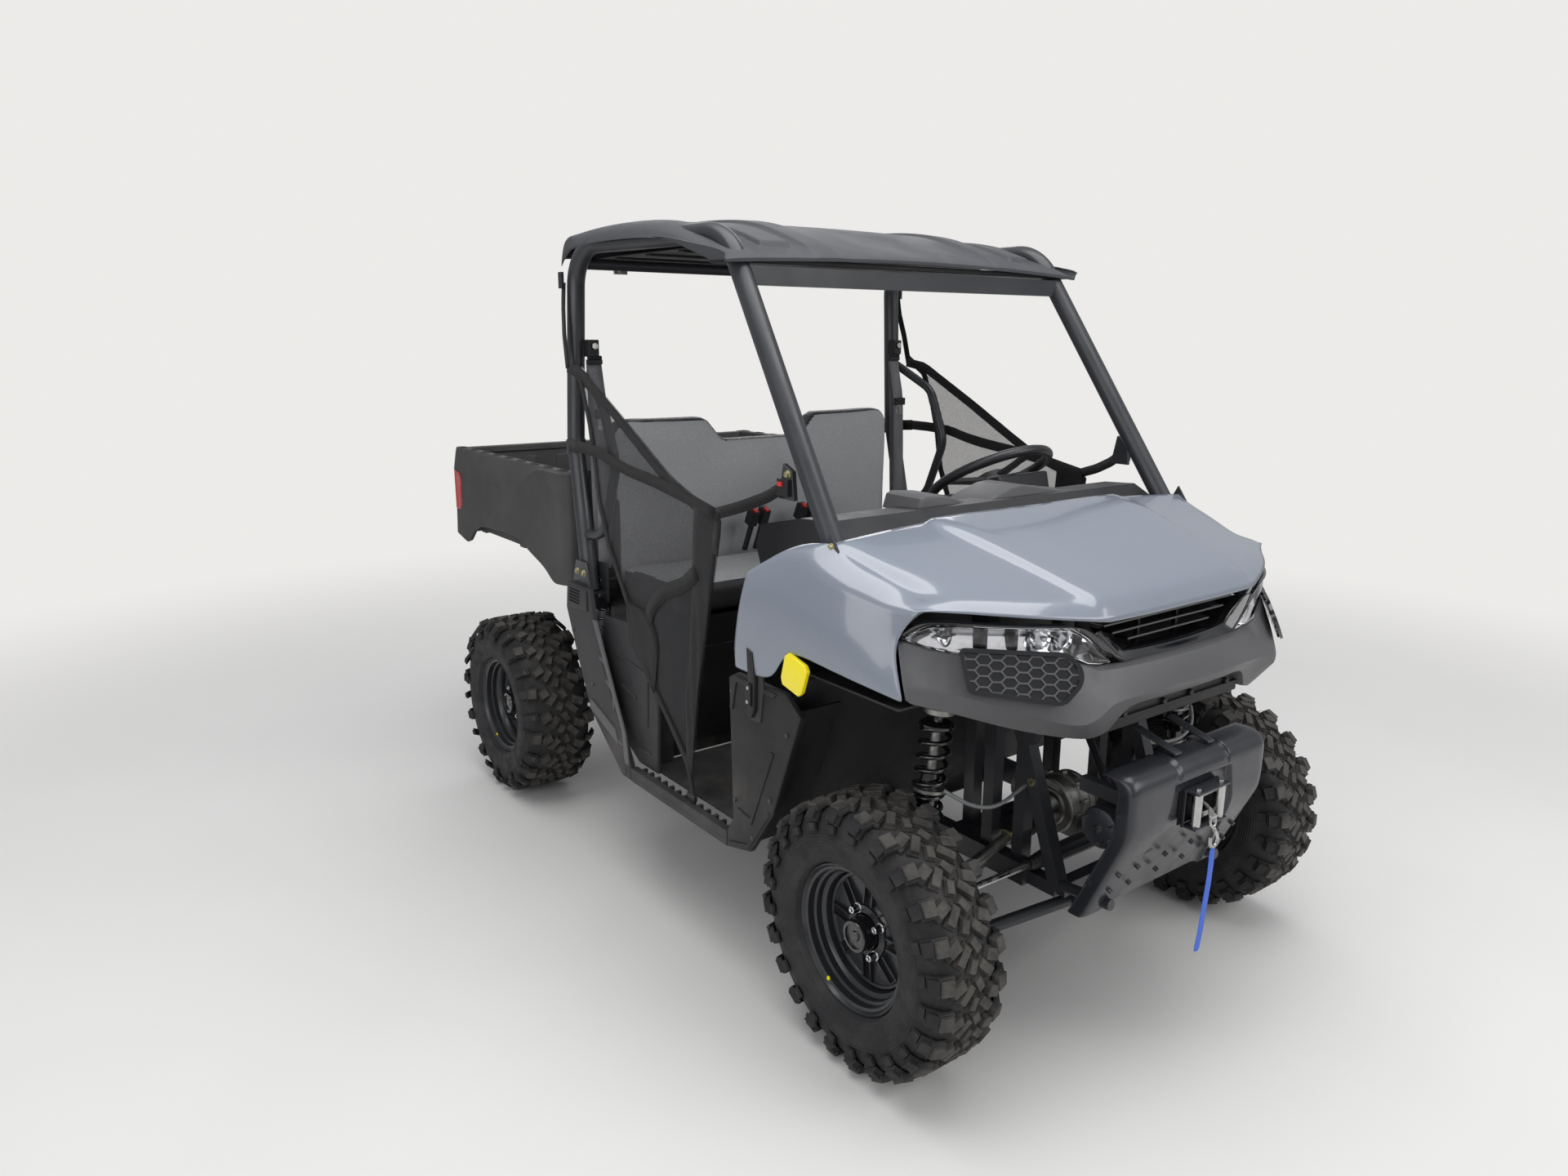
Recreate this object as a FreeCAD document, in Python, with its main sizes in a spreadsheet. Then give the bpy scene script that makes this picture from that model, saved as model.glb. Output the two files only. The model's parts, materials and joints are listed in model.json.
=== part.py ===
import FreeCAD, Part
import math
import os
import Sketcher
from FreeCAD import Placement, Rotation, Vector

# Side by side utility vehicle. X forward, Y to the left, Z up, millimetres.
# The origin is on the floor, under the middle of the vehicle's length and width.

sizes = {
    # whole vehicle
    "overall_length": 2743, "overall_width": 1473, "wheelbase": 1854, "axle_shift": 30,
    "front_track": 1223, "overrun": 40, "running_gap": 5, "seat_gap": 0.3, "pin_gap": 1,
    # tyres and rims
    "tyre_radius": 305, "tread_radius": 290, "lug_count": 16, "lug_length": 30,
    "tyre_wall": 11, "tyre_width_front": 203, "tyre_width_rear": 245,
    "bead_radius": 152.4, "flange_height": 13, "rim_width_front": 152, "rim_width_rear": 190,
    "rim_wall": 4, "disc_thickness": 8, "disc_inset_front": 62, "disc_inset_rear": 70,
    "cap_radius": 44, "cap_height": 26, "window_count": 8, "window_inner": 66,
    "window_outer": 122, "window_width": 24, "brake_radius": 98, "brake_thickness": 5,
    "brake_offset": 14, "hub_length": 30, "hub_radius": 34,
    # main frame
    "rail_spacing": 420, "rail_width": 40, "rail_height": 52.7, "rail_bottom": 318,
    "rail_front": 1040, "rail_ahead": 107, "tail_spacing": 260, "tail_behind": 113,
    "tail_z": 318, "post_gap": 48, "member_size": 38,
    "receiver_outer": 63.5, "receiver_inner": 51, "receiver_length": 247,
    "receiver_pin_radius": 8.1, "receiver_pin_behind": 325, "leg_size": 32,
    "bed_rail_top": 745, "bed_rail_behind": 188, "bed_rail_spacing": 520,
    "seat_frame_x": -330, "seat_frame_z": 772, "seat_frame_half": 656, "front_leg_top": 658,
    "front_leg_spread": 400, "front_leg_x": 1122, "front_leg_z": 338, "cowl_x": 800,
    "cowl_z": 1055, "cowl_half": 630, "cowl_post_y": 150, "hinge_post_x": 1160, "hinge_post_y": 215,
    "hinge_post_z": 900, "tower_radius": 46, "tower_plate": 6, "skid_thickness": 4,
    # roll cage
    "cage_radius": 25.5, "pillar_foot_x": 803, "pillar_foot_y": 595, "pillar_foot_z": 1080,
    "cage_front_x": 308, "cage_front_y": 553, "cage_top_z": 1803, "cage_rear_x": -392,
    "cage_rear_y": 604, "cage_rear_z": 1808, "cage_mid_y": 628, "cage_mid_z": 1250,
    "cage_foot_x": -302, "cage_foot_y": 640, "cage_foot_z": 822, "foot_size": 58, "front_bend": 150,
    "rear_bend": 110, "knee_bend": 240, "hip_radius": 14, "hip_reach": 262, "hip_top_z": 1474,
    "hip_low_z": 985, "hip_bend": 90, "crossbar_z": 1700, "crossbar_x": 380,
    "crossbar_depth": 26, "crossbar_height": 44, "rear_bar_z": 1762, "foot_plate": 8,
    # steering and front suspension
    "king_top_y": 440, "king_top_z": 780, "ball_y": 515, "ball_z": 225, "strut_radius": 24,
    "spring_radius": 34, "spring_low_z": 592, "rod_radius": 11,
    "clamp_z": 500, "joint_radius": 36, "knuckle_thickness": 14, "bearing_radius": 52,
    "ball_radius": 17, "steer_arm": 82, "rack_z": 386, "rack_radius": 22, "rack_half": 160,
    "tie_rod_radius": 8, "rod_end_radius": 12, "rack_bar_radius": 12, "rod_end_height": 14,
    "arm_radius": 15, "arm_front_x": 1128, "arm_rear_x": 860, "arm_inner_y": 150,
    "shaft_radius": 14, "boot_radius": 40, "gearcase_half": 95,
    "gearcase_radius": 66, "gearcase_z": 440, "wheel_x": 349, "wheel_y": 350, "wheel_z": 1161,
    "wheel_radius": 178, "wheel_grip": 14, "column_radius": 19, "column_drop": 300, "column_tilt": 60,
    "lower_shaft_y": 90,
    # cab
    "floor_half": 640, "floor_top": 376, "floor_sheet": 5, "floor_rear": 20,
    "toe_x": 575, "wall_x": 700, "wall_top": 1080, "panel_y": 690, "panel_sheet": 6,
    "rocker_front": 492, "rocker_rear": 2, "rocker_height": 46, "rocker_depth": 46,
    "seat_rear": -384, "seat_front": 60, "seat_half": 560, "seat_top": 892, "cushion_round": 30, "seat_low": 784,
    "back_top": 1333, "back_low": 788.3, "back_thickness": 78, "back_dip": 70, "box_front": 20,
    "box_low": 376.3, "box_wall": 6,
    "dash_front": 782, "dash_rear": 430, "dash_top": 1162, "dash_low": 862, "dash_half": 556,
    "dash_wall": 8, "roof_front": 411, "roof_rear": -440, "roof_half": 628, "roof_top": 1876,
    "roof_wall": 5, "roof_lip_z": 1745, "roof_edge_z": 1832,
    # body work
    "hood_nose_x": 1245, "hood_back_x": 505, "hood_half": 702, "hood_top": 1163,
    "hood_low": 802, "hood_wall": 4, "hood_hinge_x": 1185, "hood_hinge_z": 925, "hood_pin": 5,
    "hood_lug": 6, "hood_arm_x": 1070, "hood_arm_z": 1120,
    "fascia_nose_x": 1289, "fascia_back_x": 1043, "fascia_half": 676, "fascia_top": 990,
    "fascia_low": 690, "fascia_wall": 6, "chin_wall_x": 1243, "grille_recess": 22, "grille_rear": 1196,
    "plate_x": 1330, "plate_half": 245, "plate_top": 683, "plate_low": 325, "plate_sheet": 6,
    "plate_wing": 42,
    # cargo box
    "bed_front": -434, "bed_half": 655, "bed_top": 1157, "bed_floor": 868, "bed_low": 806,
    "bed_wall": 40, "bed_sheet": 6, "bed_hinge_behind": 198, "bed_hinge_z": 785,
    "bed_lug": 26, "gate_thickness": 40, "gate_hinge_drop": 16, "gate_barrel": 15, "gate_pin": 7, "gate_pin_length": 14, "hinge_radius": 11,
    "lamp_low": 927, "lamp_top": 1077, "lamp_depth": 24, "lamp_length": 60,
    # power train
    "engine_front": -420, "engine_ahead": 152, "engine_half": 180, "muffler_behind": 195, "shock_ahead": 63, "shock_top": 700,
    "engine_top": 690, "muffler_radius": 85, "muffler_length": 380,
    # nets, belts, strap
    "net_y": 667, "net_sheet": 4, "net_top": 1481, "net_front": 430, "net_rear": -362, "net_drop": 246, "net_hook_z": 1700, "belt_ring_z": 1492, "hose_radius": 4.5, "belt_width": 48, "belt_sheet": 3, "strap_width": 25,
    "strap_sheet": 3,
}


class Size:
    """A length that knows its value and its formula on the sheet."""

    def __init__(self, value, text):
        self.value = float(value)
        self.text = text

    def joined(self, other, sign, flipped=False):
        other = other if isinstance(other, Size) else Size(other, repr(other))
        a, b = (other, self) if flipped else (self, other)
        work = {"+": a.value.__add__, "-": a.value.__sub__, "*": a.value.__mul__,
                "/": a.value.__truediv__}[sign]
        return Size(work(b.value), f"({a.text} {sign} {b.text})")

    def __add__(self, other):
        return self.joined(other, "+")

    def __radd__(self, other):
        return self.joined(other, "+", True)

    def __sub__(self, other):
        return self.joined(other, "-")

    def __rsub__(self, other):
        return self.joined(other, "-", True)

    def __mul__(self, other):
        return self.joined(other, "*")

    def __rmul__(self, other):
        return self.joined(other, "*", True)

    def __truediv__(self, other):
        return self.joined(other, "/")

    def __neg__(self):
        return Size(-self.value, f"(0 - {self.text})")

    def __float__(self):
        return self.value


class Sheet:
    """The document's spreadsheet, with one named cell for each driving size."""

    def __init__(self, document, values):
        self.cells = document.addObject("Spreadsheet::Sheet", "Sizes")
        for row, (name, value) in enumerate(values.items(), 1):
            self.cells.set(f"A{row}", name)
            self.cells.set(f"B{row}", str(value))
            self.cells.setAlias(f"B{row}", name)
        document.recompute()

    def __getattr__(self, name):
        return Size(self.cells.get(name), f"Sizes.{name}")


doc = FreeCAD.newDocument("utility_vehicle")
d = Sheet(doc, sizes)
nodes = []
up = Vector(0, 0, 1)


def number(value):
    return float(value)


def point(x, y, z):
    return Vector(float(x), float(y), float(z))


def bind(thing, where, value):
    """Sets a property from the sheet, or plainly where the value is a bare zero."""
    if isinstance(value, Size):
        thing.setExpression(where, value.text)


def place(thing, x=0, y=0, z=0):
    for axis, value in zip("xyz", (x, y, z)):
        bind(thing, f"Placement.Base.{axis}", value)


def keep(thing):
    """Marks an object as a sub-part that gets its own file."""
    nodes.append(thing)
    return thing


def body(label):
    piece = doc.addObject("PartDesign::Body", label)
    piece.Label = label
    return piece


def plane(piece, role):
    return next(face for face in piece.Origin.OriginFeatures if face.Role == role)


def outline(piece, name, role, corners, offset=0):
    """A closed outline on one of the body's planes, each corner tied to the sheet."""
    drawing = piece.newObject("Sketcher::SketchObject", name)
    drawing.AttachmentSupport = [(plane(piece, role), "")]
    drawing.MapMode = "FlatFace"
    bind(drawing, "AttachmentOffset.Base.z", offset)
    spots = [Vector(float(a), float(b), 0) for a, b in corners]
    for start, end in zip(spots, spots[1:] + spots[:1]):
        drawing.addGeometry(Part.LineSegment(start, end), False)
    for i in range(len(corners)):
        following = (i + 1) % len(corners)
        drawing.addConstraint(Sketcher.Constraint("Coincident", i, 2, following, 1))
    for i, corner in enumerate(corners):
        for kind, axis, value in zip(("DistanceX", "DistanceY"), (-2, -1), corner):
            if isinstance(value, Size):
                rule = Sketcher.Constraint(kind, -1, 1, i, 1, float(value))
                drawing.setExpression(f"Constraints[{drawing.addConstraint(rule)}]", value.text)
            else:
                drawing.addConstraint(Sketcher.Constraint("PointOnObject", i, 1, axis))
    return drawing


def ring(piece, name, role, radius, across=0, along=0, offset=0):
    """A circle on one of the body's planes."""
    drawing = piece.newObject("Sketcher::SketchObject", name)
    drawing.AttachmentSupport = [(plane(piece, role), "")]
    drawing.MapMode = "FlatFace"
    bind(drawing, "AttachmentOffset.Base.z", offset)
    centre = Vector(float(across), float(along), 0)
    drawing.addGeometry(Part.Circle(centre, Vector(0, 0, 1), float(radius)), False)
    rule = drawing.addConstraint(Sketcher.Constraint("Radius", 0, float(radius)))
    drawing.setExpression(f"Constraints[{rule}]", radius.text)
    for kind, axis, value in zip(("DistanceX", "DistanceY"), (-2, -1), (across, along)):
        if isinstance(value, Size):
            rule = Sketcher.Constraint(kind, -1, 1, 0, 3, float(value))
            drawing.setExpression(f"Constraints[{drawing.addConstraint(rule)}]", value.text)
        else:
            drawing.addConstraint(Sketcher.Constraint("PointOnObject", 0, 3, axis))
    return drawing


def step(piece, kind, profile, length=None, both=False, back=False):
    """A pad or pocket of a profile, along the plane's normal, back or both ways."""
    work = piece.newObject(f"PartDesign::{kind}", f"{kind}_{profile.Name}")
    work.Profile = profile
    work.Midplane = both
    work.Reversed = back
    if length is None:
        work.Type = "ThroughAll"
    else:
        bind(work, "Length", length)
    return work


def turn(piece, profile, kind="Revolution"):
    """A full revolution or groove about the profile's upright axis."""
    work = piece.newObject(f"PartDesign::{kind}", f"{kind}_{profile.Name}")
    work.Profile = profile
    work.ReferenceAxis = (profile, ["V_Axis"])
    work.Angle = 360
    return work


def round_edges(piece, radius, chosen, kind="Fillet"):
    """A fillet or chamfer on the edges that a test picks."""
    doc.recompute()
    tip = piece.Tip
    names = [f"Edge{i}" for i, edge in enumerate(tip.Shape.Edges, 1) if chosen(edge)]
    work = piece.newObject(f"PartDesign::{kind}", f"{kind}_{tip.Name}")
    work.Base = (tip, names)
    bind(work, "Radius" if kind == "Fillet" else "Size", radius)
    return work


def along(edge, axis):
    """True for a straight edge that runs along an axis."""
    if edge.Curve.TypeId != "Part::GeomLine":
        return False
    return abs(abs(edge.tangentAt(edge.FirstParameter).dot(axis)) - 1) < 1e-6


def box(label, low, high):
    """A block between two corners."""
    piece = doc.addObject("Part::Box", label)
    place(piece, *low)
    for name, a, b in zip(("Length", "Width", "Height"), low, high):
        bind(piece, name, b - a)
    return piece


def rod(label, radius, length, spot, axis=(0, 0, 1)):
    """A cylinder from a spot along an axis."""
    piece = doc.addObject("Part::Cylinder", label)
    piece.Placement = Placement(Vector(), Rotation(Vector(0, 0, 1), Vector(*axis)))
    bind(piece, "Radius", radius)
    bind(piece, "Height", length)
    place(piece, *spot)
    return piece


def joined(label, pieces):
    whole = doc.addObject("Part::MultiFuse", label)
    whole.Shapes = pieces
    return whole


def less(label, base, tools):
    """A piece with tools cut away."""
    for i, tool in enumerate(tools):
        cut = doc.addObject("Part::Cut", label if tool is tools[-1] else f"{label}_cut_{i}")
        cut.Base = base
        cut.Tool = tool
        base = cut
    return base


def group(label, pieces):
    """Like pieces that share a node and don't touch."""
    whole = doc.addObject("Part::Compound", label)
    whole.Links = pieces
    return whole


def twin(label, piece):
    """A left piece and its mirror image on the right."""
    other = doc.addObject("Part::Mirroring", f"{label}_right")
    other.Source = piece
    other.Normal = (0, 1, 0)
    return group(label, [piece, other])


def mirrored(label, piece):
    """The right hand version of a left piece."""
    other = doc.addObject("Part::Mirroring", label)
    other.Source = piece
    other.Normal = (0, 1, 0)
    return other


def feature(label, shape):
    piece = doc.addObject("Part::Feature", label)
    piece.Shape = shape
    return piece


def both_sides(shape):
    """A shape and its mirror image, as one compound."""
    return Part.makeCompound([shape, shape.mirror(Vector(), Vector(0, 1, 0))])


def path(spots, bends):
    """Straight runs joined by tangent arcs of the given radii."""
    edges = []
    last = spots[0]
    for before, corner, after, bend in zip(spots, spots[1:], spots[2:], bends):
        a = (before - corner).normalize()
        b = (after - corner).normalize()
        half = a.getAngle(b) / 2
        reach = float(bend) / math.tan(half)
        middle = (a + b).normalize()
        centre = corner + middle * (float(bend) / math.sin(half))
        start = corner + a * reach
        end = corner + b * reach
        edges.append(Part.LineSegment(last, start).toShape())
        edges.append(Part.Arc(start, centre - middle * float(bend), end).toShape())
        last = end
    edges.append(Part.LineSegment(last, spots[-1]).toShape())
    return Part.Wire(edges)


def tube(spots, bends, radius):
    """A round bar along bent runs."""
    line = path(spots, bends)
    first = line.Edges[0]
    section = Part.Wire(Part.Circle(spots[0], first.tangentAt(first.FirstParameter),
                                    float(radius)).toShape())
    return line.makePipeShell([section], True, False)


def bar(start, end, radius):
    return Part.makeCylinder(float(radius), (end - start).Length, start, end - start)


def beam(start, end, width, height, side=Vector(0, 1, 0)):
    """A square bar between two points, its width along a side direction."""
    run = (end - start).normalize()
    side = (side - run * side.dot(run)).normalize()
    rise = run.cross(side)
    w = side * (float(width) / 2)
    t = rise * (float(height) / 2)
    corners = [start - w - t, start + w - t, start + w + t, start - w + t]
    face = Part.Face(Part.makePolygon(corners + corners[:1]))
    return face.extrude(end - start)


def lofted(sections):
    """A solid through closed polygons, with flat facets between them."""
    rings = [Part.makePolygon(section + section[:1]) for section in sections]
    return Part.makeLoft(rings, True, True)


def prism(corners, sweep):
    """A flat polygon swept along a vector."""
    return Part.Face(Part.makePolygon(corners + corners[:1])).extrude(sweep)


# Wheels

front_axle_x = d.wheelbase / 2 + d.axle_shift
rear_axle_x = d.axle_shift - d.wheelbase / 2
rail_rear = rear_axle_x + d.rail_ahead
tail_rear = rear_axle_x - d.tail_behind
bed_rail_rear = rear_axle_x - d.bed_rail_behind
bed_hinge_x = rear_axle_x - d.bed_hinge_behind
rear_centre_y = (d.overall_width - d.tyre_width_rear) / 2
wheels = {
    "front_left": (front_axle_x, d.front_track / 2, d.tyre_width_front, d.rim_width_front,
                   d.disc_inset_front),
    "front_right": (front_axle_x, -d.front_track / 2, d.tyre_width_front, d.rim_width_front,
                    d.disc_inset_front),
    "rear_left": (rear_axle_x, rear_centre_y, d.tyre_width_rear, d.rim_width_rear,
                  d.disc_inset_rear),
    "rear_right": (rear_axle_x, -rear_centre_y, d.tyre_width_rear, d.rim_width_rear,
                   d.disc_inset_rear),
}
tyre_outside_shares = [(0, 0.76), (0.18, 0.86), (0.45, 1), (0.76, 0.96), (0.92, 0.84), (1, 0.6)]


def tyre(corner):
    """A hollow tyre, its bead seated on the rim."""
    x, y, width, rim_width, inset = wheels[corner]
    piece = body(f"tyre_{corner}")
    bead = d.bead_radius + d.seat_gap
    lip = bead + d.flange_height
    foot = rim_width / 2 - d.seat_gap
    height = d.tread_radius - lip
    outside = [(bead, foot), (lip, foot)]
    outside += [(lip + height * r, width / 2 * w) for r, w in tyre_outside_shares[1:]]
    inner = height - d.tyre_wall
    inside = [(bead, foot - d.tyre_wall)]
    inside += [(lip + inner * r, width / 2 * w - d.tyre_wall) for r, w in tyre_outside_shares[1:]]
    left = [(r, -w) for r, w in outside]
    core = [(r, -w) for r, w in inside]
    corners = left + outside[::-1] + inside + core[::-1]
    turn(piece, outline(piece, "section", "XY_Plane", corners))
    lugs(piece, width)
    place(piece, x, y, d.tyre_radius)
    return keep(piece)


def lugs(piece, width):
    """Two staggered rows of lugs, each from the middle of the tread over its shoulder."""
    root, tip = d.tread_radius - d.tyre_wall / 2, d.tyre_radius - d.seat_gap
    reach = width / 2 * lug_outer_share
    length = reach - width / 2 * lug_inner_share
    for side, turned, offset in (("left", 0, -reach), ("right", 0.5, reach - length)):
        angle = turned * 2 * math.pi / number(d.lug_count)
        along_x, along_z = math.cos(angle), math.sin(angle)
        corners = [(r * along_x - s * along_z, r * along_z + s * along_x) for r, s in
                   ((root, -d.lug_length / 2), (tip, -d.lug_length / 2 * lug_tip_share),
                    (tip, d.lug_length / 2 * lug_tip_share), (root, d.lug_length / 2))]
        doc.recompute()
        pad = step(piece, "Pad", outline(piece, f"lug_{side}", "XZ_Plane", corners, offset), length)
        doc.recompute()
        row = piece.newObject("PartDesign::PolarPattern", f"lugs_{side}")
        row.Originals = [pad]
        row.Axis = (plane(piece, "Y_Axis"), [""])
        row.Angle = 360
        row.setExpression("Occurrences", "Sizes.lug_count")
        piece.Tip = row


lug_outer_share, lug_inner_share, lug_tip_share = 0.82, 0.06, 0.8


def rim(corner):
    """A dished wheel with its windows, its hub and its brake disc."""
    x, y, width, rim_width, inset = wheels[corner]
    piece = body(f"rim_{corner}")
    half = rim_width / 2
    lip = d.bead_radius + d.flange_height
    well = d.bead_radius - d.rim_wall
    face = half - inset
    inner = face - d.disc_thickness
    corners = [
        (lip, -half - d.rim_wall), (lip, -half), (d.bead_radius, -half), (d.bead_radius, half),
        (lip, half), (lip, half + d.rim_wall), (well, half + d.rim_wall), (well, face),
        (d.cap_radius, face), (d.cap_radius, face + d.cap_height), (0, face + d.cap_height),
        (0, inner - d.hub_length), (d.hub_radius, inner - d.hub_length),
        (d.hub_radius, inner - d.brake_offset - d.brake_thickness),
        (d.brake_radius, inner - d.brake_offset - d.brake_thickness),
        (d.brake_radius, inner - d.brake_offset), (d.hub_radius, inner - d.brake_offset),
        (d.hub_radius, inner), (well, inner), (well, -half - d.rim_wall)]
    turn(piece, outline(piece, "section", "XY_Plane", corners))
    window = outline(piece, "window", "XZ_Plane", [
        (d.window_inner, -d.window_width / 2), (d.window_outer, -d.window_width / 2),
        (d.window_outer, d.window_width / 2), (d.window_inner, d.window_width / 2)],
        -face - d.seat_gap)
    doc.recompute()
    cut = step(piece, "Pocket", window, d.disc_thickness * 1.3, back=True)
    doc.recompute()
    ring_of = piece.newObject("PartDesign::PolarPattern", "windows")
    ring_of.Originals = [cut]
    ring_of.Axis = (plane(piece, "Y_Axis"), [""])
    ring_of.Angle = 360
    ring_of.setExpression("Occurrences", "Sizes.window_count")
    piece.Tip = ring_of
    if corner.endswith("right"):
        piece.Placement = Placement(Vector(), Rotation(Vector(0, 0, 1), 180))
    place(piece, x, y, d.tyre_radius)
    return keep(piece)


for corner in wheels:
    tyre(corner)
    rim(corner)

front_x = number(front_axle_x)
rear_x = number(rear_axle_x)
axle_z = number(d.tyre_radius)

# Main frame

rail_y = d.rail_spacing / 2
rail_top = d.rail_bottom + d.rail_height
bed_rail_y = d.bed_rail_spacing / 2


def king_point(z, side=1):
    """The point of the steering axis at a height."""
    share = (z - d.ball_z) / (d.king_top_z - d.ball_z)
    y = d.ball_y + (d.king_top_y - d.ball_y) * share
    return point(front_axle_x, side * y, z)


def main_frame():
    """Welded chassis: lower rails, seat frame, front legs, strut towers, bed rails."""
    half = d.rail_width / 2
    rails = box("rails_left", (rail_rear, rail_y - half, d.rail_bottom),
                (d.rail_front, rail_y + half, rail_top))
    member = d.member_size
    cross = []
    spots = [rail_rear, d.seat_frame_x - member / 2, d.toe_x - member * 2,
             d.arm_rear_x - member / 2, d.cowl_x - member / 2]
    for i, x in enumerate(spots):
        cross.append(box(f"member_{i}", (x, -rail_y, d.rail_bottom + d.skid_thickness),
                         (x + member, rail_y, rail_top - d.skid_thickness)))
    base = number(rail_top) - number(d.leg_size) / 2
    side, ahead = Vector(0, 1, 0), Vector(1, 0, 0)
    seat_x, seat_z = number(d.seat_frame_x), number(d.seat_frame_z)
    ry, by, ty = number(rail_y), number(bed_rail_y), number(d.tail_spacing) / 2
    leg = number(d.leg_size)
    bed_z = number(d.bed_rail_top) - leg / 2
    front_y = number(d.front_leg_spread) / 2
    post = number(d.post_gap)
    tail_x, tail_z = number(tail_rear), number(d.tail_z)
    rear_end = number(rail_rear) + leg / 2
    leg_top = Vector(front_x + post, front_y, number(d.front_leg_top))
    toe = point(d.front_leg_x, front_y, d.front_leg_z)
    cowl = point(d.cowl_x, front_y, d.cowl_z)
    hinge_post = point(d.hinge_post_x, d.hinge_post_y, d.hinge_post_z)
    tower_side = king_point(d.king_top_z)
    lean = (tower_side - king_point(d.ball_z)).normalize()
    brace_z = tower_side.z + leg / 4
    mast = Vector(front_x - post, front_y, brace_z)
    runs = [
        (Vector(seat_x, ry, base), Vector(seat_x, ry, seat_z), side),
        (Vector(seat_x, by, bed_z), point(bed_rail_rear, bed_rail_y, bed_z), side),
        (Vector(rear_end - leg, ty, tail_z), Vector(tail_x, ty, tail_z), side),
        (Vector(rear_end, ry, base), Vector(rear_end, by, bed_z), ahead),
        (Vector(tail_x + leg / 2, ty, tail_z), Vector(tail_x + leg / 2, by, bed_z), ahead),
        (Vector(front_x + post, front_y, base), leg_top, ahead),
        (Vector(front_x - post, front_y, base), mast + up * leg / 4, ahead),
        (leg_top, cowl, side),
        (leg_top, toe, side),
        (leg_top, hinge_post, side),
        (Vector(front_x + post, front_y, toe.z), toe, side),
        (point(d.cowl_x, d.cowl_post_y, d.rail_bottom + d.member_size / 2),
         point(d.cowl_x, d.cowl_post_y, d.cowl_z), side),
        (mast, Vector(front_x + post + leg, front_y, brace_z), side),
    ]
    shapes = [beam(a, b, leg, leg, s) for a, b, s in runs]
    shapes.append(Part.makeCylinder(number(d.tower_radius), number(d.tower_plate), tower_side,
                                    lean))
    for shift in (-1, 1):
        foot = Vector(front_x + shift * post * 0.7, front_y, brace_z)
        head = Vector(front_x + shift * leg / 2, tower_side.y, brace_z)
        shapes.append(beam(foot, head, leg / 2, leg / 2, ahead))
    shapes.append(beam(Vector(front_x + post, front_y, leg_top.z),
                       Vector(front_x + post, front_y, brace_z + leg / 4), leg, leg, ahead))
    hinge = point(bed_hinge_x, bed_rail_y, d.bed_hinge_z)
    plate = number(d.foot_plate)
    lug_half = number(d.bed_lug)
    shapes.append(Part.makeBox(lug_half * 2, plate, hinge.z - bed_z + lug_half,
                               Vector(hinge.x - lug_half, hinge.y + leg / 2, bed_z)))
    shapes.append(Part.makeCylinder(number(d.hinge_radius), leg * 1.2,
                                    Vector(hinge.x, hinge.y + leg / 2, hinge.z), side))
    foot_x, foot_y = number(d.cage_foot_x), number(d.cage_foot_y)
    foot_z = number(d.cage_foot_z) - plate - number(d.seat_gap)
    shapes.append(Part.makeBox(leg, leg, foot_z - seat_z,
                               Vector(seat_x + leg / 4, foot_y - leg / 2, seat_z)))
    lug = number(d.hood_lug)
    axis_x, axis_z = number(d.hood_hinge_x), number(d.hood_hinge_z)
    lug_y = hinge_post.y - leg / 2
    shapes.append(Part.makeBox(axis_x + lug - hinge_post.x + leg / 2, lug, lug * 5,
                               Vector(hinge_post.x - leg / 2, lug_y, axis_z - lug * 3.5)))
    shapes.append(Part.makeBox(leg, leg, axis_z - hinge_post.z + leg * 1.5, hinge_post
                               - Vector(leg / 2, leg / 2, leg * 1.5)))
    shapes.append(Part.makeCylinder(number(d.hood_pin), lug * 3,
                                    Vector(axis_x, lug_y - lug * 2, axis_z), side))
    left = feature("frame_left", shapes[0].multiFuse(shapes[1:]))
    tie = number(d.seat_frame_half)
    cowl_half = number(d.cowl_half)
    spans = [(Vector(seat_x, 0, seat_z), tie), (point(d.cowl_x, 0, d.cowl_z), cowl_half),
             (Vector(number(bed_rail_rear) + leg, 0, bed_z), by),
             (Vector(toe.x, 0, toe.z), front_y), (Vector(tail_x + leg / 2, 0, tail_z), ty)]
    across = [beam(c - Vector(0, half, 0), c + Vector(0, half, 0), leg, leg, ahead)
              for c, half in spans]
    ties = feature("frame_ties", across[0].multiFuse(across[1:]))
    skid = box("skid_sheet", (rail_rear, -rail_y, d.rail_bottom),
               (d.toe_x, rail_y, d.rail_bottom + d.skid_thickness))
    right_rail = mirrored("rails_right", rails)
    right = mirrored("frame_right", left)
    return keep(joined("main_frame", [rails, right_rail, left, right, ties, skid] + cross))


main_frame()

# Roll cage


def hoop_line(side):
    """The corners of one side hoop, from the pillar's foot to the rear tube's foot."""
    return [point(d.pillar_foot_x, side * d.pillar_foot_y, d.pillar_foot_z),
            point(d.cage_front_x, side * d.cage_front_y, d.cage_top_z),
            point(d.cage_rear_x, side * d.cage_rear_y, d.cage_rear_z),
            point(d.cage_rear_x, side * d.cage_mid_y, d.cage_mid_z),
            point(d.cage_foot_x, side * d.cage_foot_y, d.cage_foot_z)]


def pillar_at(z):
    """The centre of the left front pillar at a height."""
    foot, top = hoop_line(1)[:2]
    return foot + (top - foot) * ((number(z) - foot.z) / (top.z - foot.z))


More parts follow.
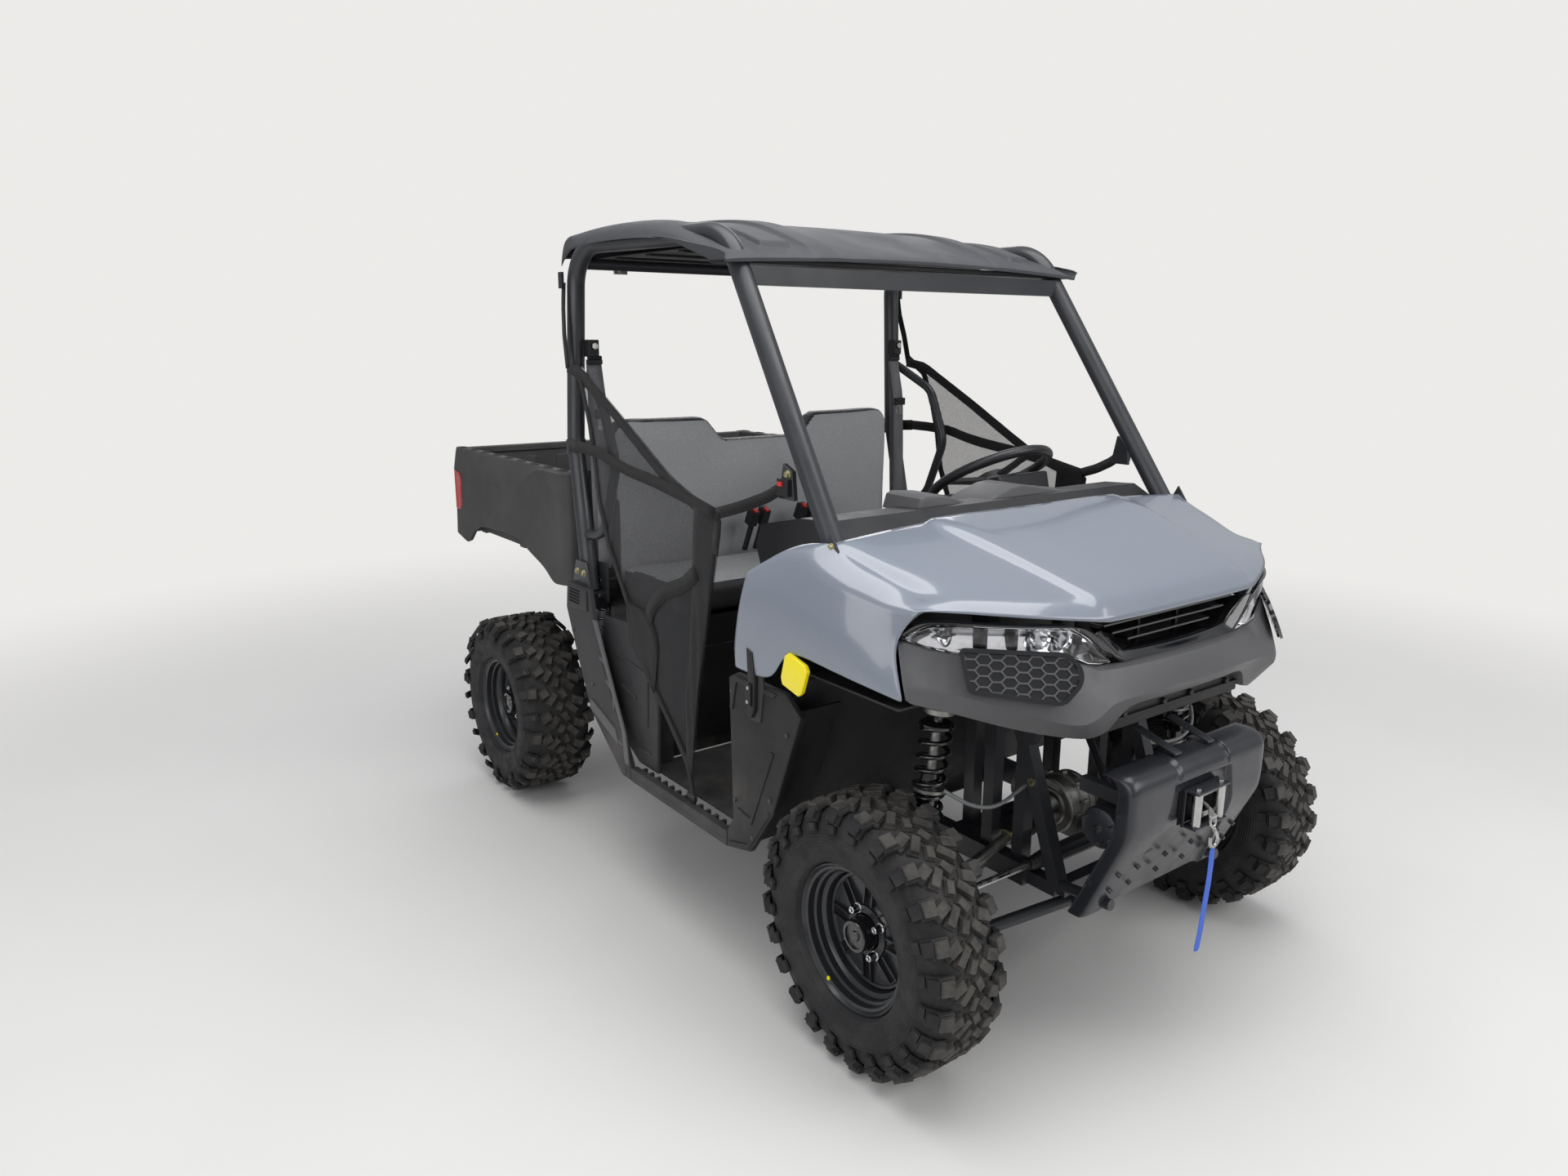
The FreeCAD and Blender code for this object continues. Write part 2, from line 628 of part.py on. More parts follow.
def cage_hoops():
    """Two bent tubes, each with its welded hip bar and its foot plates."""
    line = hoop_line(1)
    hoop = tube(line, (d.front_bend, d.rear_bend, d.knee_bend), d.cage_radius)
    back = point(d.cage_rear_x, d.cage_mid_y, d.hip_top_z)
    reach = number(d.hip_reach)
    low = number(d.hip_low_z)
    share = (low - line[4].z) / (line[3].z - line[4].z)
    foot = line[4] + (line[3] - line[4]) * share
    span = back.z - low
    bars = [Vector(back.x, back.y - number(d.hip_radius) / 2, back.z),
            Vector(back.x + reach * 0.72, foot.y, back.z - span * 0.19),
            Vector(back.x + reach, foot.y, back.z - span * 0.54),
            Vector(foot.x + reach * 0.46, foot.y, low + span * 0.03),
            Vector(foot.x, foot.y, low)]
    hip = tube(bars, (d.hip_bend, d.hip_bend, d.hip_bend), d.hip_radius)
    plate = number(d.foot_plate)
    foot_end = line[4]
    size = number(d.foot_size) / 2
    rear_foot = Part.makeBox(size * 2, size * 2, plate, foot_end - Vector(size, size, plate))
    front_foot = line[0]
    front_plate = Part.makeBox(size * 2, size * 2, plate, front_foot - Vector(size, size, plate))
    under = [Part.makeBox(size * 2, size * 2, size, foot - Vector(size, size, plate + size))
             for foot in (foot_end, front_foot)]
    left = hoop.multiFuse([hip, rear_foot, front_plate]).cut(under)
    return keep(feature("cage_hoops", both_sides(left)))


def cage_crossbars():
    """The ribbed bar under the roof's front edge and the tube at its rear."""
    bar_x, bar_z = number(d.crossbar_x), number(d.crossbar_z)
    hoop = tube(hoop_line(1), (d.front_bend, d.rear_bend, d.knee_bend),
                d.cage_radius + d.seat_gap)
    reach = number(d.cage_front_y)
    front = beam(Vector(bar_x, -reach, bar_z), Vector(bar_x, reach, bar_z), d.crossbar_depth,
                 d.crossbar_height, Vector(1, 0, 0))
    rear_y = number(d.cage_rear_y)
    rear = bar(point(d.cage_rear_x, -d.cage_rear_y, d.rear_bar_z),
               point(d.cage_rear_x, d.cage_rear_y, d.rear_bar_z), d.cage_radius * 0.7)
    cut = both_sides(hoop)
    bars = [front.cut(cut), rear.cut(cut)]
    return keep(feature("cage_crossbars", Part.makeCompound([b.Solids[0] for b in bars])))


cage_hoops()
cage_crossbars()

# Steering and suspension

hub_end = d.front_track / 2 + d.rim_width_front / 2 - d.disc_inset_front - d.disc_thickness \
    - d.hub_length
knuckle_outer = hub_end - d.seat_gap
knuckle_inner = knuckle_outer - d.knuckle_thickness


def knuckle():
    """Hub carrier with its strut, its lower joint and its steering arm, left side."""
    outer, inner = number(knuckle_outer), number(knuckle_inner)
    thick = outer - inner
    centre = Vector(front_x, inner, axle_z)
    bearing = number(d.bearing_radius)
    clamp = king_point(d.clamp_z)
    ball = king_point(d.ball_z)
    top = king_point(d.king_top_z)
    run = (top - ball).normalize()
    size = number(d.knuckle_thickness)
    middle = inner + thick / 2
    upper = Vector(front_x, middle, axle_z + bearing * 0.7)
    lower = Vector(front_x, middle, axle_z - bearing * 0.7)
    ball_r = number(d.ball_radius)
    shapes = [
        Part.makeCylinder(bearing, thick, centre, Vector(0, 1, 0)),
        beam(upper, clamp, size * 2.6, size, Vector(1, 0, 0)),
        beam(lower, ball, size * 2.2, size, Vector(1, 0, 0)),
        Part.makeCylinder(ball_r, ball_r * 1.2, ball - run * ball_r * 0.4, run),
        bar(clamp - run * size, king_point(d.spring_low_z), d.strut_radius),
    ]
    tip = Vector(front_x + number(d.steer_arm), king_point(d.rack_z).y, number(d.rack_z))
    root = Vector(front_x + size, middle, tip.z)
    shapes.append(beam(root, tip, size * 1.6, size))
    shapes.append(Part.makeCylinder(number(d.rod_end_radius), size, tip - up * size / 2))
    shapes.append(beam(root - up * size / 2, Vector(root.x, middle, axle_z), size * 1.6,
                       thick, Vector(1, 0, 0)))
    top = top - run * number(d.seat_gap)
    seat = king_point(d.spring_low_z)
    shapes.append(bar(seat, seat + run * size / 2, number(d.spring_radius) + ball_r / 4))
    shapes.append(bar(seat, top, d.rod_radius))
    shapes.append(bar(top - run * size, top, number(d.spring_radius)))
    return shapes[0].multiFuse(shapes[1:])


left_knuckle = keep(feature("knuckle_left", knuckle()))
keep(mirrored("knuckle_right", left_knuckle))
rack_x = front_x + number(d.steer_arm + d.rod_end_radius * 2 + d.seat_gap)


def steering_rack():
    """Rack bar with a tie rod and rod end at each side; it slides across the vehicle."""
    z = number(d.rack_z)
    arm_y = king_point(d.rack_z).y
    end = Vector(rack_x, arm_y, z)
    rod_bar = bar(Vector(rack_x, -arm_y, z), end, d.tie_rod_radius)
    half = number(d.rack_half + d.rack_radius)
    rack_bar = bar(Vector(rack_x, -half, z), Vector(rack_x, half, z), d.rack_bar_radius)
    height = number(d.rod_end_height)
    ends = both_sides(Part.makeCylinder(number(d.rod_end_radius), height,
                                        Vector(rack_x, arm_y, z - height / 2)))
    return rod_bar.multiFuse([rack_bar, ends])


keep(feature("steering_rack", steering_rack()))


def wheel_axis():
    """Direction of the steering column, up out of the wheel."""
    tilt = math.radians(number(d.column_tilt))
    return Vector(-math.cos(tilt), 0, math.sin(tilt))


def steering_column():
    """Rack housing, lower shaft, joints and the upper column."""
    z = number(d.rack_z)
    half = number(d.rack_half)
    housing = bar(Vector(rack_x, -half, z), Vector(rack_x, half, z), d.rack_radius)
    bore = bar(Vector(rack_x, -half * 2, z), Vector(rack_x, half * 2, z),
               d.rack_bar_radius + d.seat_gap)
    axis = wheel_axis()
    wheel = point(d.wheel_x, d.wheel_y, d.wheel_z)
    joint = wheel - axis * number(d.column_drop)
    shaft_end = Vector(rack_x, number(d.lower_shaft_y), z + number(d.rack_radius) * 1.6)
    top = wheel - axis * number(d.wheel_grip) * 3
    tower = Part.makeCylinder(number(d.rack_radius) * 0.8, number(d.rack_radius) * 1.8,
                              Vector(rack_x, number(d.lower_shaft_y), z))
    column = bar(joint, top, d.column_radius)
    shaft = bar(joint, shaft_end, number(d.column_radius) * 0.55)
    knob = Part.makeSphere(number(d.column_radius), joint)
    return tower.multiFuse([housing, column, shaft, knob]).cut(bore)


keep(feature("steering_column", steering_column()))


def steering_wheel():
    """Rim, three spokes and hub, turned about the column's axis."""
    axis = wheel_axis()
    wheel = point(d.wheel_x, d.wheel_y, d.wheel_z)
    radius, grip = number(d.wheel_radius), number(d.wheel_grip)
    rim_shape = Part.makeTorus(radius, grip, wheel, axis)
    base = wheel - axis * (grip * 3 - number(d.seat_gap))
    hub = Part.makeCylinder(grip * 3, grip * 2, base, axis)
    across = Vector(0, 1, 0)
    back = axis.cross(across)
    spokes = []
    for reach in (across, -across, back * -1):
        spokes.append(beam(wheel - axis * grip * 2 + reach * grip, wheel + reach * radius,
                           grip * 2, grip * 0.8, axis.cross(reach)))
    return rim_shape.multiFuse([hub] + spokes)


keep(feature("steering_wheel", steering_wheel()))


def front_arms():
    """Lower arms, each of two tubes from the frame pivots to a cup under the knuckle's ball."""
    ball = king_point(d.ball_z)
    r = number(d.arm_radius)
    run = (king_point(d.king_top_z) - ball).normalize()
    low = ball - run * (number(d.ball_radius) * 0.4 + number(d.seat_gap) + r * 1.8)
    pivot_z = number(d.rail_bottom + d.skid_thickness) - r * 1.3
    pivots = [point(d.arm_front_x, d.arm_inner_y, pivot_z),
              point(d.arm_rear_x, d.arm_inner_y, pivot_z)]
    cup = Part.makeCylinder(number(d.ball_radius), r * 1.8, low, run)
    inner = low + Vector(0, -number(d.ball_radius) * 0.8, r * 0.35)
    shapes = [cup]
    for pivot in pivots:
        shapes.append(bar(inner, pivot, r))
        shapes.append(Part.makeCylinder(r * 1.3, r * 3, pivot - Vector(r * 1.5, 0, 0),
                                        Vector(1, 0, 0)))
    return shapes[0].multiFuse(shapes[1:])


keep(feature("front_arms", both_sides(front_arms())))


def front_drive():
    """Front gearcase with its half shafts and boots, which end in the knuckle's joint."""
    z = number(d.gearcase_z)
    half = number(d.gearcase_half)
    case_r = number(d.gearcase_radius)
    case = Part.makeCylinder(case_r, half, Vector(front_x, -half / 2, z), Vector(0, 1, 0))
    tail = number(d.arm_rear_x) - case_r * 0.53
    nose = Part.makeCylinder(case_r * 0.55, front_x - tail, Vector(tail, 0, z),
                             Vector(1, 0, 0))
    foot_z = number(rail_top - d.skid_thickness + d.seat_gap)
    foot = Part.makeBox(number(d.member_size) / 2, half, z - foot_z,
                        Vector(number(d.arm_rear_x - d.member_size / 4), -half / 2, foot_z))
    shapes = [case, nose, foot]
    joint = king_point(axle_z)
    boot = number(d.boot_radius)
    for side in (1, -1):
        start = Vector(front_x, side * half / 2, z)
        end = Vector(joint.x, side * joint.y, joint.z)
        run = (end - start).normalize()
        shapes.append(bar(start, end, d.shaft_radius))
        shapes.append(Part.makeCone(boot, number(d.shaft_radius), boot * 2.4, start, run))
        shapes.append(Part.makeSphere(number(d.joint_radius), end))
    return shapes[0].multiFuse(shapes[1:])


keep(feature("front_drive", front_drive()))


def rear_suspension():
    """Rear arms with hub carriers, and the drive unit with its shafts."""
    hub_in = number(rear_centre_y + d.rim_width_rear / 2 - d.disc_inset_rear
                    - d.disc_thickness - d.hub_length - d.seat_gap)
    thick = number(d.knuckle_thickness)
    r = number(d.arm_radius)
    bearing = number(d.bearing_radius)
    carrier = Part.makeCylinder(bearing, thick, Vector(rear_x, hub_in - thick, axle_z),
                                Vector(0, 1, 0))
    inner_y = number(d.tail_spacing + d.leg_size) / 2 + r * 1.3 + number(d.seat_gap)
    spread = bearing * 1.25
    ahead = number(rail_rear - d.seat_gap) - rear_x - r
    mid_z = number(d.tail_z)
    middle = hub_in - thick / 2
    lower = Vector(rear_x, middle, axle_z - bearing * 1.3)
    upper = Vector(rear_x, middle, axle_z + bearing * 1.5)
    top_z = axle_z + bearing * 3.4
    shapes = [carrier, beam(lower, upper, bearing * 0.8, thick, Vector(1, 0, 0))]
    pivots = [Vector(rear_x + shift, inner_y, mid_z) for shift in (-spread, ahead)]
    shapes += [bar(lower, pivot, r) for pivot in pivots]
    shapes.append(bar(upper, Vector(rear_x, inner_y, top_z), r * 0.8))
    shapes.append(Part.makeCylinder(r * 1.3, spread + ahead + r * 2,
                                    Vector(rear_x - spread - r, inner_y, mid_z), Vector(1, 0, 0)))
    arms = shapes[0].multiFuse(shapes[1:])
    keep(feature("rear_arms", both_sides(arms)))
    tail_half = number(d.tail_spacing - d.leg_size) / 2 - number(d.seat_gap)
    shaft_z = number(d.tail_z) + case_length / 2
    unit = Part.makeBox(case_length, tail_half * 2, case_length,
                        Vector(rear_x - case_length / 2, -tail_half,
                               shaft_z - case_length / 2))
    drive = [unit]
    boot, shaft = number(d.boot_radius), number(d.shaft_radius)
    for side in (1, -1):
        start = Vector(rear_x, side * tail_half, shaft_z)
        end = Vector(rear_x, side * (hub_in - thick - shaft), axle_z)
        run = (end - start).normalize()
        drive.append(bar(start, end, shaft))
        drive.append(Part.makeCone(boot, shaft, boot * 2, start, run))
        drive.append(Part.makeCone(boot * 0.7, shaft, boot * 1.6, end, run * -1))
    keep(feature("rear_drive", drive[0].multiFuse(drive[1:])))
    rear_shocks(lower, pivots[1])


def rear_shocks(low_end, high_end):
    """Rear dampers with their springs, from the lower arms' front tubes to the bed rails."""
    radius, gap = number(d.rod_radius), number(d.seat_gap)
    foot = low_end + (high_end - low_end) * 0.45
    rail_face = number(bed_rail_y + d.leg_size / 2)
    head = Vector(number(rear_axle_x + d.shock_ahead), rail_face + radius * 2, number(d.shock_top))
    run = head - foot
    stub = bar(head + Vector(0, radius, 0), Vector(head.x, rail_face + gap, head.z), radius)
    shapes = [bar(foot, head, radius), stub,
              bar(foot + run * 0.24, foot + run * 0.92, number(d.strut_radius)),
              bar(foot + run * 0.34, foot + run * 0.88, number(d.spring_radius))]
    arm_room = bar(low_end, high_end, number(d.arm_radius) + gap)
    shock = shapes[0].multiFuse(shapes[1:]).cut(arm_room)
    return keep(feature("rear_shocks", both_sides(max(shock.Solids, key=lambda s: s.Volume))))


case_length = number(d.gearcase_radius) * 2
rear_suspension()
keep(box("engine", (rear_axle_x + d.engine_ahead, -d.engine_half,
                    d.rail_bottom + d.skid_thickness + d.seat_gap),
         (d.engine_front, d.engine_half, d.engine_top)))
can = rod("muffler_can", d.muffler_radius, d.muffler_length,
          (rear_axle_x - d.muffler_behind, -d.muffler_length / 2, d.engine_top - d.muffler_radius), (0, 1, 0))
hanger_x = bed_rail_rear + d.leg_size
hanger = box("muffler_hanger", (hanger_x - d.leg_size / 4, -d.leg_size,
                                d.engine_top - d.muffler_radius),
             (hanger_x + d.leg_size / 4, d.leg_size, d.bed_rail_top - d.leg_size - d.seat_gap))
keep(joined("muffler", [can, hanger]))


def hitch_receiver():
    """Square tow socket behind the frame, with its collar and its cross pin's hole."""
    outer, inner = d.receiver_outer, d.receiver_inner
    rear = tail_rear - d.seat_gap - d.receiver_length
    z = d.tail_z
    tube_box = box("receiver_tube", (rear, -outer / 2, z - outer / 2),
                   (rear + d.receiver_length, outer / 2, z + outer / 2))
    collar = box("receiver_collar", (rear, -outer * 0.6, z - outer * 0.6),
                 (rear + outer * 0.2, outer * 0.6, z + outer * 0.6))
    room = box("receiver_room", (rear - d.running_gap, -inner / 2, z - inner / 2),
               (rear + d.receiver_length + d.running_gap, inner / 2, z + inner / 2))
    pin = rod("receiver_pin_hole", d.receiver_pin_radius, outer * 2,
              (rear_axle_x - d.receiver_pin_behind, -outer, z), (0, 1, 0))
    keep(less("hitch_receiver", joined("receiver_body", [tube_box, collar]), [room, pin]))


hitch_receiver()

# Cab


def floor():
    """Bent sheet: cab floor, sloped toe board and firewall, open to the column's shaft."""
    t = d.floor_sheet
    piece = body("floor_sheet_metal")
    run, rise = d.wall_x - d.toe_x, d.wall_top - d.floor_top
    toe_shares = [(0, 0), (0.4, 0.176), (0.632, 0.332), (1, 0.588), (1, 1)]
    line = [(d.floor_rear, d.floor_top)]
    line += [(d.toe_x + run * a, d.floor_top + rise * b) for a, b in toe_shares]
    under = [(x + t * a, z - t * b) for (x, z), a, b in
             zip(line, (0, 0.6, 1.1, 1.1, 1, 1), (1, 1, 0, 0, 0, 0))]
    step(piece, "Pad", outline(piece, "section", "XZ_Plane", line + under[::-1]),
         d.floor_half * 2, both=True)
    hole = rod("shaft_hole", d.column_radius * 2, d.toe_x, (d.toe_x, d.wheel_y * 0.72,
               d.floor_top + d.floor_top * 0.93), (1, 0, 0))
    keep(less("floor", piece, [hole]))


def rockers():
    """Ribbed sills under the door openings."""
    piece = body("rocker_left")
    step(piece, "Pad", outline(piece, "section", "YZ_Plane", [
        (d.panel_y - d.rocker_depth, d.floor_top - d.floor_sheet - d.seat_gap),
        (d.panel_y - d.rocker_depth, d.floor_top - d.rocker_height),
        (d.panel_y, d.floor_top - d.rocker_height),
        (d.panel_y, d.floor_top),
        (d.floor_half + d.seat_gap, d.floor_top),
        (d.floor_half + d.seat_gap, d.floor_top - d.floor_sheet - d.seat_gap)],
        d.rocker_rear), d.rocker_front - d.rocker_rear)
    keep(twin("rockers", piece))


def panel(label, corners, depth, hollow=None):
    """A moulded panel: outline swept inward from the outer face."""
    piece = body(f"{label}_left")
    step(piece, "Pad", outline(piece, "outline", "XZ_Plane", corners, -d.panel_y), depth)
    if hollow:
        doc.recompute()
        inside = outline(piece, "hollow", "XZ_Plane", hollow, -d.panel_y + d.panel_sheet)
        step(piece, "Pocket", inside, depth, back=True)
    return keep(twin(label, piece))


def side_panels():
    sheet = d.panel_sheet
    low = d.floor_top - d.rocker_height
    foot = d.foot_size
    rear = [(d.rocker_rear - d.seat_gap, low), (d.rocker_rear - d.seat_gap, d.floor_top),
            (d.cage_foot_x + foot * 1.724, d.seat_frame_z),
            (d.cage_foot_x + foot * 1.345, d.cage_foot_z + foot * 0.379),
            (d.cage_foot_x - foot * 1.069, d.cage_foot_z + foot * 0.379),
            (d.cage_foot_x - foot * 1.241, d.seat_frame_z - foot * 0.224),
            (d.cage_foot_x + foot * 1.172, d.floor_top + foot * 1.707),
            (d.rocker_rear - foot * 0.845, low)]
    panel("rear_side_panels", rear, d.rocker_depth * 0.4)
    run, rise = d.wall_x - d.toe_x, d.wall_top - d.floor_top
    front_shares = [(0.128, -0.028), (0.848, 0.152), (1.68, 0.537), (1.2, 0.594), (-0.344, 0.591),
                    (-0.568, 0.568), (-0.456, 0.057)]
    front = [(d.rocker_front + d.seat_gap, low)]
    front += [(d.toe_x + run * a, d.floor_top + rise * b) for a, b in front_shares]
    front.append((d.rocker_front + d.seat_gap, d.floor_top))
    panel("front_side_panels", front, d.rocker_depth * 0.4)


def wheel_liners():
    """Bent sheets over the front wheels, from the firewall forward."""
    t = number(d.floor_sheet)
    x, z = number(d.wall_x), number(d.floor_top)
    x = x + t + number(d.seat_gap)
    lift = number(d.hood_low) + number(d.floor_sheet) * 8
    line = [Vector(x, 0, lift - t * 8), Vector(x + t * 14, 0, lift), Vector(front_x + t * 20, 0, lift)]
    inner = number(d.king_top_y) - number(d.tower_radius) * 3
    outer = number(d.hood_half) - number(d.tower_radius)
    corners = line + [p + Vector(0, 0, t) if i else p + Vector(0, 0, t * 3)
                      for i, p in reversed(list(enumerate(line)))]
    sheet = prism([p + Vector(0, inner, 0) for p in corners], Vector(0, outer - inner, 0))
    return keep(feature("wheel_liners", both_sides(sheet)))


floor()
rockers()
side_panels()
wheel_liners()


def seats():
    """Bench cushion, split backrest and the moulded box under them."""
    cushion = body("seat_base")
    step(cushion, "Pad", outline(cushion, "section", "XZ_Plane", [
        (d.seat_rear + d.back_thickness + d.seat_gap, d.seat_low), (d.seat_front, d.seat_low),
        (d.seat_front, d.seat_top - d.cushion_round / 3),
        (d.seat_front - d.cushion_round, d.seat_top + d.cushion_round * 0.27),
        (d.seat_rear + d.back_thickness + d.seat_gap, d.seat_top - d.cushion_round * 0.47)]),
         d.seat_half * 2, both=True)
    keep(cushion)
    back = body("seat_back")
    dip = d.back_top - d.back_dip
    half = [(d.seat_half * a if not isinstance(a, Size) and a else a, b) for a, b in
            [(0, dip), (0.25, dip), (0.39, d.back_top), (0.905, d.back_top),
             (0.965, d.back_top - d.back_dip * 0.5), (1, d.back_top - d.back_dip * 1.8),
             (1, d.back_low)]]
    other = [(-a, b) for a, b in half[1:]]
    step(back, "Pad", outline(back, "front", "YZ_Plane", half + other[::-1], d.seat_rear),
         d.back_thickness)
    keep(back)
    wall = d.box_wall
    gap = d.seat_gap
    moulding = body("seat_box")
    top = d.seat_low - gap
    low = d.box_low
    rear = d.seat_frame_x + d.leg_size / 2 + d.running_gap
    step(moulding, "Pad", outline(moulding, "section", "XZ_Plane", [
        (d.box_front - wall, low), (d.box_front, low), (d.box_front + wall * 5, top),
        (rear, top), (rear, top - wall), (d.box_front + wall * 4, top - wall)]),
        d.seat_half * 2 + d.box_wall * 6, both=True)
    keep(moulding)


def dash():
    """Dash shell: a bent top and face, with end walls."""
    wall = number(d.dash_wall)
    front, rear = number(d.dash_front), number(d.dash_rear)
    top, low = number(d.dash_top), number(d.dash_low)
    depth, height = front - rear, top - low
    half, gap = number(d.dash_half), number(d.seat_gap)
    face_shares = [(1, 0.87), (0.78, 1), (0.5, 0.98), (0.05, 0.86), (0, 0.68), (0.2, 0.08),
                   (0.26, 0)]
    face = [Vector(rear + depth * a, 0, low + height * b) for a, b in face_shares]
    inward_shares = [(0, -1), (0, -1), (0, -1), (0.7, -0.7), (1, 0), (1, 0.2), (1, 0)]
    under = [p + Vector(wall * a, 0, wall * b) for p, (a, b) in zip(face, inward_shares)]
    shell = prism([p - Vector(0, half, 0) for p in face + under[::-1]],
                  Vector(0, half * 2, 0))
    wall_x, wall_top = number(d.wall_x) - gap, number(d.wall_top) + gap
    closing = [Vector(front, 0, wall_top), Vector(wall_x, 0, wall_top),
               Vector(wall_x, 0, low)]
    for y in (-half, half - wall):
        shell = shell.fuse(prism([p + Vector(0, y, 0) for p in face + closing[::-1]],
                                 Vector(0, wall, 0)))
    axis = wheel_axis()
    wheel = point(d.wheel_x, d.wheel_y, d.wheel_z)
    tunnel = bar(wheel, wheel - axis * number(d.column_drop) * 1.4, d.column_radius * 1.6)
    shaft = bar(wheel - axis * number(d.column_drop), Vector(rack_x, number(d.lower_shaft_y),
                number(d.rack_z)), d.column_radius * 1.6)
    cowl = beam(point(d.cowl_x, -d.cowl_half - d.overrun, d.cowl_z),
                point(d.cowl_x, d.cowl_half + d.overrun, d.cowl_z), d.leg_size + d.pin_gap,
                d.leg_size + d.pin_gap, Vector(1, 0, 0))
    return keep(feature("dash", shell.cut(tunnel).cut(shaft).cut(cowl)))


def roof():
    """Moulded roof: a crowned sheet with raised side ribs and a turned down front lip."""
    front, rear = number(d.roof_front), number(d.roof_rear)
    half, wall = number(d.roof_half), number(d.roof_wall)
    top, edge, lip = number(d.roof_top), number(d.roof_edge_z), number(d.roof_lip_z)
    length = front - rear
    rise = top - edge
    drop = edge - lip
    crown_shares = [(0, 1), (0.5, 0.97), (0.56, 0.8), (0.66, 0.8), (0.72, 0.72), (0.92, 0.3),
                    (1, 0)]
    station_shares = [(0, -0.55, 0.9), (0.06, 0, 1), (0.12, 0, 1), (0.62, 0, 1), (0.8, 0, 0.8),
                      (0.93, -0.5, 0.4), (1, -1, 0.25)]
    sections = []
    for along_share, sink, swell in station_shares:
        x = rear + length * along_share
        base = edge + drop * sink
        right = [Vector(x, half * a, base + rise * swell * b) for a, b in crown_shares]
        left = [Vector(x, -p.y, p.z) for p in right[1:]]
        over = left[::-1] + right
        under = [p - Vector(0, 0, wall) for p in reversed(over)]
        sections.append(over + under)
    seat = tube(hoop_line(1), (d.front_bend, d.rear_bend, d.knee_bend),
                d.cage_radius + d.seat_gap)
    shell = lofted(sections).cut(both_sides(seat))
    return keep(feature("roof", max(shell.Solids, key=lambda s: s.Volume)))


seats()
dash()
roof()


def hood_shell(grow):
    """The hood's stack of cross sections, or the room inside them, open at its ends."""
    nose, back = number(d.hood_nose_x), number(d.hood_back_x)
    half, top, low = number(d.hood_half), number(d.hood_top), number(d.hood_low)
    length, height = nose - back, top - low
    reach = number(d.overrun)
    sections = []
    for station, heights, widths in hood_stations_shares:
        x = back + length * station
        right = [Vector(x, half * w - (grow if w else 0), low + height * h - grow)
                 for w, h in zip(widths, heights)]
        if grow:
            right[-1].z -= reach
        left = [Vector(x, -p.y, p.z) for p in right[1:]]
        sections.append(left[::-1] + right)
    if grow:
        first, last = sections[0], sections[-1]
        sections.insert(0, [p - Vector(reach, 0, 0) for p in first])
        sections.append([p + Vector(reach, 0, 0) for p in last])
    return lofted(sections)


hood_stations_shares = [
    (0, (0.9, 0.9, 0.89, 0.86, 0.55, 0.2, 0), (0, 0.47, 0.84, 0.93, 0.995, 1, 0.985)),
    (0.31, (1, 1, 0.955, 0.93, 0.7, 0.25, 0), (0, 0.47, 0.84, 0.915, 0.995, 1, 0.985)),
    (0.48, (0.99, 0.995, 0.885, 0.85, 0.62, 0.22, 0), (0, 0.47, 0.834, 0.92, 0.985, 0.995, 0.98)),
    (0.73, (0.835, 0.85, 0.745, 0.69, 0.52, 0.2, 0), (0, 0.422, 0.8, 0.885, 0.965, 0.98, 0.965)),
    (0.8, (0.79, 0.81, 0.72, 0.66, 0.5, 0.2, 0), (0, 0.405, 0.76, 0.9, 0.955, 0.97, 0.955)),
    (0.96, (0.685, 0.685, 0.62, 0.6, 0.45, 0.2, 0), (0, 0.376, 0.7, 0.85, 0.92, 0.94, 0.93)),
    (1, (0.556, 0.562, 0.6, 0.6, 0.4, 0.2, 0), (0, 0.386, 0.7, 0.85, 0.92, 0.94, 0.93)),
]


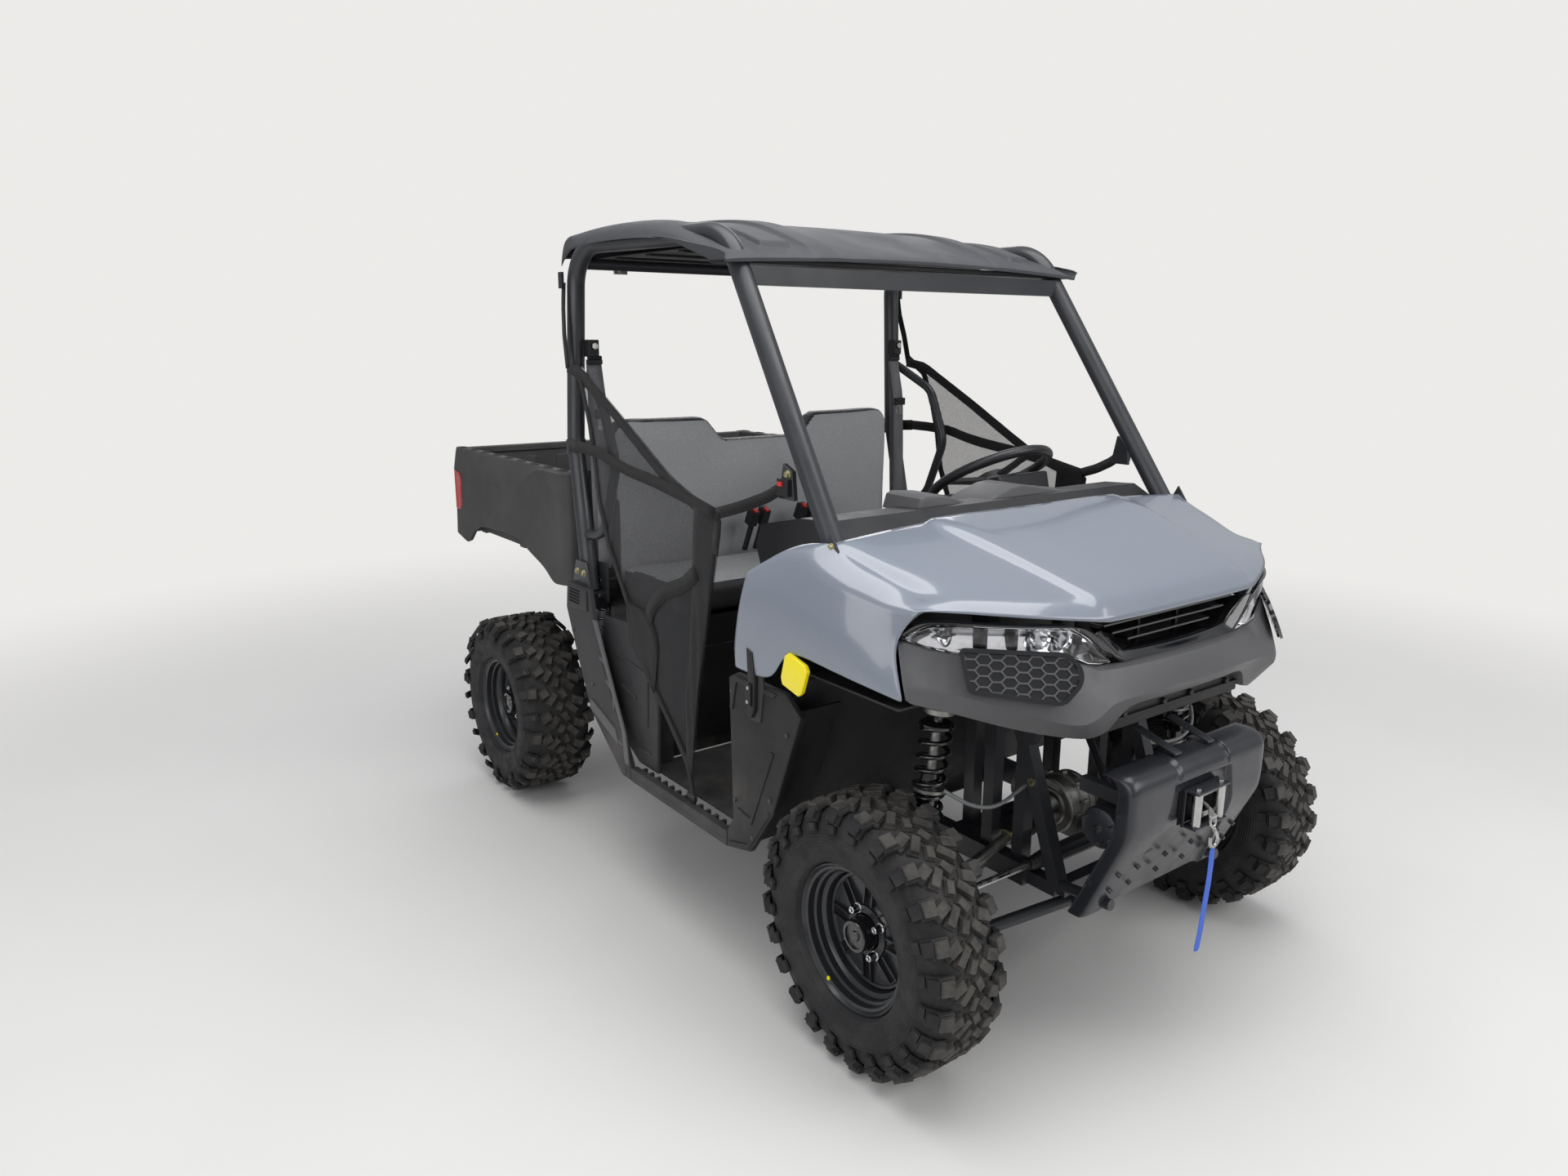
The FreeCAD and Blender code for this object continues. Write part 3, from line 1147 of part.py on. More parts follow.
def hood():
    """One piece hood and fenders, open below, trimmed by plan and side outlines."""
    wall = number(d.hood_wall)
    nose, back = number(d.hood_nose_x), number(d.hood_back_x)
    half, top, low = number(d.hood_half), number(d.hood_top), number(d.hood_low)
    length, height = nose - back, top - low
    shell = hood_shell(0).cut(hood_shell(wall))
    cab_shares = [(-0.1, 0.93), (0.11, 0.97), (0.305, 0.905), (0.355, 0.845), (0.385, 0.6),
                  (0.387, 0.36), (0.4, 0.25), (0.4, 0)]
    cab = [Vector(back + length * a, half * b, 0) for a, b in cab_shares]
    cab = cab + [Vector(p.x, -p.y, 0) for p in reversed(cab[:-1])]
    cab_tool = prism(cab, up * (top * 2))
    arch_shares = [(-0.1, -0.3), (-0.1, 0), (0.028, 0), (0.169, 0.02), (0.274, 0.064),
                   (0.295, 0.28), (0.469, 0.255), (0.638, 0.222), (0.795, 0.188), (1.2, 0.16),
                   (1.2, -0.3)]
    arch = [Vector(back + length * a, -half * 2, low + height * b) for a, b in arch_shares]
    arch_tool = prism(arch, Vector(0, half * 4, 0))
    corner_shares = [(1, 0.386), (0.797, 0.912), (0.795, 1.2), (1.2, 1.2), (1.2, 0.386)]
    corner = [Vector(back + length * a, half * b, low) for a, b in corner_shares]
    corner_tool = prism(corner, up * height * 2)
    tail_shares = [(-0.1, -0.3), (0.028, -0.3), (0.028, 0), (0.01, 0.25), (0.02, 0.5),
                   (0.103, 0.672), (0.3, 0.95), (0.3, 1.3), (-0.1, 1.3)]
    tail = [Vector(back + length * a, -half * 2, low + height * b) for a, b in tail_shares]
    tail_tool = prism(tail, Vector(0, half * 4, 0))
    foot, head = hoop_line(1)[:2]
    pillar = bar(foot - (head - foot) * 0.2, head, d.cage_radius + d.running_gap)
    shell = shell.cut([both_sides(pillar), lofted(fascia_rings(-number(d.running_gap)))])
    shell = shell.cut([cab_tool, arch_tool, corner_tool,
                       corner_tool.mirror(Vector(), Vector(0, 1, 0)), tail_tool])
    skin = max(shell.Solids, key=lambda s: s.Volume)
    lug, pin = number(d.hood_lug), number(d.hood_pin)
    axis = point(d.hood_hinge_x, 0, d.hood_hinge_z)
    lug_y = number(d.hinge_post_y) - number(d.leg_size) / 2 - lug - number(d.pin_gap)
    tip = Part.makeCylinder(pin * 2, lug, Vector(axis.x, lug_y, axis.z), Vector(0, 1, 0))
    arm = prism([Vector(axis.x - pin * 2, lug_y, axis.z),
                 Vector(number(d.hood_arm_x) - pin * 4, lug_y, number(d.hood_arm_z)),
                 Vector(number(d.hood_arm_x) + pin, lug_y, number(d.hood_arm_z)),
                 Vector(axis.x + pin * 1.4, lug_y, axis.z)],
                Vector(0, lug, 0)).common(hood_shell(0))
    hole = Part.makeCylinder(pin + number(d.seat_gap), lug * 3,
                             Vector(axis.x, lug_y - lug, axis.z), Vector(0, 1, 0))
    return keep(feature("hood", skin.fuse(both_sides(tip.fuse(arm).cut(hole)))))


def fascia_rings(grow):
    """Plan outlines of the front cover from its top edge down to its chin."""
    nose, back = number(d.fascia_nose_x), number(d.fascia_back_x)
    half, top, low = number(d.fascia_half), number(d.fascia_top), number(d.fascia_low)
    length, height = nose - back, top - low
    level_shares = [
        (1, ((0.8, 0), (0.78, 0.41), (0.72, 0.48), (0.16, 0.93), (0, 0.965))),
        (0.72, ((0.88, 0), (0.8, 0.41), (0.76, 0.48), (0.22, 0.95), (0.2, 1))),
        (0.69, ((0.94, 0), (0.83, 0.41), (0.78, 0.48), (0.23, 0.95), (0.22, 1))),
        (0.5, ((1, 0), (0.965, 0.41), (0.93, 0.46), (0.3, 0.93), (0.22, 1))),
        (0.2, ((0.92, 0), (0.92, 0.44), (0.88, 0.5), (0.35, 0.9), (0.25, 0.96))),
        (0, ((0.86, 0), (0.86, 0.43), (0.84, 0.48), (0.35, 0.88), (0.28, 0.94))),
    ]
    sections = []
    for level, plan in level_shares:
        z = low + height * level
        if grow and level in (0, 1):
            z += (level - 0.5) * (number(d.overrun) if grow > 0 else -grow * 2)
        right = [Vector(back + length * a - grow, half * b - (grow if b else 0), z)
                 for a, b in plan]
        if grow:
            reach = number(d.overrun) if grow > 0 else -grow
            right.append(Vector(back - reach, right[-1].y, z))
        left = [Vector(p.x, -p.y, p.z) for p in right[1:]]
        sections.append(left[::-1] + right)
    return sections


def fascia():
    """Front cover: a shell with openings for lamps and grilles."""
    outer = lofted(fascia_rings(0))
    inner = lofted(fascia_rings(number(d.fascia_wall)))
    shell = outer.cut(inner)
    post, leg = point(d.hinge_post_x, d.hinge_post_y, d.hinge_post_z), number(d.leg_size)
    start = Vector(post.x + leg / 2 + number(d.seat_gap), post.y - leg / 3, post.z - leg * 1.3)
    rib = Part.makeBox(number(d.fascia_nose_x) - start.x, leg / 1.5, leg / 1.5, start)
    shell = shell.fuse(both_sides(rib).common(outer))
    half, low = number(d.fascia_half), number(d.fascia_low)
    height, front = number(d.fascia_top) - low, number(d.fascia_nose_x)
    wall, deep = number(d.fascia_wall), front - number(d.chin_wall_x)
    chin = [Vector(start.x - half, half * a, low + height * b) for a, b in chin_shares]
    under = prism(chin, Vector(half * 2, 0, 0))
    tray = Part.makeBox(deep + wall * 2, half * 0.72, height * 0.47,
                        Vector(front - deep - wall, -half * 0.36, low))
    room = Part.makeBox(deep + wall * 2, half * 0.72 - wall * 2, height * 0.47 - wall,
                        Vector(front - deep, -half * 0.36 + wall, low))
    shell = shell.fuse(tray.common(outer)).cut([room, under])
    return outer, inner, max(shell.Solids, key=lambda s: s.Volume)


chin_shares = [(-1.3, -0.2), (-1.3, 0.58), (-1, 0.58), (-0.43, 0.225), (0.43, 0.225), (1, 0.58),
               (1.3, 0.58), (1.3, -0.2)]


fascia_outer, fascia_inner, fascia_shell = fascia()


def lamp_space(shares, depth=1):
    """A space through the front cover, from an outline in shares of its half width."""
    half, top, low = number(d.fascia_half), number(d.fascia_top), number(d.fascia_low)
    height = top - low
    start = number(d.fascia_back_x) - number(d.overrun)
    corners = [Vector(start, half * a, low + height * b) for a, b in shares]
    return prism(corners, Vector(number(d.fascia_nose_x) + number(d.overrun) - start, 0, 0))


headlight_shares = [(0.455, 0.965), (0.96, 0.985), (0.975, 0.92), (0.8, 0.87), (0.56, 0.84),
                    (0.36, 0.71)]
hex_panel_shares = [(0.42, 0.66), (0.5, 0.76), (0.84, 0.8), (0.9, 0.72), (0.86, 0.52),
                    (0.55, 0.46)]
upper_grille_shares = [(-0.43, 1.1), (0.43, 1.1), (0.43, 0.94), (0.33, 0.79), (0.26, 0.75),
                       (-0.26, 0.75), (-0.33, 0.79), (-0.43, 0.94)]


def grille_slots():
    """Level slots that leave the upper grille's slats standing."""
    half, height = number(d.fascia_half), number(d.fascia_top) - number(d.fascia_low)
    slots = []
    for level in range(slat_count):
        pitch = height * 0.2 / slat_count
        low = number(d.fascia_low) + height * 0.78 + level * pitch
        for side in (-1, 1):
            y = half * 0.02 if side > 0 else -half * 0.25
            slots.append(Part.makeBox(half, half * 0.23, pitch * 0.55,
                                      Vector(number(d.grille_rear), y, low)))
    return slots


slat_count = 5


def front_end():
    """Cuts the cover and fills its openings with lamps and grilles."""
    gap = number(d.seat_gap)
    wall = number(d.fascia_wall)
    spaces = {"headlights": [headlight_shares], "front_grilles": [hex_panel_shares]}
    tools = {name: lamp_space(shares[0]) for name, shares in spaces.items()}
    upper = lamp_space(upper_grille_shares)
    cut_all = []
    for tool in tools.values():
        cut_all += [tool, tool.mirror(Vector(), Vector(0, 1, 0))]
    cover = fascia_shell.cut(cut_all + [upper])
    keep(feature("fascia", max(cover.Solids, key=lambda s: s.Volume)))
    fills = {}
    for name, tool in tools.items():
        fill = fascia_shell.common(tool.makeOffsetShape(-gap, gap / 3))
        fills[name] = [s for s in fill.Solids]
    recess = fascia_shell.translated(Vector(-number(d.grille_recess), 0, 0)).cut(grille_slots())
    behind = Part.makeBox(number(d.fascia_nose_x), number(d.fascia_half) * 2,
                          number(d.fascia_top) * 2,
                          Vector(number(d.grille_rear), -number(d.fascia_half), 0))
    opening = upper.makeOffsetShape(-gap, gap / 3)
    back = Vector(-number(d.grille_recess), 0, 0)
    duct = opening.cut(upper.makeOffsetShape(-gap - wall / 2, gap / 3)).common(fascia_outer)
    duct = duct.cut(fascia_inner.translated(back))
    grille = recess.common(opening).fuse(duct).common(behind)
    lamps = [max(fills["headlights"], key=lambda s: s.Volume)]
    lamps.append(lamps[0].mirror(Vector(), Vector(0, 1, 0)))
    keep(feature("headlights", Part.makeCompound(lamps)))
    grilles = [max(fills["front_grilles"], key=lambda s: s.Volume)]
    grilles.append(grilles[0].mirror(Vector(), Vector(0, 1, 0)))
    grilles.append(max(grille.Solids, key=lambda s: s.Volume))
    keep(feature("front_grilles", Part.makeCompound(grilles)))


front_end()


def bumper():
    """Pressed winch plate, its winch, the hook and the pull strap."""
    x, half = number(d.plate_x), number(d.plate_half)
    top, low, sheet = number(d.plate_top), number(d.plate_low), number(d.plate_sheet)
    wing = number(d.plate_wing)
    height = top - low
    face_shares = [(-0.075, 1.0), (0, 0.93), (0.0, 0.62), (-0.29, 0)]
    outer = [Vector(x + height * a, 0, low + height * b) for a, b in face_shares]
    inner = [p + Vector(-sheet * 1.3, 0, 0) for p in outer]
    plate = prism([p - Vector(0, half, 0) for p in outer + inner[::-1]], Vector(0, half * 2, 0))
    side = [outer[0], outer[1], outer[2], outer[3],
            outer[3] + Vector(-wing, 0, 0), outer[2] + Vector(-wing, 0, 0),
            outer[0] + Vector(-wing * 0.6, 0, -wing * 0.2)]
    flanges = [prism([p + Vector(0, y, 0) for p in side], Vector(0, sheet, 0))
               for y in (-half - sheet, half)]
    winch_z = low + height * 0.62
    mouth = Part.makeBox(wing * 2, half * 0.62, height * 0.2,
                         Vector(x - wing, -half * 0.31, winch_z - height * 0.1))
    arm_y = number(d.front_leg_spread) / 2
    leg = number(d.leg_size)
    arms = []
    for sgn in (-1, 1):
        arms.append(beam(point(d.front_leg_x, 0, d.front_leg_z) + Vector(0, sgn * arm_y, 0),
                         Vector(x - height * 0.2, sgn * arm_y, low + height * 0.1), leg * 0.7,
                         leg * 0.9))
    seat = leg + number(d.seat_gap) * 2
    legs = both_sides(beam(Vector(front_x + number(d.post_gap), arm_y, number(d.front_leg_top)),
                           point(d.front_leg_x, arm_y, d.front_leg_z), seat, seat,
                           Vector(0, 1, 0)))
    behind = Part.makeBox(leg * 4, half * 2, height, Vector(
        number(d.front_leg_x) - leg * 3.5, -half, low - height / 2))
    whole = plate.multiFuse(flanges + arms).cut([mouth, legs, behind])
    keep(feature("bumper_plate", max(whole.Solids, key=lambda s: s.Volume)))
    drum_r = height * 0.11
    back = x - drum_r * 2.2
    drum = Part.makeCylinder(drum_r, half * 1.1, Vector(back, -half * 0.55, winch_z),
                             Vector(0, 1, 0))
    motor = Part.makeCylinder(drum_r * 1.2, half * 0.45, Vector(back, -half, winch_z),
                              Vector(0, 1, 0))
    feet = Part.makeBox(drum_r * 2, half * 1.6, drum_r,
                        Vector(back - drum_r, -half * 0.8, winch_z - drum_r * 2))
    frame_low, frame_high = winch_z - height * 0.085, winch_z + height * 0.085
    rollers = []
    roller_x = x + drum_r * 0.35
    for sgn in (-1, 1):
        rollers.append(Part.makeCylinder(drum_r * 0.3, frame_high - frame_low,
                                         Vector(roller_x, sgn * half * 0.17, frame_low)))
    ties = [beam(Vector(roller_x, -half * 0.24, z), Vector(roller_x, half * 0.24, z),
                 drum_r * 0.6, drum_r * 0.22, Vector(1, 0, 0)) for z in (frame_low, frame_high)]
    cable = bar(Vector(back, 0, winch_z + drum_r * 0.5), Vector(roller_x, 0, winch_z),
                drum_r * 0.1)
    winch = drum.multiFuse([motor, feet, cable])
    fairlead = rollers[0].multiFuse([rollers[1]] + ties + [
        beam(Vector(back, s * half * 0.24, z), Vector(roller_x, s * half * 0.24, z),
             drum_r * 0.2, drum_r * 0.2) for s in (-1, 1) for z in (frame_low, frame_high)])
    whole = winch.fuse(fairlead)
    nose = number(d.overall_length) / 2
    ring_r = drum_r * 0.32
    thick = ring_r * 0.4
    ring_x = nose - thick
    ring_z = winch_z - height * 0.13
    link = bar(Vector(roller_x, 0, winch_z), Vector(ring_x, 0, ring_z + ring_r), drum_r * 0.1)
    hook = Part.makeTorus(ring_r, thick, Vector(ring_x, 0, ring_z), Vector(1, 0, 0))
    keep(feature("winch", whole.fuse(link).fuse(hook)))
    strap_w, strap_t = number(d.strap_width), number(d.strap_sheet)
    strap_top = ring_z - ring_r + thick - number(d.seat_gap)
    strap = Part.makeBox(strap_t, strap_w, height * 0.7,
                         Vector(ring_x - strap_t / 2, -strap_w / 2,
                                ring_z - ring_r - thick - number(d.seat_gap) - height * 0.7))
    keep(feature("pull_strap", strap))


bumper()


rail_slot_shares = (0.12, 0.29, 0.46, 0.63, 0.8)


def cargo_box():
    """Open box with thick walls, hinge lugs below and tail lamps in its rear corners."""
    front, rear = number(d.bed_front), -number(d.overall_length) / 2
    gate = number(d.gate_thickness)
    half, top, floor_z = number(d.bed_half), number(d.bed_top), number(d.bed_floor)
    wall, sheet = number(d.bed_wall), number(d.bed_sheet)
    low = number(d.bed_low)
    length, height = front - rear, top - low
    side_shares = [(0, 1), (1, 1), (0.975, 0), (0.89, 0), (0.835, 0.09), (0.58, 0.3), (0.28, 0.26),
                   (0.19, 0.2), (0.11, 0.02), (0, 0.08)]
    corners = [Vector(rear + length * a, half - wall, low + height * b) for a, b in side_shares]
    sides = both_sides(prism(corners, Vector(0, wall, 0)))
    tub_half = half - wall + sheet
    tub = Part.makeBox(length, tub_half * 2, top - floor_z + sheet,
                       Vector(rear, -tub_half, floor_z - sheet))
    front_wall = Part.makeBox(wall, half * 2, top - floor_z + sheet,
                              Vector(front - wall, -half, floor_z - sheet))
    room = Part.makeBox(length, (half - wall) * 2, top,
                        Vector(rear - wall, -half + wall, floor_z))
    shell = tub.multiFuse([sides, front_wall]).cut(room)
    gate_room = Part.makeBox(gate + number(d.running_gap), (half - wall) * 2, top,
                             Vector(rear, -half + wall, floor_z - sheet * 9))
    hinge = point(bed_hinge_x, bed_rail_y, d.bed_hinge_z)
    lug_y = hinge.y + number(d.leg_size) / 2 + number(d.foot_plate) + number(d.running_gap)
    r = number(d.bed_lug)
    pin = number(d.hinge_radius) + number(d.seat_gap)
    lugs = []
    for sgn in (-1, 1):
        y = lug_y if sgn > 0 else -lug_y - number(d.foot_plate)
        plate = Part.makeBox(r * 2, number(d.foot_plate), floor_z - sheet - hinge.z,
                             Vector(hinge.x - r, y, hinge.z))
        eye = Part.makeCylinder(r, number(d.foot_plate), Vector(hinge.x, y, hinge.z),
                                Vector(0, 1, 0))
        hole = Part.makeCylinder(pin, number(d.foot_plate) * 3,
                                 Vector(hinge.x, y - number(d.foot_plate), hinge.z),
                                 Vector(0, 1, 0))
        lugs.append(plate.fuse(eye).cut(hole))
    slots = []
    for share in rail_slot_shares:
        slot = Part.makeBox(length * 0.06, wall * 0.35, wall * 0.3,
                            Vector(rear + length * share, half - wall * 0.68, top - wall * 0.3))
        slots.append(both_sides(slot))
    box_shape = shell.cut([gate_room] + slots).multiFuse(lugs)
    lamp_low, lamp_top = number(d.lamp_low), number(d.lamp_top)
    depth, along_x = number(d.lamp_depth), number(d.lamp_length)
    gap = number(d.seat_gap)
    lamp = Part.makeBox(along_x, depth, lamp_top - lamp_low,
                        Vector(rear, half - depth, lamp_low))
    lamps = both_sides(lamp)
    room = both_sides(Part.makeBox(along_x + gap, depth + gap, lamp_top - lamp_low + gap * 2,
                                   Vector(rear, half - depth - gap, lamp_low - gap)))
    axis = Vector(rear + gate / 2, 0, floor_z - number(d.gate_hinge_drop))
    pin_length = number(d.gate_pin_length)
    pins = both_sides(Part.makeCylinder(number(d.gate_pin), pin_length + sheet,
                                        axis + Vector(0, half - wall - pin_length, 0),
                                        Vector(0, 1, 0)))
    box_shape = box_shape.cut(room).fuse(pins)
    keep(feature("cargo_box", max(box_shape.Solids, key=lambda s: s.Volume)))
    keep(feature("tail_lamps", lamps))


def tailgate():
    """Gate between the box walls, its hinge barrel along the bottom bored for the pins."""
    rear = -number(d.overall_length) / 2
    gate, gap = number(d.gate_thickness), number(d.running_gap)
    half = number(d.bed_half - d.bed_wall) - gap
    floor_z, top = number(d.bed_floor), number(d.bed_top)
    axis = Vector(rear + gate / 2, 0, floor_z - number(d.gate_hinge_drop))
    barrel_r = number(d.gate_barrel)
    low = axis.z + barrel_r / 2
    corners = [Vector(rear, -half, low), Vector(rear + gate, -half, low),
               Vector(rear + gate, -half, top), Vector(rear, -half, top)]
    panel_shape = prism(corners, Vector(0, half * 2, 0))
    barrel = bar(axis - Vector(0, half, 0), axis + Vector(0, half, 0), barrel_r)
    bore_depth = number(d.gate_pin_length) + gap
    bores = both_sides(Part.makeCylinder(number(d.gate_pin) + number(d.seat_gap), bore_depth,
                                         axis + Vector(0, half - bore_depth + gap, 0),
                                         Vector(0, 1, 0)))
    keep(feature("tailgate", panel_shape.fuse(barrel).cut(bores)))


hood()
cargo_box()
tailgate()


def side_nets():
    """Side nets as thin sheets, each with its upper and its front strap."""
    y, t = number(d.net_y), number(d.net_sheet)
    top, low = number(d.net_top), number(d.floor_top) + number(d.seat_gap)
    front, rear = number(d.net_front), number(d.net_rear)
    length, height = front - rear, top - low
    edge_shares = [(0, 1), (1, 0.7), (0.95, 0), (0.9, 0), (0.8, 0.08), (0.48, 0.42), (0.02, 0.785)]
    corners = [Vector(rear + length * a, y, low + height * b) for a, b in edge_shares]
    sheet = prism(corners, Vector(0, t, 0))
    width = number(d.belt_width)
    pillar = pillar_at(d.net_top - d.net_drop)
    share = (d.cage_rear_z - d.net_hook_z) / (d.cage_rear_z - d.cage_mid_z)
    hook_y = d.cage_rear_y + (d.cage_mid_y - d.cage_rear_y) * share
    hook = point(d.cage_rear_x, hook_y + d.cage_radius + d.net_sheet, d.net_hook_z)
    straps = [
        beam(corners[0] + Vector(width / 4, t / 2, -width / 2), hook,
             width / 2, t, Vector(1, 0, 0)),
        beam(corners[1] + Vector(-width / 4, t / 2, -width / 3),
             pillar + Vector(-number(d.cage_radius), number(d.cage_radius), 0),
             width / 2, t, Vector(0, 0, 1)),
    ]
    whole = sheet.multiFuse(straps)
    return keep(feature("side_nets", both_sides(whole)))


def seat_belts():
    """Shoulder belts from the upper rings down to the reels, and the buckle stalks."""
    width, t = number(d.belt_width), number(d.belt_sheet)
    back_half = number(d.seat_half)
    inner = back_half + t
    x = number(d.seat_frame_x) - number(d.leg_size) / 4
    reel_z = number(d.seat_frame_z) + number(d.leg_size) / 2 + number(d.seat_gap)
    reel = Part.makeBox(width, width * 0.85, width * 1.2, Vector(x - width / 2, inner, reel_z))
    ring_z = number(d.belt_ring_z)
    ring_x = number(d.cage_rear_x) + number(d.cage_radius) + number(d.seat_gap) + t
    strap = beam(Vector(x, inner + width * 0.42, reel_z + width),
                 Vector(ring_x + t, inner + width * 0.42, ring_z), width * 0.8, t)
    ring_plate = Part.makeBox(t * 2, width * 0.8, width * 1.3,
                              Vector(ring_x - t, inner, ring_z - width * 0.4))
    side = reel.multiFuse([strap, ring_plate])
    stalk_x = number(d.seat_rear + d.back_thickness + d.seat_gap)
    stalk_z = number(d.seat_top) + number(d.seat_gap)
    stalk = Part.makeBox(t * 4, width * 0.6, width * 2.2,
                         Vector(stalk_x, width * 1.6, stalk_z))
    pieces = [side, side.mirror(Vector(), Vector(0, 1, 0)), stalk,
              stalk.mirror(Vector(), Vector(0, 1, 0))]
    return keep(feature("seat_belts", Part.makeCompound(pieces)))


def cab_controls():
    """Hung brake and throttle pedals, and the selector lever at the dash."""
    leg = number(d.leg_size)
    wall_x = number(d.wall_x) - number(d.seat_gap)
    low = number(d.floor_top)
    height = number(d.wall_top) - low
    pedals = []
    for share, pad_width in ((0.94, 2.2), (0.68, 1.4)):
        y = number(d.wheel_y) * share
        pad = Vector(number(d.toe_x), y, low + height * 0.2)
        head = Vector(wall_x - leg * 1.4, y, low + height * 0.62)
        pedals.append(beam(pad - up * leg * 0.8, pad + up * leg * 0.8, leg * pad_width, leg / 3)
                      .multiFuse([beam(pad, head, leg / 2, leg / 3),
                                  Part.makeBox(leg * 1.4, leg / 2, leg,
                                               Vector(wall_x - leg * 1.4, y - leg / 4,
                                                      head.z - leg / 2))]))
    return keep(feature("cab_controls", Part.makeCompound(pedals)))


hose_route = [Vector(1021, 217, 560), Vector(1030, 262, 556), Vector(1042, 312, 551),
              Vector(1046, 360, 553), Vector(1040, 406, 566), Vector(1023, 440, 586),
              Vector(1001, 462, 604)]


def cord_tube(label, spots, radius):
    """A free hose: straight runs joined by the largest tangent arcs they allow."""
    bends = []
    for before, corner, after in zip(spots, spots[1:], spots[2:]):
        a, b = before - corner, after - corner
        turned = math.pi - a.getAngle(b)
        bends.append(0.45 * min(a.Length, b.Length) / math.tan(turned / 2))
    shape = tube(spots, bends, radius)
    print(label, "bend radii", [round(bend) for bend in bends], "length",
          round(path(spots, bends).Length))
    return keep(feature(label, shape))


side_nets()
seat_belts()
cab_controls()
cord_tube("brake_hose_left", hose_route, d.hose_radius)
cord_tube("brake_hose_right", [Vector(p.x, -p.y, p.z) for p in hose_route], d.hose_radius)

doc.recompute()
faults = [thing.Name for thing in doc.Objects
          if "Invalid" in thing.State or "Error" in thing.State]
if faults:
    raise SystemExit(f"failed objects: {faults}")
os.makedirs("parts", exist_ok=True)
for node in nodes:
    shape = node.Shape
    if shape.isNull() or not shape.isValid() or not shape.Solids:
        raise SystemExit(f"bad shape: {node.Label}")
for node in nodes:
    node.Shape.exportStep(f"parts/{node.Label}.step")
print(len(nodes), "sub-parts")
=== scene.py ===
import itertools
import json
import math
import random

import bmesh
import bpy
from mathutils import Matrix, Vector


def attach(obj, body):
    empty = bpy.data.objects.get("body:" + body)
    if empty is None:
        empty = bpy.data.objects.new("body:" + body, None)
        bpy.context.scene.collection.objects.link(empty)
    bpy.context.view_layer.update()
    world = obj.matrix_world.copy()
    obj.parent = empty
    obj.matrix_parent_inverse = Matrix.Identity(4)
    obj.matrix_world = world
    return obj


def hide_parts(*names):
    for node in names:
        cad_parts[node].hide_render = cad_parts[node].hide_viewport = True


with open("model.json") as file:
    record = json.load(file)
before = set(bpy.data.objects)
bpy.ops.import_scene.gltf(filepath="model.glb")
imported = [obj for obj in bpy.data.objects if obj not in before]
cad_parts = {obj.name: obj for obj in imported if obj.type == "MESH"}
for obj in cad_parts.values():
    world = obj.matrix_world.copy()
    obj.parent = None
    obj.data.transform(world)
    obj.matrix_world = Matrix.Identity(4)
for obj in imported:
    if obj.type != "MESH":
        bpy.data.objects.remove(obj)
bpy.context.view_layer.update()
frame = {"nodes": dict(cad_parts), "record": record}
nodes = frame["nodes"]
print("frame loaded", len(nodes), "nodes")


# finishes
def paint(red, green, blue):  # 0 to 255 as read off a screen, to Blender's linear values
    shares = (c / 255 for c in (red, green, blue))
    return tuple(s / 12.92 if s < 11 / 255 else ((s + 0.055) / 1.055) ** 2.4 for s in shares) + (1.0,)


def toned(colour, times, plus=0.0):  # the same colour made lighter or darker
    return tuple(min(1.0, c * times + plus) for c in colour[:3]) + (1.0,)


class Wire:  # a node's output that plain arithmetic can be done with
    def __init__(self, finish, socket):
        self.finish, self.socket = finish, socket

    def sums(self, how, first, second=0.0):
        return self.finish.make("ShaderNodeMath", {"operation": how}, {0: first, 1: second})

    def __add__(self, other): return self.sums("ADD", self, other)
    def __radd__(self, other): return self.sums("ADD", other, self)
    def __sub__(self, other): return self.sums("SUBTRACT", self, other)
    def __rsub__(self, other): return self.sums("SUBTRACT", other, self)
    def __mul__(self, other): return self.sums("MULTIPLY", self, other)
    def __rmul__(self, other): return self.sums("MULTIPLY", other, self)
    def __pow__(self, other): return self.sums("POWER", self, other)
    def __lt__(self, other): return self.sums("LESS_THAN", self, other)
    def __abs__(self): return self.sums("ABSOLUTE", self)
    def sine(self): return self.sums("SINE", self)
    def atMost(self, other): return self.sums("MINIMUM", self, other)

    def pick(self, name):  # another output of the same node
        return Wire(self.finish, self.socket.node.outputs[name])


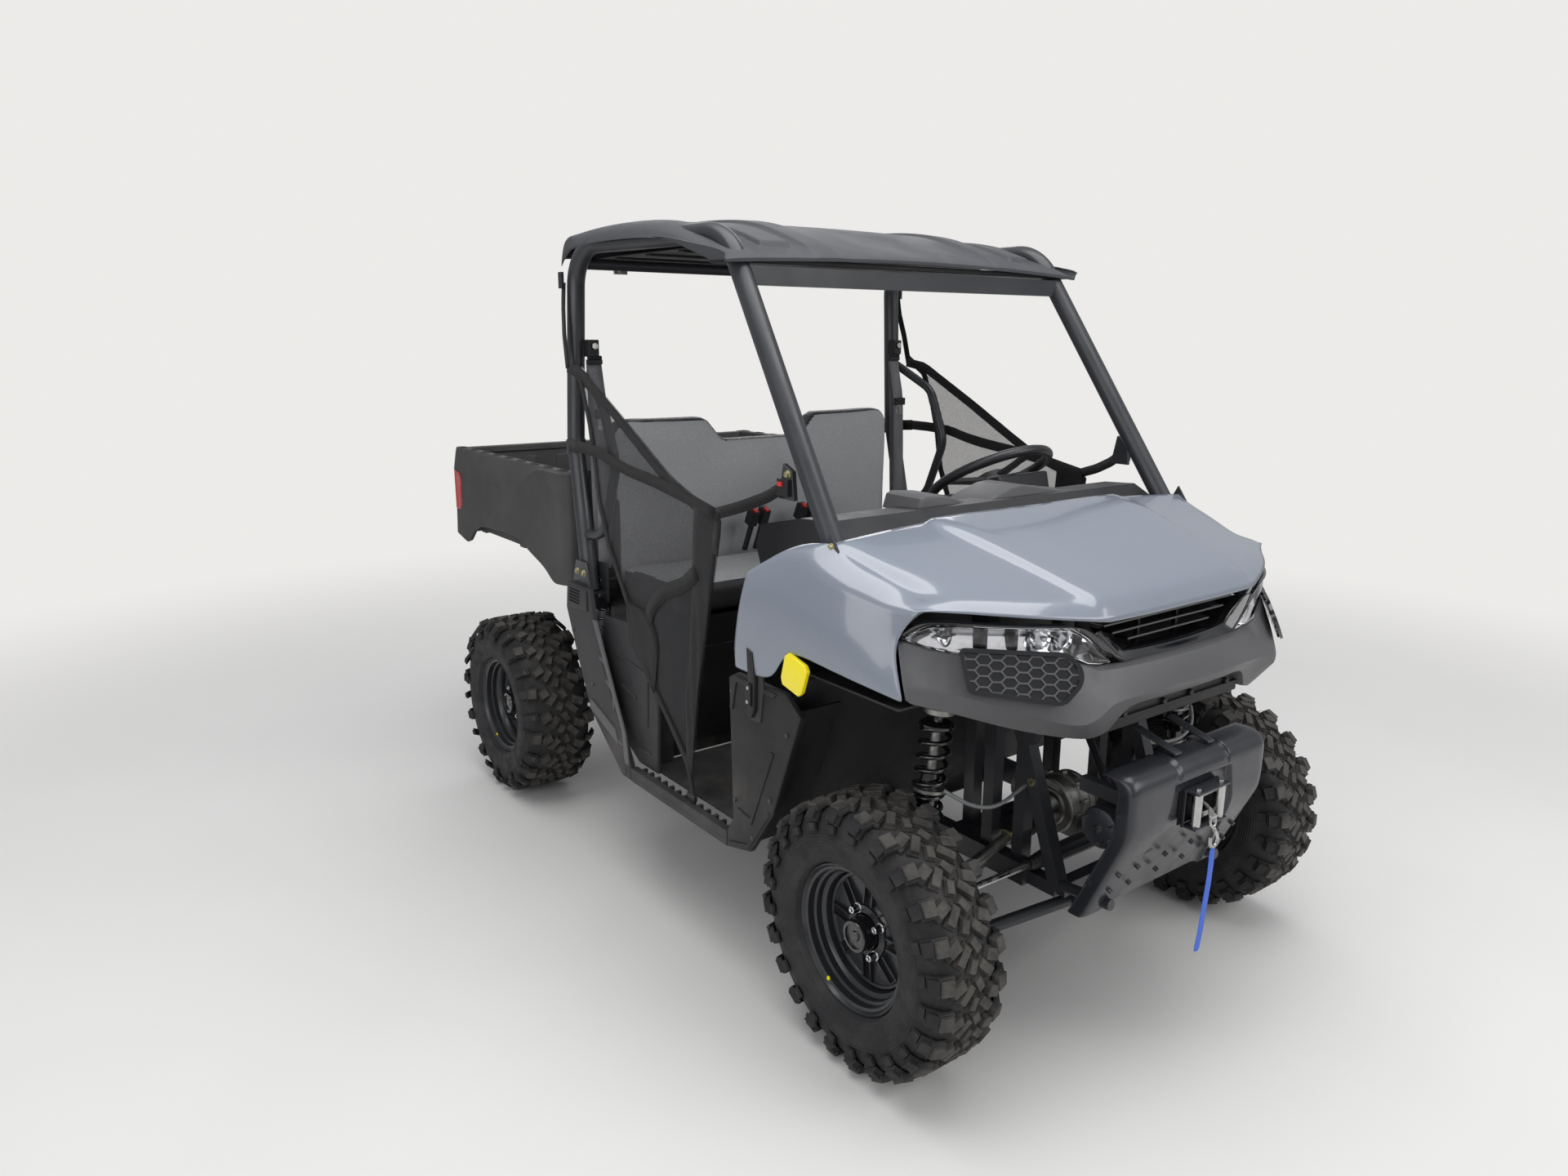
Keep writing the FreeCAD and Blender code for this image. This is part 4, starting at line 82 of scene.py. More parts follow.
class Finish:
    def __init__(self, name, colour, rough, fixed=()):
        self.material = bpy.data.materials.new(name)
        self.material.use_nodes = True
        self.tree = self.material.node_tree
        self.shader = self.tree.nodes["Principled BSDF"]
        self.shader.inputs["Base Color"].default_value = colour
        self.shader.inputs["Roughness"].default_value = rough
        for socket, value in dict(fixed).items():
            self.shader.inputs[socket].default_value = value
        self.colour = colour
        self.place = self.make("ShaderNodeTexCoord", {}, {}).pick("Object")

    def make(self, kind, settings, values):
        node = self.tree.nodes.new(kind)
        for key, value in settings.items():
            setattr(node, key, value)
        for key, value in values.items():
            if isinstance(value, Wire):
                self.tree.links.new(value.socket, node.inputs[key])
            else:
                node.inputs[key].default_value = value
        return Wire(self, node.outputs[0])

    def axis(self, name):
        return self.make("ShaderNodeSeparateXYZ", {}, {0: self.place}).pick(name)

    def noise(self, scale, detail=2.0, rough=0.5, place=None):
        return self.make("ShaderNodeTexNoise", {}, {
            "Vector": place or self.place, "Scale": scale, "Detail": detail, "Roughness": rough})

    def cells(self, scale, feature="F1"):
        return self.make("ShaderNodeTexVoronoi", {"feature": feature}, {"Vector": self.place, "Scale": scale})

    def ramp(self, wire, low, high, start=0.0, end=1.0):
        return self.make("ShaderNodeMapRange", {"interpolation_type": "SMOOTHSTEP"}, {
            "Value": wire, "From Min": low, "From Max": high, "To Min": start, "To Max": end})

    def feed(self, socket, wire):
        self.tree.links.new(wire.socket, self.shader.inputs[socket])

    def tint(self, share, other):  # towards another colour where share is high
        node = self.make("ShaderNodeMix", {"data_type": "RGBA"},
                         {0: share, 6: self.colour, 7: other}).socket.node
        base = self.shader.inputs["Base Color"]
        if base.links:
            self.tree.links.new(base.links[0].from_socket, node.inputs[6])
        self.tree.links.new(node.outputs[2], base)

    def cloud(self, colour, scale, detail, low, high, amount, rough=0.5):  # patches of another colour
        self.tint(self.ramp(self.noise(scale, detail, rough), low, high, 0.0, amount), colour)

    def wear(self, scale, detail, low, high, least, most):  # a roughness that changes over the surface
        self.feed("Roughness", self.ramp(self.noise(scale, detail), low, high, least, most))

    def relief(self, height, depth, strength=1.0):  # depth in metres
        bump = self.make("ShaderNodeBump", {}, {"Height": height, "Distance": depth, "Strength": strength})
        normal = self.shader.inputs["Normal"]
        if normal.links:
            self.tree.links.new(normal.links[0].from_socket, bump.socket.node.inputs["Normal"])
        self.feed("Normal", bump)


def bodyPaint():
    f = Finish("bodyPaint", paint(124, 131, 143), 0.22, {"Coat Weight": 0.7, "Coat Roughness": 0.06,
        "Specular IOR Level": 0.5})
    f.cloud(paint(146, 152, 161), 1.7, 1.0, 0.3, 0.75, 0.22)
    f.cloud(paint(172, 178, 188), 900.0, 0.0, 0.62, 0.8, 0.12)  # fine flake
    f.wear(3.0, 0.0, 0.2, 0.9, 0.2, 0.24)
    f.relief(f.noise(90.0, 0.0), 0.0002, 0.05)  # orange peel
    return f.material


def moulded(name, colour, rough, grain=1.0, dust=0.25, gloss=0.4):  # textured plastic off a mould
    f = Finish(name, colour, rough, {"Specular IOR Level": gloss})
    lift = toned(colour, 1.7, 0.012)
    f.cloud(lift, 5.0, 5.0, 0.4, 0.75, dust, 0.6)
    f.cloud(lift, 420.0, 1.0, 0.55, 0.8, 0.3)
    low = f.ramp(f.axis("Z"), 0.25, 0.75, 1.0, 0.0) * f.ramp(f.noise(9.0, 6.0, 0.65), 0.42, 0.8)
    f.tint(low * 0.35, paint(120, 112, 100))  # dust near the ground
    f.wear(7.0, 4.0, 0.25, 0.8, rough - 0.07, rough + 0.12)
    f.relief(f.cells(620.0), 0.0012 * grain, 0.35)
    return f.material


def powderCoat(name, colour, rough):
    f = Finish(name, colour, rough, {"Coat Weight": 0.15, "Coat Roughness": 0.2})
    lift = toned(colour, 1.6, 0.01)
    f.cloud(lift, 6.0, 4.0, 0.4, 0.8, 0.35)
    f.wear(11.0, 4.0, 0.3, 0.8, rough - 0.06, rough + 0.14)
    f.relief(f.noise(30.0, 2.0), 0.0002, 0.05)
    return f.material


def glossBlack():
    f = Finish("glossBlack", paint(18, 18, 20), 0.12, {"Coat Weight": 0.8, "Coat Roughness": 0.04})
    f.cloud(paint(46, 46, 50), 8.0, 4.0, 0.45, 0.8, 0.25)
    f.wear(20.0, 4.0, 0.3, 0.8, 0.08, 0.26)
    return f.material


def metal(name, colour, rough, cast=0.0, brushed=0.0):
    f = Finish(name, colour, rough, {"Metallic": 1.0})
    f.cloud(toned(colour, 0.55), 24.0, 5.0, 0.45, 0.8, 0.6, 0.6)
    f.wear(40.0, 4.0, 0.3, 0.8, max(0.05, rough - 0.1), rough + 0.18)
    if cast:
        f.relief(f.noise(170.0, 3.0), 0.0015 * cast, 0.6)
    if brushed:
        lines = f.make("ShaderNodeMapping", {}, {0: f.place, 3: (40.0, 40.0, 900.0)})
        f.relief(f.noise(1.0, 2.0, 0.5, lines), 0.0004 * brushed, 0.3)
    return f.material


def tyreRubber():
    f = Finish("tyreRubber", paint(34, 34, 36), 0.72, {"Specular IOR Level": 0.35})
    x, z = f.axis("X"), f.axis("Z")
    along = abs(x - axles["front"]).atMost(abs(x - axles["rear"]))
    radius = (along * along + (z - wheelHeight) ** 2.0) ** 0.5
    f.cloud(paint(58, 57, 57), 16.0, 5.0, 0.4, 0.75, 0.5, 0.6)
    worn = f.ramp(radius, 0.286, 0.302) * f.ramp(f.noise(30.0, 6.0, 0.7), 0.3, 0.62, 0.25, 1.0)
    f.tint(worn * 0.55, paint(96, 92, 86))  # floor dust on the lug tops
    f.cloud(paint(84, 81, 77), 190.0, 3.0, 0.6, 0.8, 0.25)
    f.wear(22.0, 4.0, 0.3, 0.8, 0.55, 0.86)
    side = f.ramp(radius, 0.232, 0.238, 1.0, 0.0) * f.ramp(radius, 0.186, 0.19)
    f.relief(((radius * 900.0).sine() * side) + f.noise(300.0, 3.0) * 0.6, 0.0012, 0.5)
    return f.material


def vinyl(name="seatVinyl", colour=paint(164, 165, 167)):
    f = Finish(name, colour, 0.44, {"Specular IOR Level": 0.55, "Coat Weight": 0.08, "Coat Roughness": 0.35})
    f.cloud(toned(colour, 1.5), 150.0, 5.0, 0.42, 0.7, 0.45, 0.75)  # mottled sheen
    f.cloud(toned(colour, 0.6), 4.0, 3.0, 0.45, 0.8, 0.3)
    f.wear(90.0, 3.0, 0.3, 0.7, 0.34, 0.58)
    f.relief(f.cells(330.0, "DISTANCE_TO_EDGE"), 0.0022, 0.55)
    f.relief(f.noise(38.0, 3.0), 0.0018, 0.35)
    return f.material


def woven(name, colour, pitch=0.0028, lighter=1.8):  # flat webbing
    f = Finish(name, colour, 0.82, {"Specular IOR Level": 0.3, "Sheen Weight": 0.1, "Sheen Roughness": 0.4})
    x, y, z = f.axis("X"), f.axis("Y"), f.axis("Z")
    warp = ((x + z * 0.4) * (math.tau / pitch)).sine()
    weft = ((z + y * 0.7 - x * 0.4) * (math.tau / pitch)).sine()
    lift = toned(colour, lighter, 0.01)
    weave = warp * weft
    f.tint(f.ramp(weave, -0.2, 0.9, 0.0, 0.5), lift)
    f.cloud(lift, 26.0, 4.0, 0.4, 0.8, 0.4)
    f.relief(weave, 0.0008, 0.7)
    return f.material


def netting():  # woven mesh with open diamond holes
    f = Finish("netMesh", paint(18, 18, 20), 0.7, {"Specular IOR Level": 0.4, "Sheen Weight": 0.1})
    x, z = f.axis("X"), f.axis("Z")
    wobble = f.noise(9.0, 2.0) * 0.004
    first = ((x * 0.86 + z * 0.5 + wobble) * (math.tau / 0.0085)).sine()
    second = ((z * 0.86 - x * 0.5 + wobble) * (math.tau / 0.0065)).sine()
    thread = abs(first).atMost(abs(second))
    f.feed("Alpha", thread < 0.6)
    f.tint(f.ramp(thread, 0.0, 0.4, 0.0, 0.45), paint(70, 70, 74))
    f.relief(thread, -0.001, 0.6)
    return f.material


def lens(name, colour, rough, through):
    f = Finish(name, colour, rough, {"Transmission Weight": through, "IOR": 1.45, "Specular IOR Level": 0.6})
    f.cloud(toned(colour, 0.8), 12.0, 3.0, 0.5, 0.8, 0.12)
    f.relief(f.noise(30.0, 1.0), 0.0004, 0.1)
    return f.material


def reflector(name, colour):
    f = Finish(name, colour, 0.16, {"Coat Weight": 0.6, "Coat Roughness": 0.05})
    f.tint(f.ramp(f.cells(360.0), 0.1, 0.6, 0.0, 0.35), toned(colour, 1.25))
    f.relief(f.cells(360.0), 0.001, 0.4)
    return f.material


def cable():
    f = Finish("hoseSheath", paint(126, 127, 128), 0.45, {"Metallic": 0.35})
    x, y, z = f.axis("X"), f.axis("Y"), f.axis("Z")
    braid = ((x + y) * 2600.0).sine() * ((y - z) * 2600.0).sine()
    f.tint(f.ramp(braid, -0.3, 0.8, 0.0, 0.7), paint(172, 173, 174))
    f.relief(braid, 0.0005, 0.6)
    return f.material


def floorFinish():
    f = Finish("paleFloor", paint(222, 221, 219), 0.6)
    x, y = f.axis("X"), f.axis("Y")
    away = (x * x + y * y) ** 0.5
    glow = f.make("ShaderNodeEmission", {}, {"Color": paint(236, 235, 233), "Strength": 1.0})
    f.cloud(paint(214, 213, 211), 1.3, 3.0, 0.3, 0.7, 0.3)
    seen = f.make("ShaderNodeLightPath", {}, {})
    share = f.ramp(away, 1.9, 5.4) * seen.pick("Is Camera Ray")
    out = f.tree.nodes["Material Output"]
    mixed = f.make("ShaderNodeMixShader", {}, {0: share, 1: Wire(f, f.shader.outputs[0]), 2: glow})
    f.tree.links.new(mixed.socket, out.inputs["Surface"])
    return f.material


axles = {"front": 0.957, "rear": -0.897}
wheelHeight = 0.305
finishes = {
    "tyre_rubber": tyreRubber(),
    "wheel_black": powderCoat("wheelSatin", paint(34, 35, 38), 0.32),
    "frame_black": powderCoat("frameCoat", paint(44, 45, 49), 0.38),
    "body_colour": bodyPaint(),
    "plastic_black": moulded("mouldedBlack", paint(48, 48, 50), 0.5),
    "grille_black": glossBlack(),
    "lamp_clear": lens("lampClear", paint(250, 250, 252), 0.03, 1.0),
    "lamp_red": reflector("lampRed", paint(176, 26, 34)),
    "seat_vinyl": vinyl(),
    "seat_edge": vinyl("seatEdge", paint(34, 34, 36)),
    "webbing": woven("webbingBlack", paint(22, 22, 24), 0.0028, 1.6),
    "belt": woven("beltGrey", paint(120, 120, 124), 0.0022, 1.5),
    "strap_blue": woven("strapBlue", paint(78, 116, 222), 0.002, 1.4),
    "bare_steel": metal("bareSteel", paint(190, 190, 188), 0.28, brushed=1.0),
    "cast_metal": metal("castAlloy", paint(160, 159, 155), 0.46, cast=1.0),
    "hose": cable(),
    "cover_plastic": moulded("coverGrained", paint(80, 80, 82), 0.4, 0.7, 0.25, 0.55),
    "roof_plastic": moulded("roofGrained", paint(66, 67, 71), 0.5, 1.2, 0.3),
    "bed_plastic": moulded("bedGrained", paint(62, 61, 61), 0.58, 1.1, 0.35),
    "dark_liner": moulded("linerBlack", paint(28, 28, 30), 0.45, 0.8, 0.2),
    "dash_gloss": moulded("dashBlack", paint(34, 34, 37), 0.34, 0.6, 0.2, 0.5),
    "net_mesh": netting(),
    "chrome": metal("lampChrome", paint(225, 226, 228), 0.08),
    "zinc": metal("zincBolt", paint(196, 190, 150), 0.34),
    "yellow_reflector": reflector("yellowReflector", paint(252, 226, 0)),
    "red_button": reflector("redButton", paint(206, 36, 34)),
    "plate_black": powderCoat("plateCoat", paint(40, 41, 46), 0.3),
    # near-black finish that paints the shade inside holes, hollows, slots and openings
    "void_black": moulded("voidBlack", paint(9, 9, 10), 0.75, 0.3, 0.1, 0.2),
    "rope": woven("winchRope", paint(150, 150, 148), 0.0016, 1.3),
}
print("finishes made", len(finishes))


# camera, lights and floor
view = {"place": (2.5094, -2.0231, 1.5639), "turn": 143.263, "tilt": -13.384, "roll": 0.291, "lens": 24.415}
turn, tilt, roll = (math.radians(view[k]) for k in ("turn", "tilt", "roll"))
ahead = Vector((math.cos(tilt) * math.cos(turn), math.cos(tilt) * math.sin(turn), math.sin(tilt)))
side = ahead.cross(Vector((0, 0, 1))).normalized()
above = side.cross(ahead)
right = side * math.cos(roll) + above * math.sin(roll)
upward = above * math.cos(roll) - side * math.sin(roll)
cameraData = bpy.data.cameras.new("studioCamera")
cameraData.lens, cameraData.sensor_width, cameraData.sensor_fit = view["lens"], 36.0, "HORIZONTAL"
camera = bpy.data.objects.new("studioCamera", cameraData)
bpy.context.collection.objects.link(camera)
facing = Matrix((right, upward, -ahead)).transposed().to_4x4()
camera.matrix_world = Matrix.Translation(view["place"]) @ facing
bpy.context.scene.camera = camera
bpy.context.scene.view_settings.view_transform = "Standard"

lamps = {
    "overhead": ((0.6, -0.4, 4.6), (0.1, 0, 0.6), 5.0, 3.2, 165),
    "frontWindow": ((4.6, 1.6, 3.0), (0.5, 0, 0.8), 3.2, 2.4, 75),
    "sideFill": ((1.8, -4.4, 2.2), (0, 0, 0.7), 4.0, 2.4, 55),
    "backEdge": ((-3.8, 2.6, 3.2), (-0.4, 0, 0.9), 3.0, 2.0, 32),
}
for name, (place, target, width, height, power) in lamps.items():
    data = bpy.data.lights.new(name, "AREA")
    data.shape, data.size, data.size_y, data.energy = "RECTANGLE", width, height, power
    lamp = bpy.data.objects.new(name, data)
    bpy.context.collection.objects.link(lamp)
    lamp.location = place
    lamp.rotation_euler = (Vector(target) - Vector(place)).to_track_quat("-Z", "Y").to_euler()

world = bpy.data.worlds.new("paleRoom")
world.use_nodes = True
bpy.context.scene.world = world
sky = world.node_tree
paths = sky.nodes.new("ShaderNodeLightPath")
lit, shown = sky.nodes["Background"], sky.nodes.new("ShaderNodeBackground")
lit.inputs[0].default_value, lit.inputs[1].default_value = paint(226, 228, 232), 0.5
shown.inputs[0].default_value, shown.inputs[1].default_value = paint(236, 235, 233), 1.0
either = sky.nodes.new("ShaderNodeMath")
either.operation = "MAXIMUM"
sky.links.new(paths.outputs["Is Camera Ray"], either.inputs[0])
sky.links.new(paths.outputs["Is Transmission Ray"], either.inputs[1])
blendSky = sky.nodes.new("ShaderNodeMixShader")
sky.links.new(either.outputs[0], blendSky.inputs[0])
sky.links.new(lit.outputs[0], blendSky.inputs[1])
sky.links.new(shown.outputs[0], blendSky.inputs[2])
sky.links.new(blendSky.outputs[0], sky.nodes["World Output"].inputs[0])


# making pieces
ownSlots = {m["slot"] for m in frame["record"]["materials"]}
standsFor = {  # the frame's slots, each with the finishes that belong to it
    "plastic_black": ("cover_plastic", "roof_plastic", "bed_plastic", "dark_liner", "dash_gloss"),
    "webbing": ("net_mesh", "rope", "belt"), "bare_steel": ("chrome", "zinc"),
    "seat_vinyl": ("seat_edge",), "frame_black": ("plate_black",),
}
nearSlot = {finish: slot for slot, group in standsFor.items() for finish in group}
softEdge = {"segments": 2, "sharperThan": math.radians(32)}


def vertsOf(geometry):
    return [g for g in geometry if isinstance(g, bmesh.types.BMVert)]


def everything(bm):
    return bm.verts[:] + bm.edges[:] + bm.faces[:]


def facesOut(bm):
    bmesh.ops.recalc_face_normals(bm, faces=bm.faces[:])


def spun(degrees, axis="Y", size=4):
    return Matrix.Rotation(math.radians(degrees), size, axis)


def settle(obj, body, finish, instead):  # onto its body, in place of a solid; the slot is looked up but not kept
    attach(obj, body)
    slot = finish if finish in ownSlots else nearSlot.get(finish)
    if instead:
        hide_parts(instead)
    return obj


def piece(name, bm, finish, body="chassis", instead=None, angle=40, bevel=None, levels=0, both=False,
          skin=0.0):
    if both:  # the same again on the other side
        copy = bmesh.ops.duplicate(bm, geom=everything(bm))["geom"]
        bmesh.ops.scale(bm, vec=(1, -1, 1), verts=vertsOf(copy))
        bmesh.ops.reverse_faces(bm, faces=[g for g in copy if isinstance(g, bmesh.types.BMFace)])
    mesh = bpy.data.meshes.new(name)
    bm.to_mesh(mesh)
    bm.free()
    obj = bpy.data.objects.new(name, mesh)
    bpy.context.collection.objects.link(obj)
    used = (finish,) if isinstance(finish, str) else finish
    for one in used:
        mesh.materials.append(finishes[one])
    if angle >= 180:
        mesh.shade_smooth()
    elif angle:
        mesh.set_sharp_from_angle(angle=math.radians(angle))
    for face in mesh.polygons:
        face.use_smooth = angle > 0
    if skin:
        wall = obj.modifiers.new("wall", "SOLIDIFY")
        wall.thickness, wall.offset = skin, -1.0
    if bevel:
        edge = obj.modifiers.new("edge", "BEVEL")
        edge.width, edge.segments = bevel, softEdge["segments"]
        edge.limit_method, edge.angle_limit = "ANGLE", softEdge["sharperThan"]
        edge.harden_normals = True
    if levels:
        soft = obj.modifiers.new("soft", "SUBSURF")
        soft.levels = soft.render_levels = levels
    return settle(obj, body, used[0], instead)


def rod(bm, first, second, radius, tip=None, sides=16):
    first, second = Vector(first), Vector(second)
    way = second - first
    place = Matrix.Translation((first + second) / 2) @ way.to_track_quat("Z", "Y").to_matrix().to_4x4()
    return bmesh.ops.create_cone(bm, cap_ends=True, segments=sides, radius1=radius,
                                 radius2=radius if tip is None else tip, depth=way.length,
                                 matrix=place)["verts"]


def block(bm, low, high, turned=None):
    low, high = Vector(low), Vector(high)
    size = high - low
    place = Matrix.Translation((low + high) / 2) @ (turned or Matrix()) @ Matrix.Diagonal((*size, 1))
    return bmesh.ops.create_cube(bm, size=1.0, matrix=place)["verts"]


def slab(bm, points, push, rim=0.0, cuts=2):  # a flat outline pushed out, its far edge rounded
    face = bm.faces.new([bm.verts.new(p) for p in points])
    top = vertsOf(bmesh.ops.extrude_face_region(bm, geom=[face])["geom"])
    bmesh.ops.translate(bm, verts=top, vec=push)
    bmesh.ops.recalc_face_normals(bm, faces=list({f for v in top for f in v.link_faces} | {face}))
    if rim:
        edges = list({e for v in top for e in v.link_edges if e.other_vert(v) in top})
        bmesh.ops.bevel(bm, geom=edges, offset=rim, segments=cuts, profile=0.5, affect="EDGES", material=-1)
    return top


def flank(bm, outline, y, thick, rim=0.0, cuts=2):  # a slab standing along the vehicle's side
    return slab(bm, [(x, y, z) for x, z in outline], (0, thick, 0), rim, cuts)


def cage(bm, lines, creases=()):  # a sheet pulled out edge by edge, one line of points after another
    line = [bm.verts.new(p) for p in lines[0]]
    edges = [bm.edges.new(pair) for pair in zip(line, line[1:])]
    grid = [line]
    for points in lines[1:]:
        made = bmesh.ops.extrude_edge_only(bm, edges=edges)["geom"]
        fresh = set(vertsOf(made))
        edges = [g for g in made if isinstance(g, bmesh.types.BMEdge) and all(v in fresh for v in g.verts)]
        line = [next(e.other_vert(v) for e in v.link_edges if e.other_vert(v) in fresh) for v in line]
        for v, p in zip(line, points):
            v.co = p
        grid.append(line)
    facesOut(bm)
    layer = bm.edges.layers.float.get("crease_edge") or bm.edges.layers.float.new("crease_edge")
    for kind, number, amount in creases:
        run = grid[number] if kind == "row" else [one[number] for one in grid]
        for pair in zip(run, run[1:]):
            edge = bm.edges.get(pair)
            if edge:
                edge[layer] = amount


def across(bm):  # mirrors a half over the vehicle's middle and joins it there
    bmesh.ops.mirror(bm, geom=everything(bm), matrix=Matrix(), merge_dist=0.0015, axis="Y")
    facesOut(bm)


def turned(bm, profile, centre, axis, steps=48):  # (out, along) pairs spun about an axis
    axis = Vector(axis).normalized()
    out = axis.orthogonal().normalized()
    line = [bm.verts.new(Vector(centre) + out * r + axis * a) for r, a in profile]
    edges = [bm.edges.new(pair) for pair in zip(line, line[1:])]
    bmesh.ops.spin(bm, geom=line + edges, cent=centre, axis=axis, angle=math.tau, steps=steps, use_merge=True)
    facesOut(bm)


def around(bm, made, centre, axis, count):  # copies of some geometry set round an axis
    for i in range(1, count):
        copy = bmesh.ops.duplicate(bm, geom=made)["geom"]
        bmesh.ops.rotate(bm, cent=centre, matrix=Matrix.Rotation(math.tau / count * i, 3, axis),
                         verts=vertsOf(copy))


def pipe(name, points, radius, finish, body="chassis", order=3, instead=None):
    data = bpy.data.curves.new(name, "CURVE")
    data.dimensions, data.bevel_depth, data.bevel_resolution, data.resolution_u = "3D", radius, 4, 10
    line = data.splines.new("NURBS")
    line.points.add(len(points) - 1)
    for spot, p in zip(line.points, points):
        spot.co = (*p, 1.0)
    line.order_u, line.use_endpoint_u = order, True
    data.use_fill_caps = True
    data.materials.append(finishes[finish])
    obj = bpy.data.objects.new(name, data)
    bpy.context.collection.objects.link(obj)
    return settle(obj, body, finish, instead)


floorMesh = bmesh.new()
bmesh.ops.create_grid(floorMesh, x_segments=8, y_segments=8, size=30.0)
floorData = bpy.data.meshes.new("paleFloor")
floorMesh.to_mesh(floorData)
floorMesh.free()
floorSheet = bpy.data.objects.new("paleFloor", floorData)
bpy.context.collection.objects.link(floorSheet)
floorData.materials.append(floorFinish())
print("camera, lights and floor set")

# brake hoses
hose = {"across": 0.009, "length": 0.272, "route": (
    (1.021, 0.217, 0.560), (1.030, 0.262, 0.556), (1.042, 0.312, 0.551), (1.046, 0.360, 0.553),
    (1.040, 0.406, 0.566), (1.023, 0.440, 0.586), (1.001, 0.462, 0.604))}
for label, way in (("left", 1), ("right", -1)):
    run = [(x, y * way, z) for x, y, z in hose["route"]]
    line = pipe("brakeHose_" + label, run, hose["across"] / 2, "hose", instead="brake_hose_" + label)


# the frame's own nodes keep their shape and take these finishes
special = {"roof": "roof_plastic", "cargo_box": "bed_plastic", "wheel_liners": "dark_liner",
           "dash": "dash_gloss",
           "bumper_plate": "plate_black", "tailgate": "bed_plastic", "front_side_panels": "dark_liner"}
for part in frame["record"]["subparts"]:
    obj = nodes[part["node"]]
    finish = finishes[special.get(part["node"], part["material_slot"])]
    for spot in obj.material_slots:
        spot.material = finish
    for face in obj.data.polygons:
        face.material_index = 0
print("finishes on the frame's nodes")

corner = {"draw": .042, "ahead": .86, "out": .40}


def tuck(point):  # draws the two front corners in and back
    x, y, z = point
    share = 1.0
    for amount in ((abs(y) - corner["out"]) / .24, (x - corner["ahead"]) / .18):
        amount = min(max(amount, 0.0), 1.0)
        share *= amount * amount * (3 - 2 * amount)
    pull = corner["draw"] * share
    return x - .714 * pull, y - math.copysign(.698 * pull, y), z - .26 * pull


# hood and fenders, one moulding: each line runs from the middle outwards and down the fender, nose first
hood = {
    "wall": 0.0045,
    "lines": (
        ((1.238, 0, .999), (1.240, .145, .999), (1.238, .250, 1.001), (1.230, .280, 1.005),
         (1.178, .426, 1.022), (1.124, .542, 1.038), (1.103, .597, 1.045), (1.094, .619, 1.047),
         (1.084, .634, 1.046), (1.039, .656, .988), (1.061, .668, .931), (1.088, .674, .873)),
        ((1.248, 0, 1.003), (1.250, .145, 1.003), (1.247, .262, 1.005), (1.240, .288, 1.008),
         (1.188, .432, 1.026), (1.134, .550, 1.042), (1.112, .605, 1.049), (1.103, .628, 1.052),
         (1.093, .646, 1.052), (1.044, .665, .990), (1.067, .676, .930), (1.094, .682, .870)),
        ((1.219, 0, 1.049), (1.219, .145, 1.050), (1.214, .262, 1.050), (1.204, .290, 1.043),
         (1.158, .432, 1.050), (1.104, .548, 1.062), (1.084, .605, 1.063), (1.074, .632, 1.061),
         (1.060, .652, 1.050), (1.016, .672, .996), (1.030, .685, .940), (1.052, .689, .875)),
        ((1.110, 0, 1.089), (1.110, .155, 1.091), (1.104, .282, 1.087), (1.096, .308, 1.077),
         (1.072, .432, 1.077), (1.046, .560, 1.076), (1.036, .590, 1.067), (1.020, .630, 1.067),
         (1.000, .660, 1.052), (.962, .684, .998), (.964, .694, .945), (.977, .697, .882)),
        ((.985, 0, 1.126), (.985, .165, 1.128), (.978, .306, 1.126), (.970, .332, 1.113), (.955, .440, 1.108),
         (.945, .573, 1.104), (.936, .602, 1.091), (.925, .632, 1.092), (.905, .670, 1.066),
         (.872, .692, 1.005), (.862, .700, .950), (.852, .701, .894)),
        ((.880, 0, 1.152), (.880, .170, 1.155), (.872, .325, 1.157), (.864, .350, 1.142), (.856, .445, 1.135),
         (.846, .584, 1.126), (.840, .612, 1.114), (.832, .636, 1.116), (.806, .677, 1.088),
         (.775, .697, 1.012), (.757, .703, .955), (.742, .702, .903)),
        ((.806, 0, 1.163), (.806, .173, 1.166), (.800, .330, 1.163), (.797, .352, 1.153), (.796, .450, 1.149),
         (.804, .584, 1.141), (.804, .622, 1.138), (.801, .630, 1.138), (.760, .672, 1.110),
         (.727, .696, 1.030), (.712, .703, .945), (.708, .702, .828)),
        ((.797, 0, 1.152), (.797, .173, 1.155), (.791, .330, 1.150), (.788, .352, 1.140), (.788, .450, 1.136),
         (.800, .584, 1.126), (.800, .622, 1.123), (.738, .634, 1.142), (.690, .672, 1.108),
         (.668, .697, 1.030), (.664, .703, .940), (.664, .702, .808)),
        ((.797, 0, 1.136), (.797, .173, 1.138), (.791, .330, 1.134), (.788, .352, 1.124), (.788, .450, 1.120),
         (.799, .584, 1.110), (.799, .622, 1.107), (.668, .646, 1.110), (.632, .680, 1.072),
         (.616, .698, 1.020), (.604, .703, .930), (.600, .701, .806)),
        ((.797, 0, 1.128), (.797, .173, 1.130), (.791, .330, 1.126), (.788, .352, 1.116), (.788, .450, 1.112),
         (.799, .584, 1.102), (.799, .622, 1.099), (.592, .672, 1.056), (.580, .688, 1.044),
         (.566, .698, .985), (.548, .700, .900), (.530, .696, .804)),
        ((.799, 0, 1.126), (.799, .173, 1.128), (.793, .330, 1.124), (.790, .352, 1.114), (.790, .450, 1.110),
         (.801, .584, 1.100), (.801, .622, 1.097), (.592, .662, 1.050), (.578, .680, 1.040),
         (.562, .688, .985), (.543, .689, .900), (.527, .684, .806))),
    "creases": (("col", 2, .75), ("col", 3, .6), ("col", 5, .8), ("col", 6, .55), ("col", 8, .55),
                ("row", 1, 1), ("row", 2, .35), ("row", 6, .8), ("row", 9, .9)),
}
bm = bmesh.new()
cage(bm, [[tuck(p) for p in line] for line in hood["lines"]], hood["creases"])
across(bm)
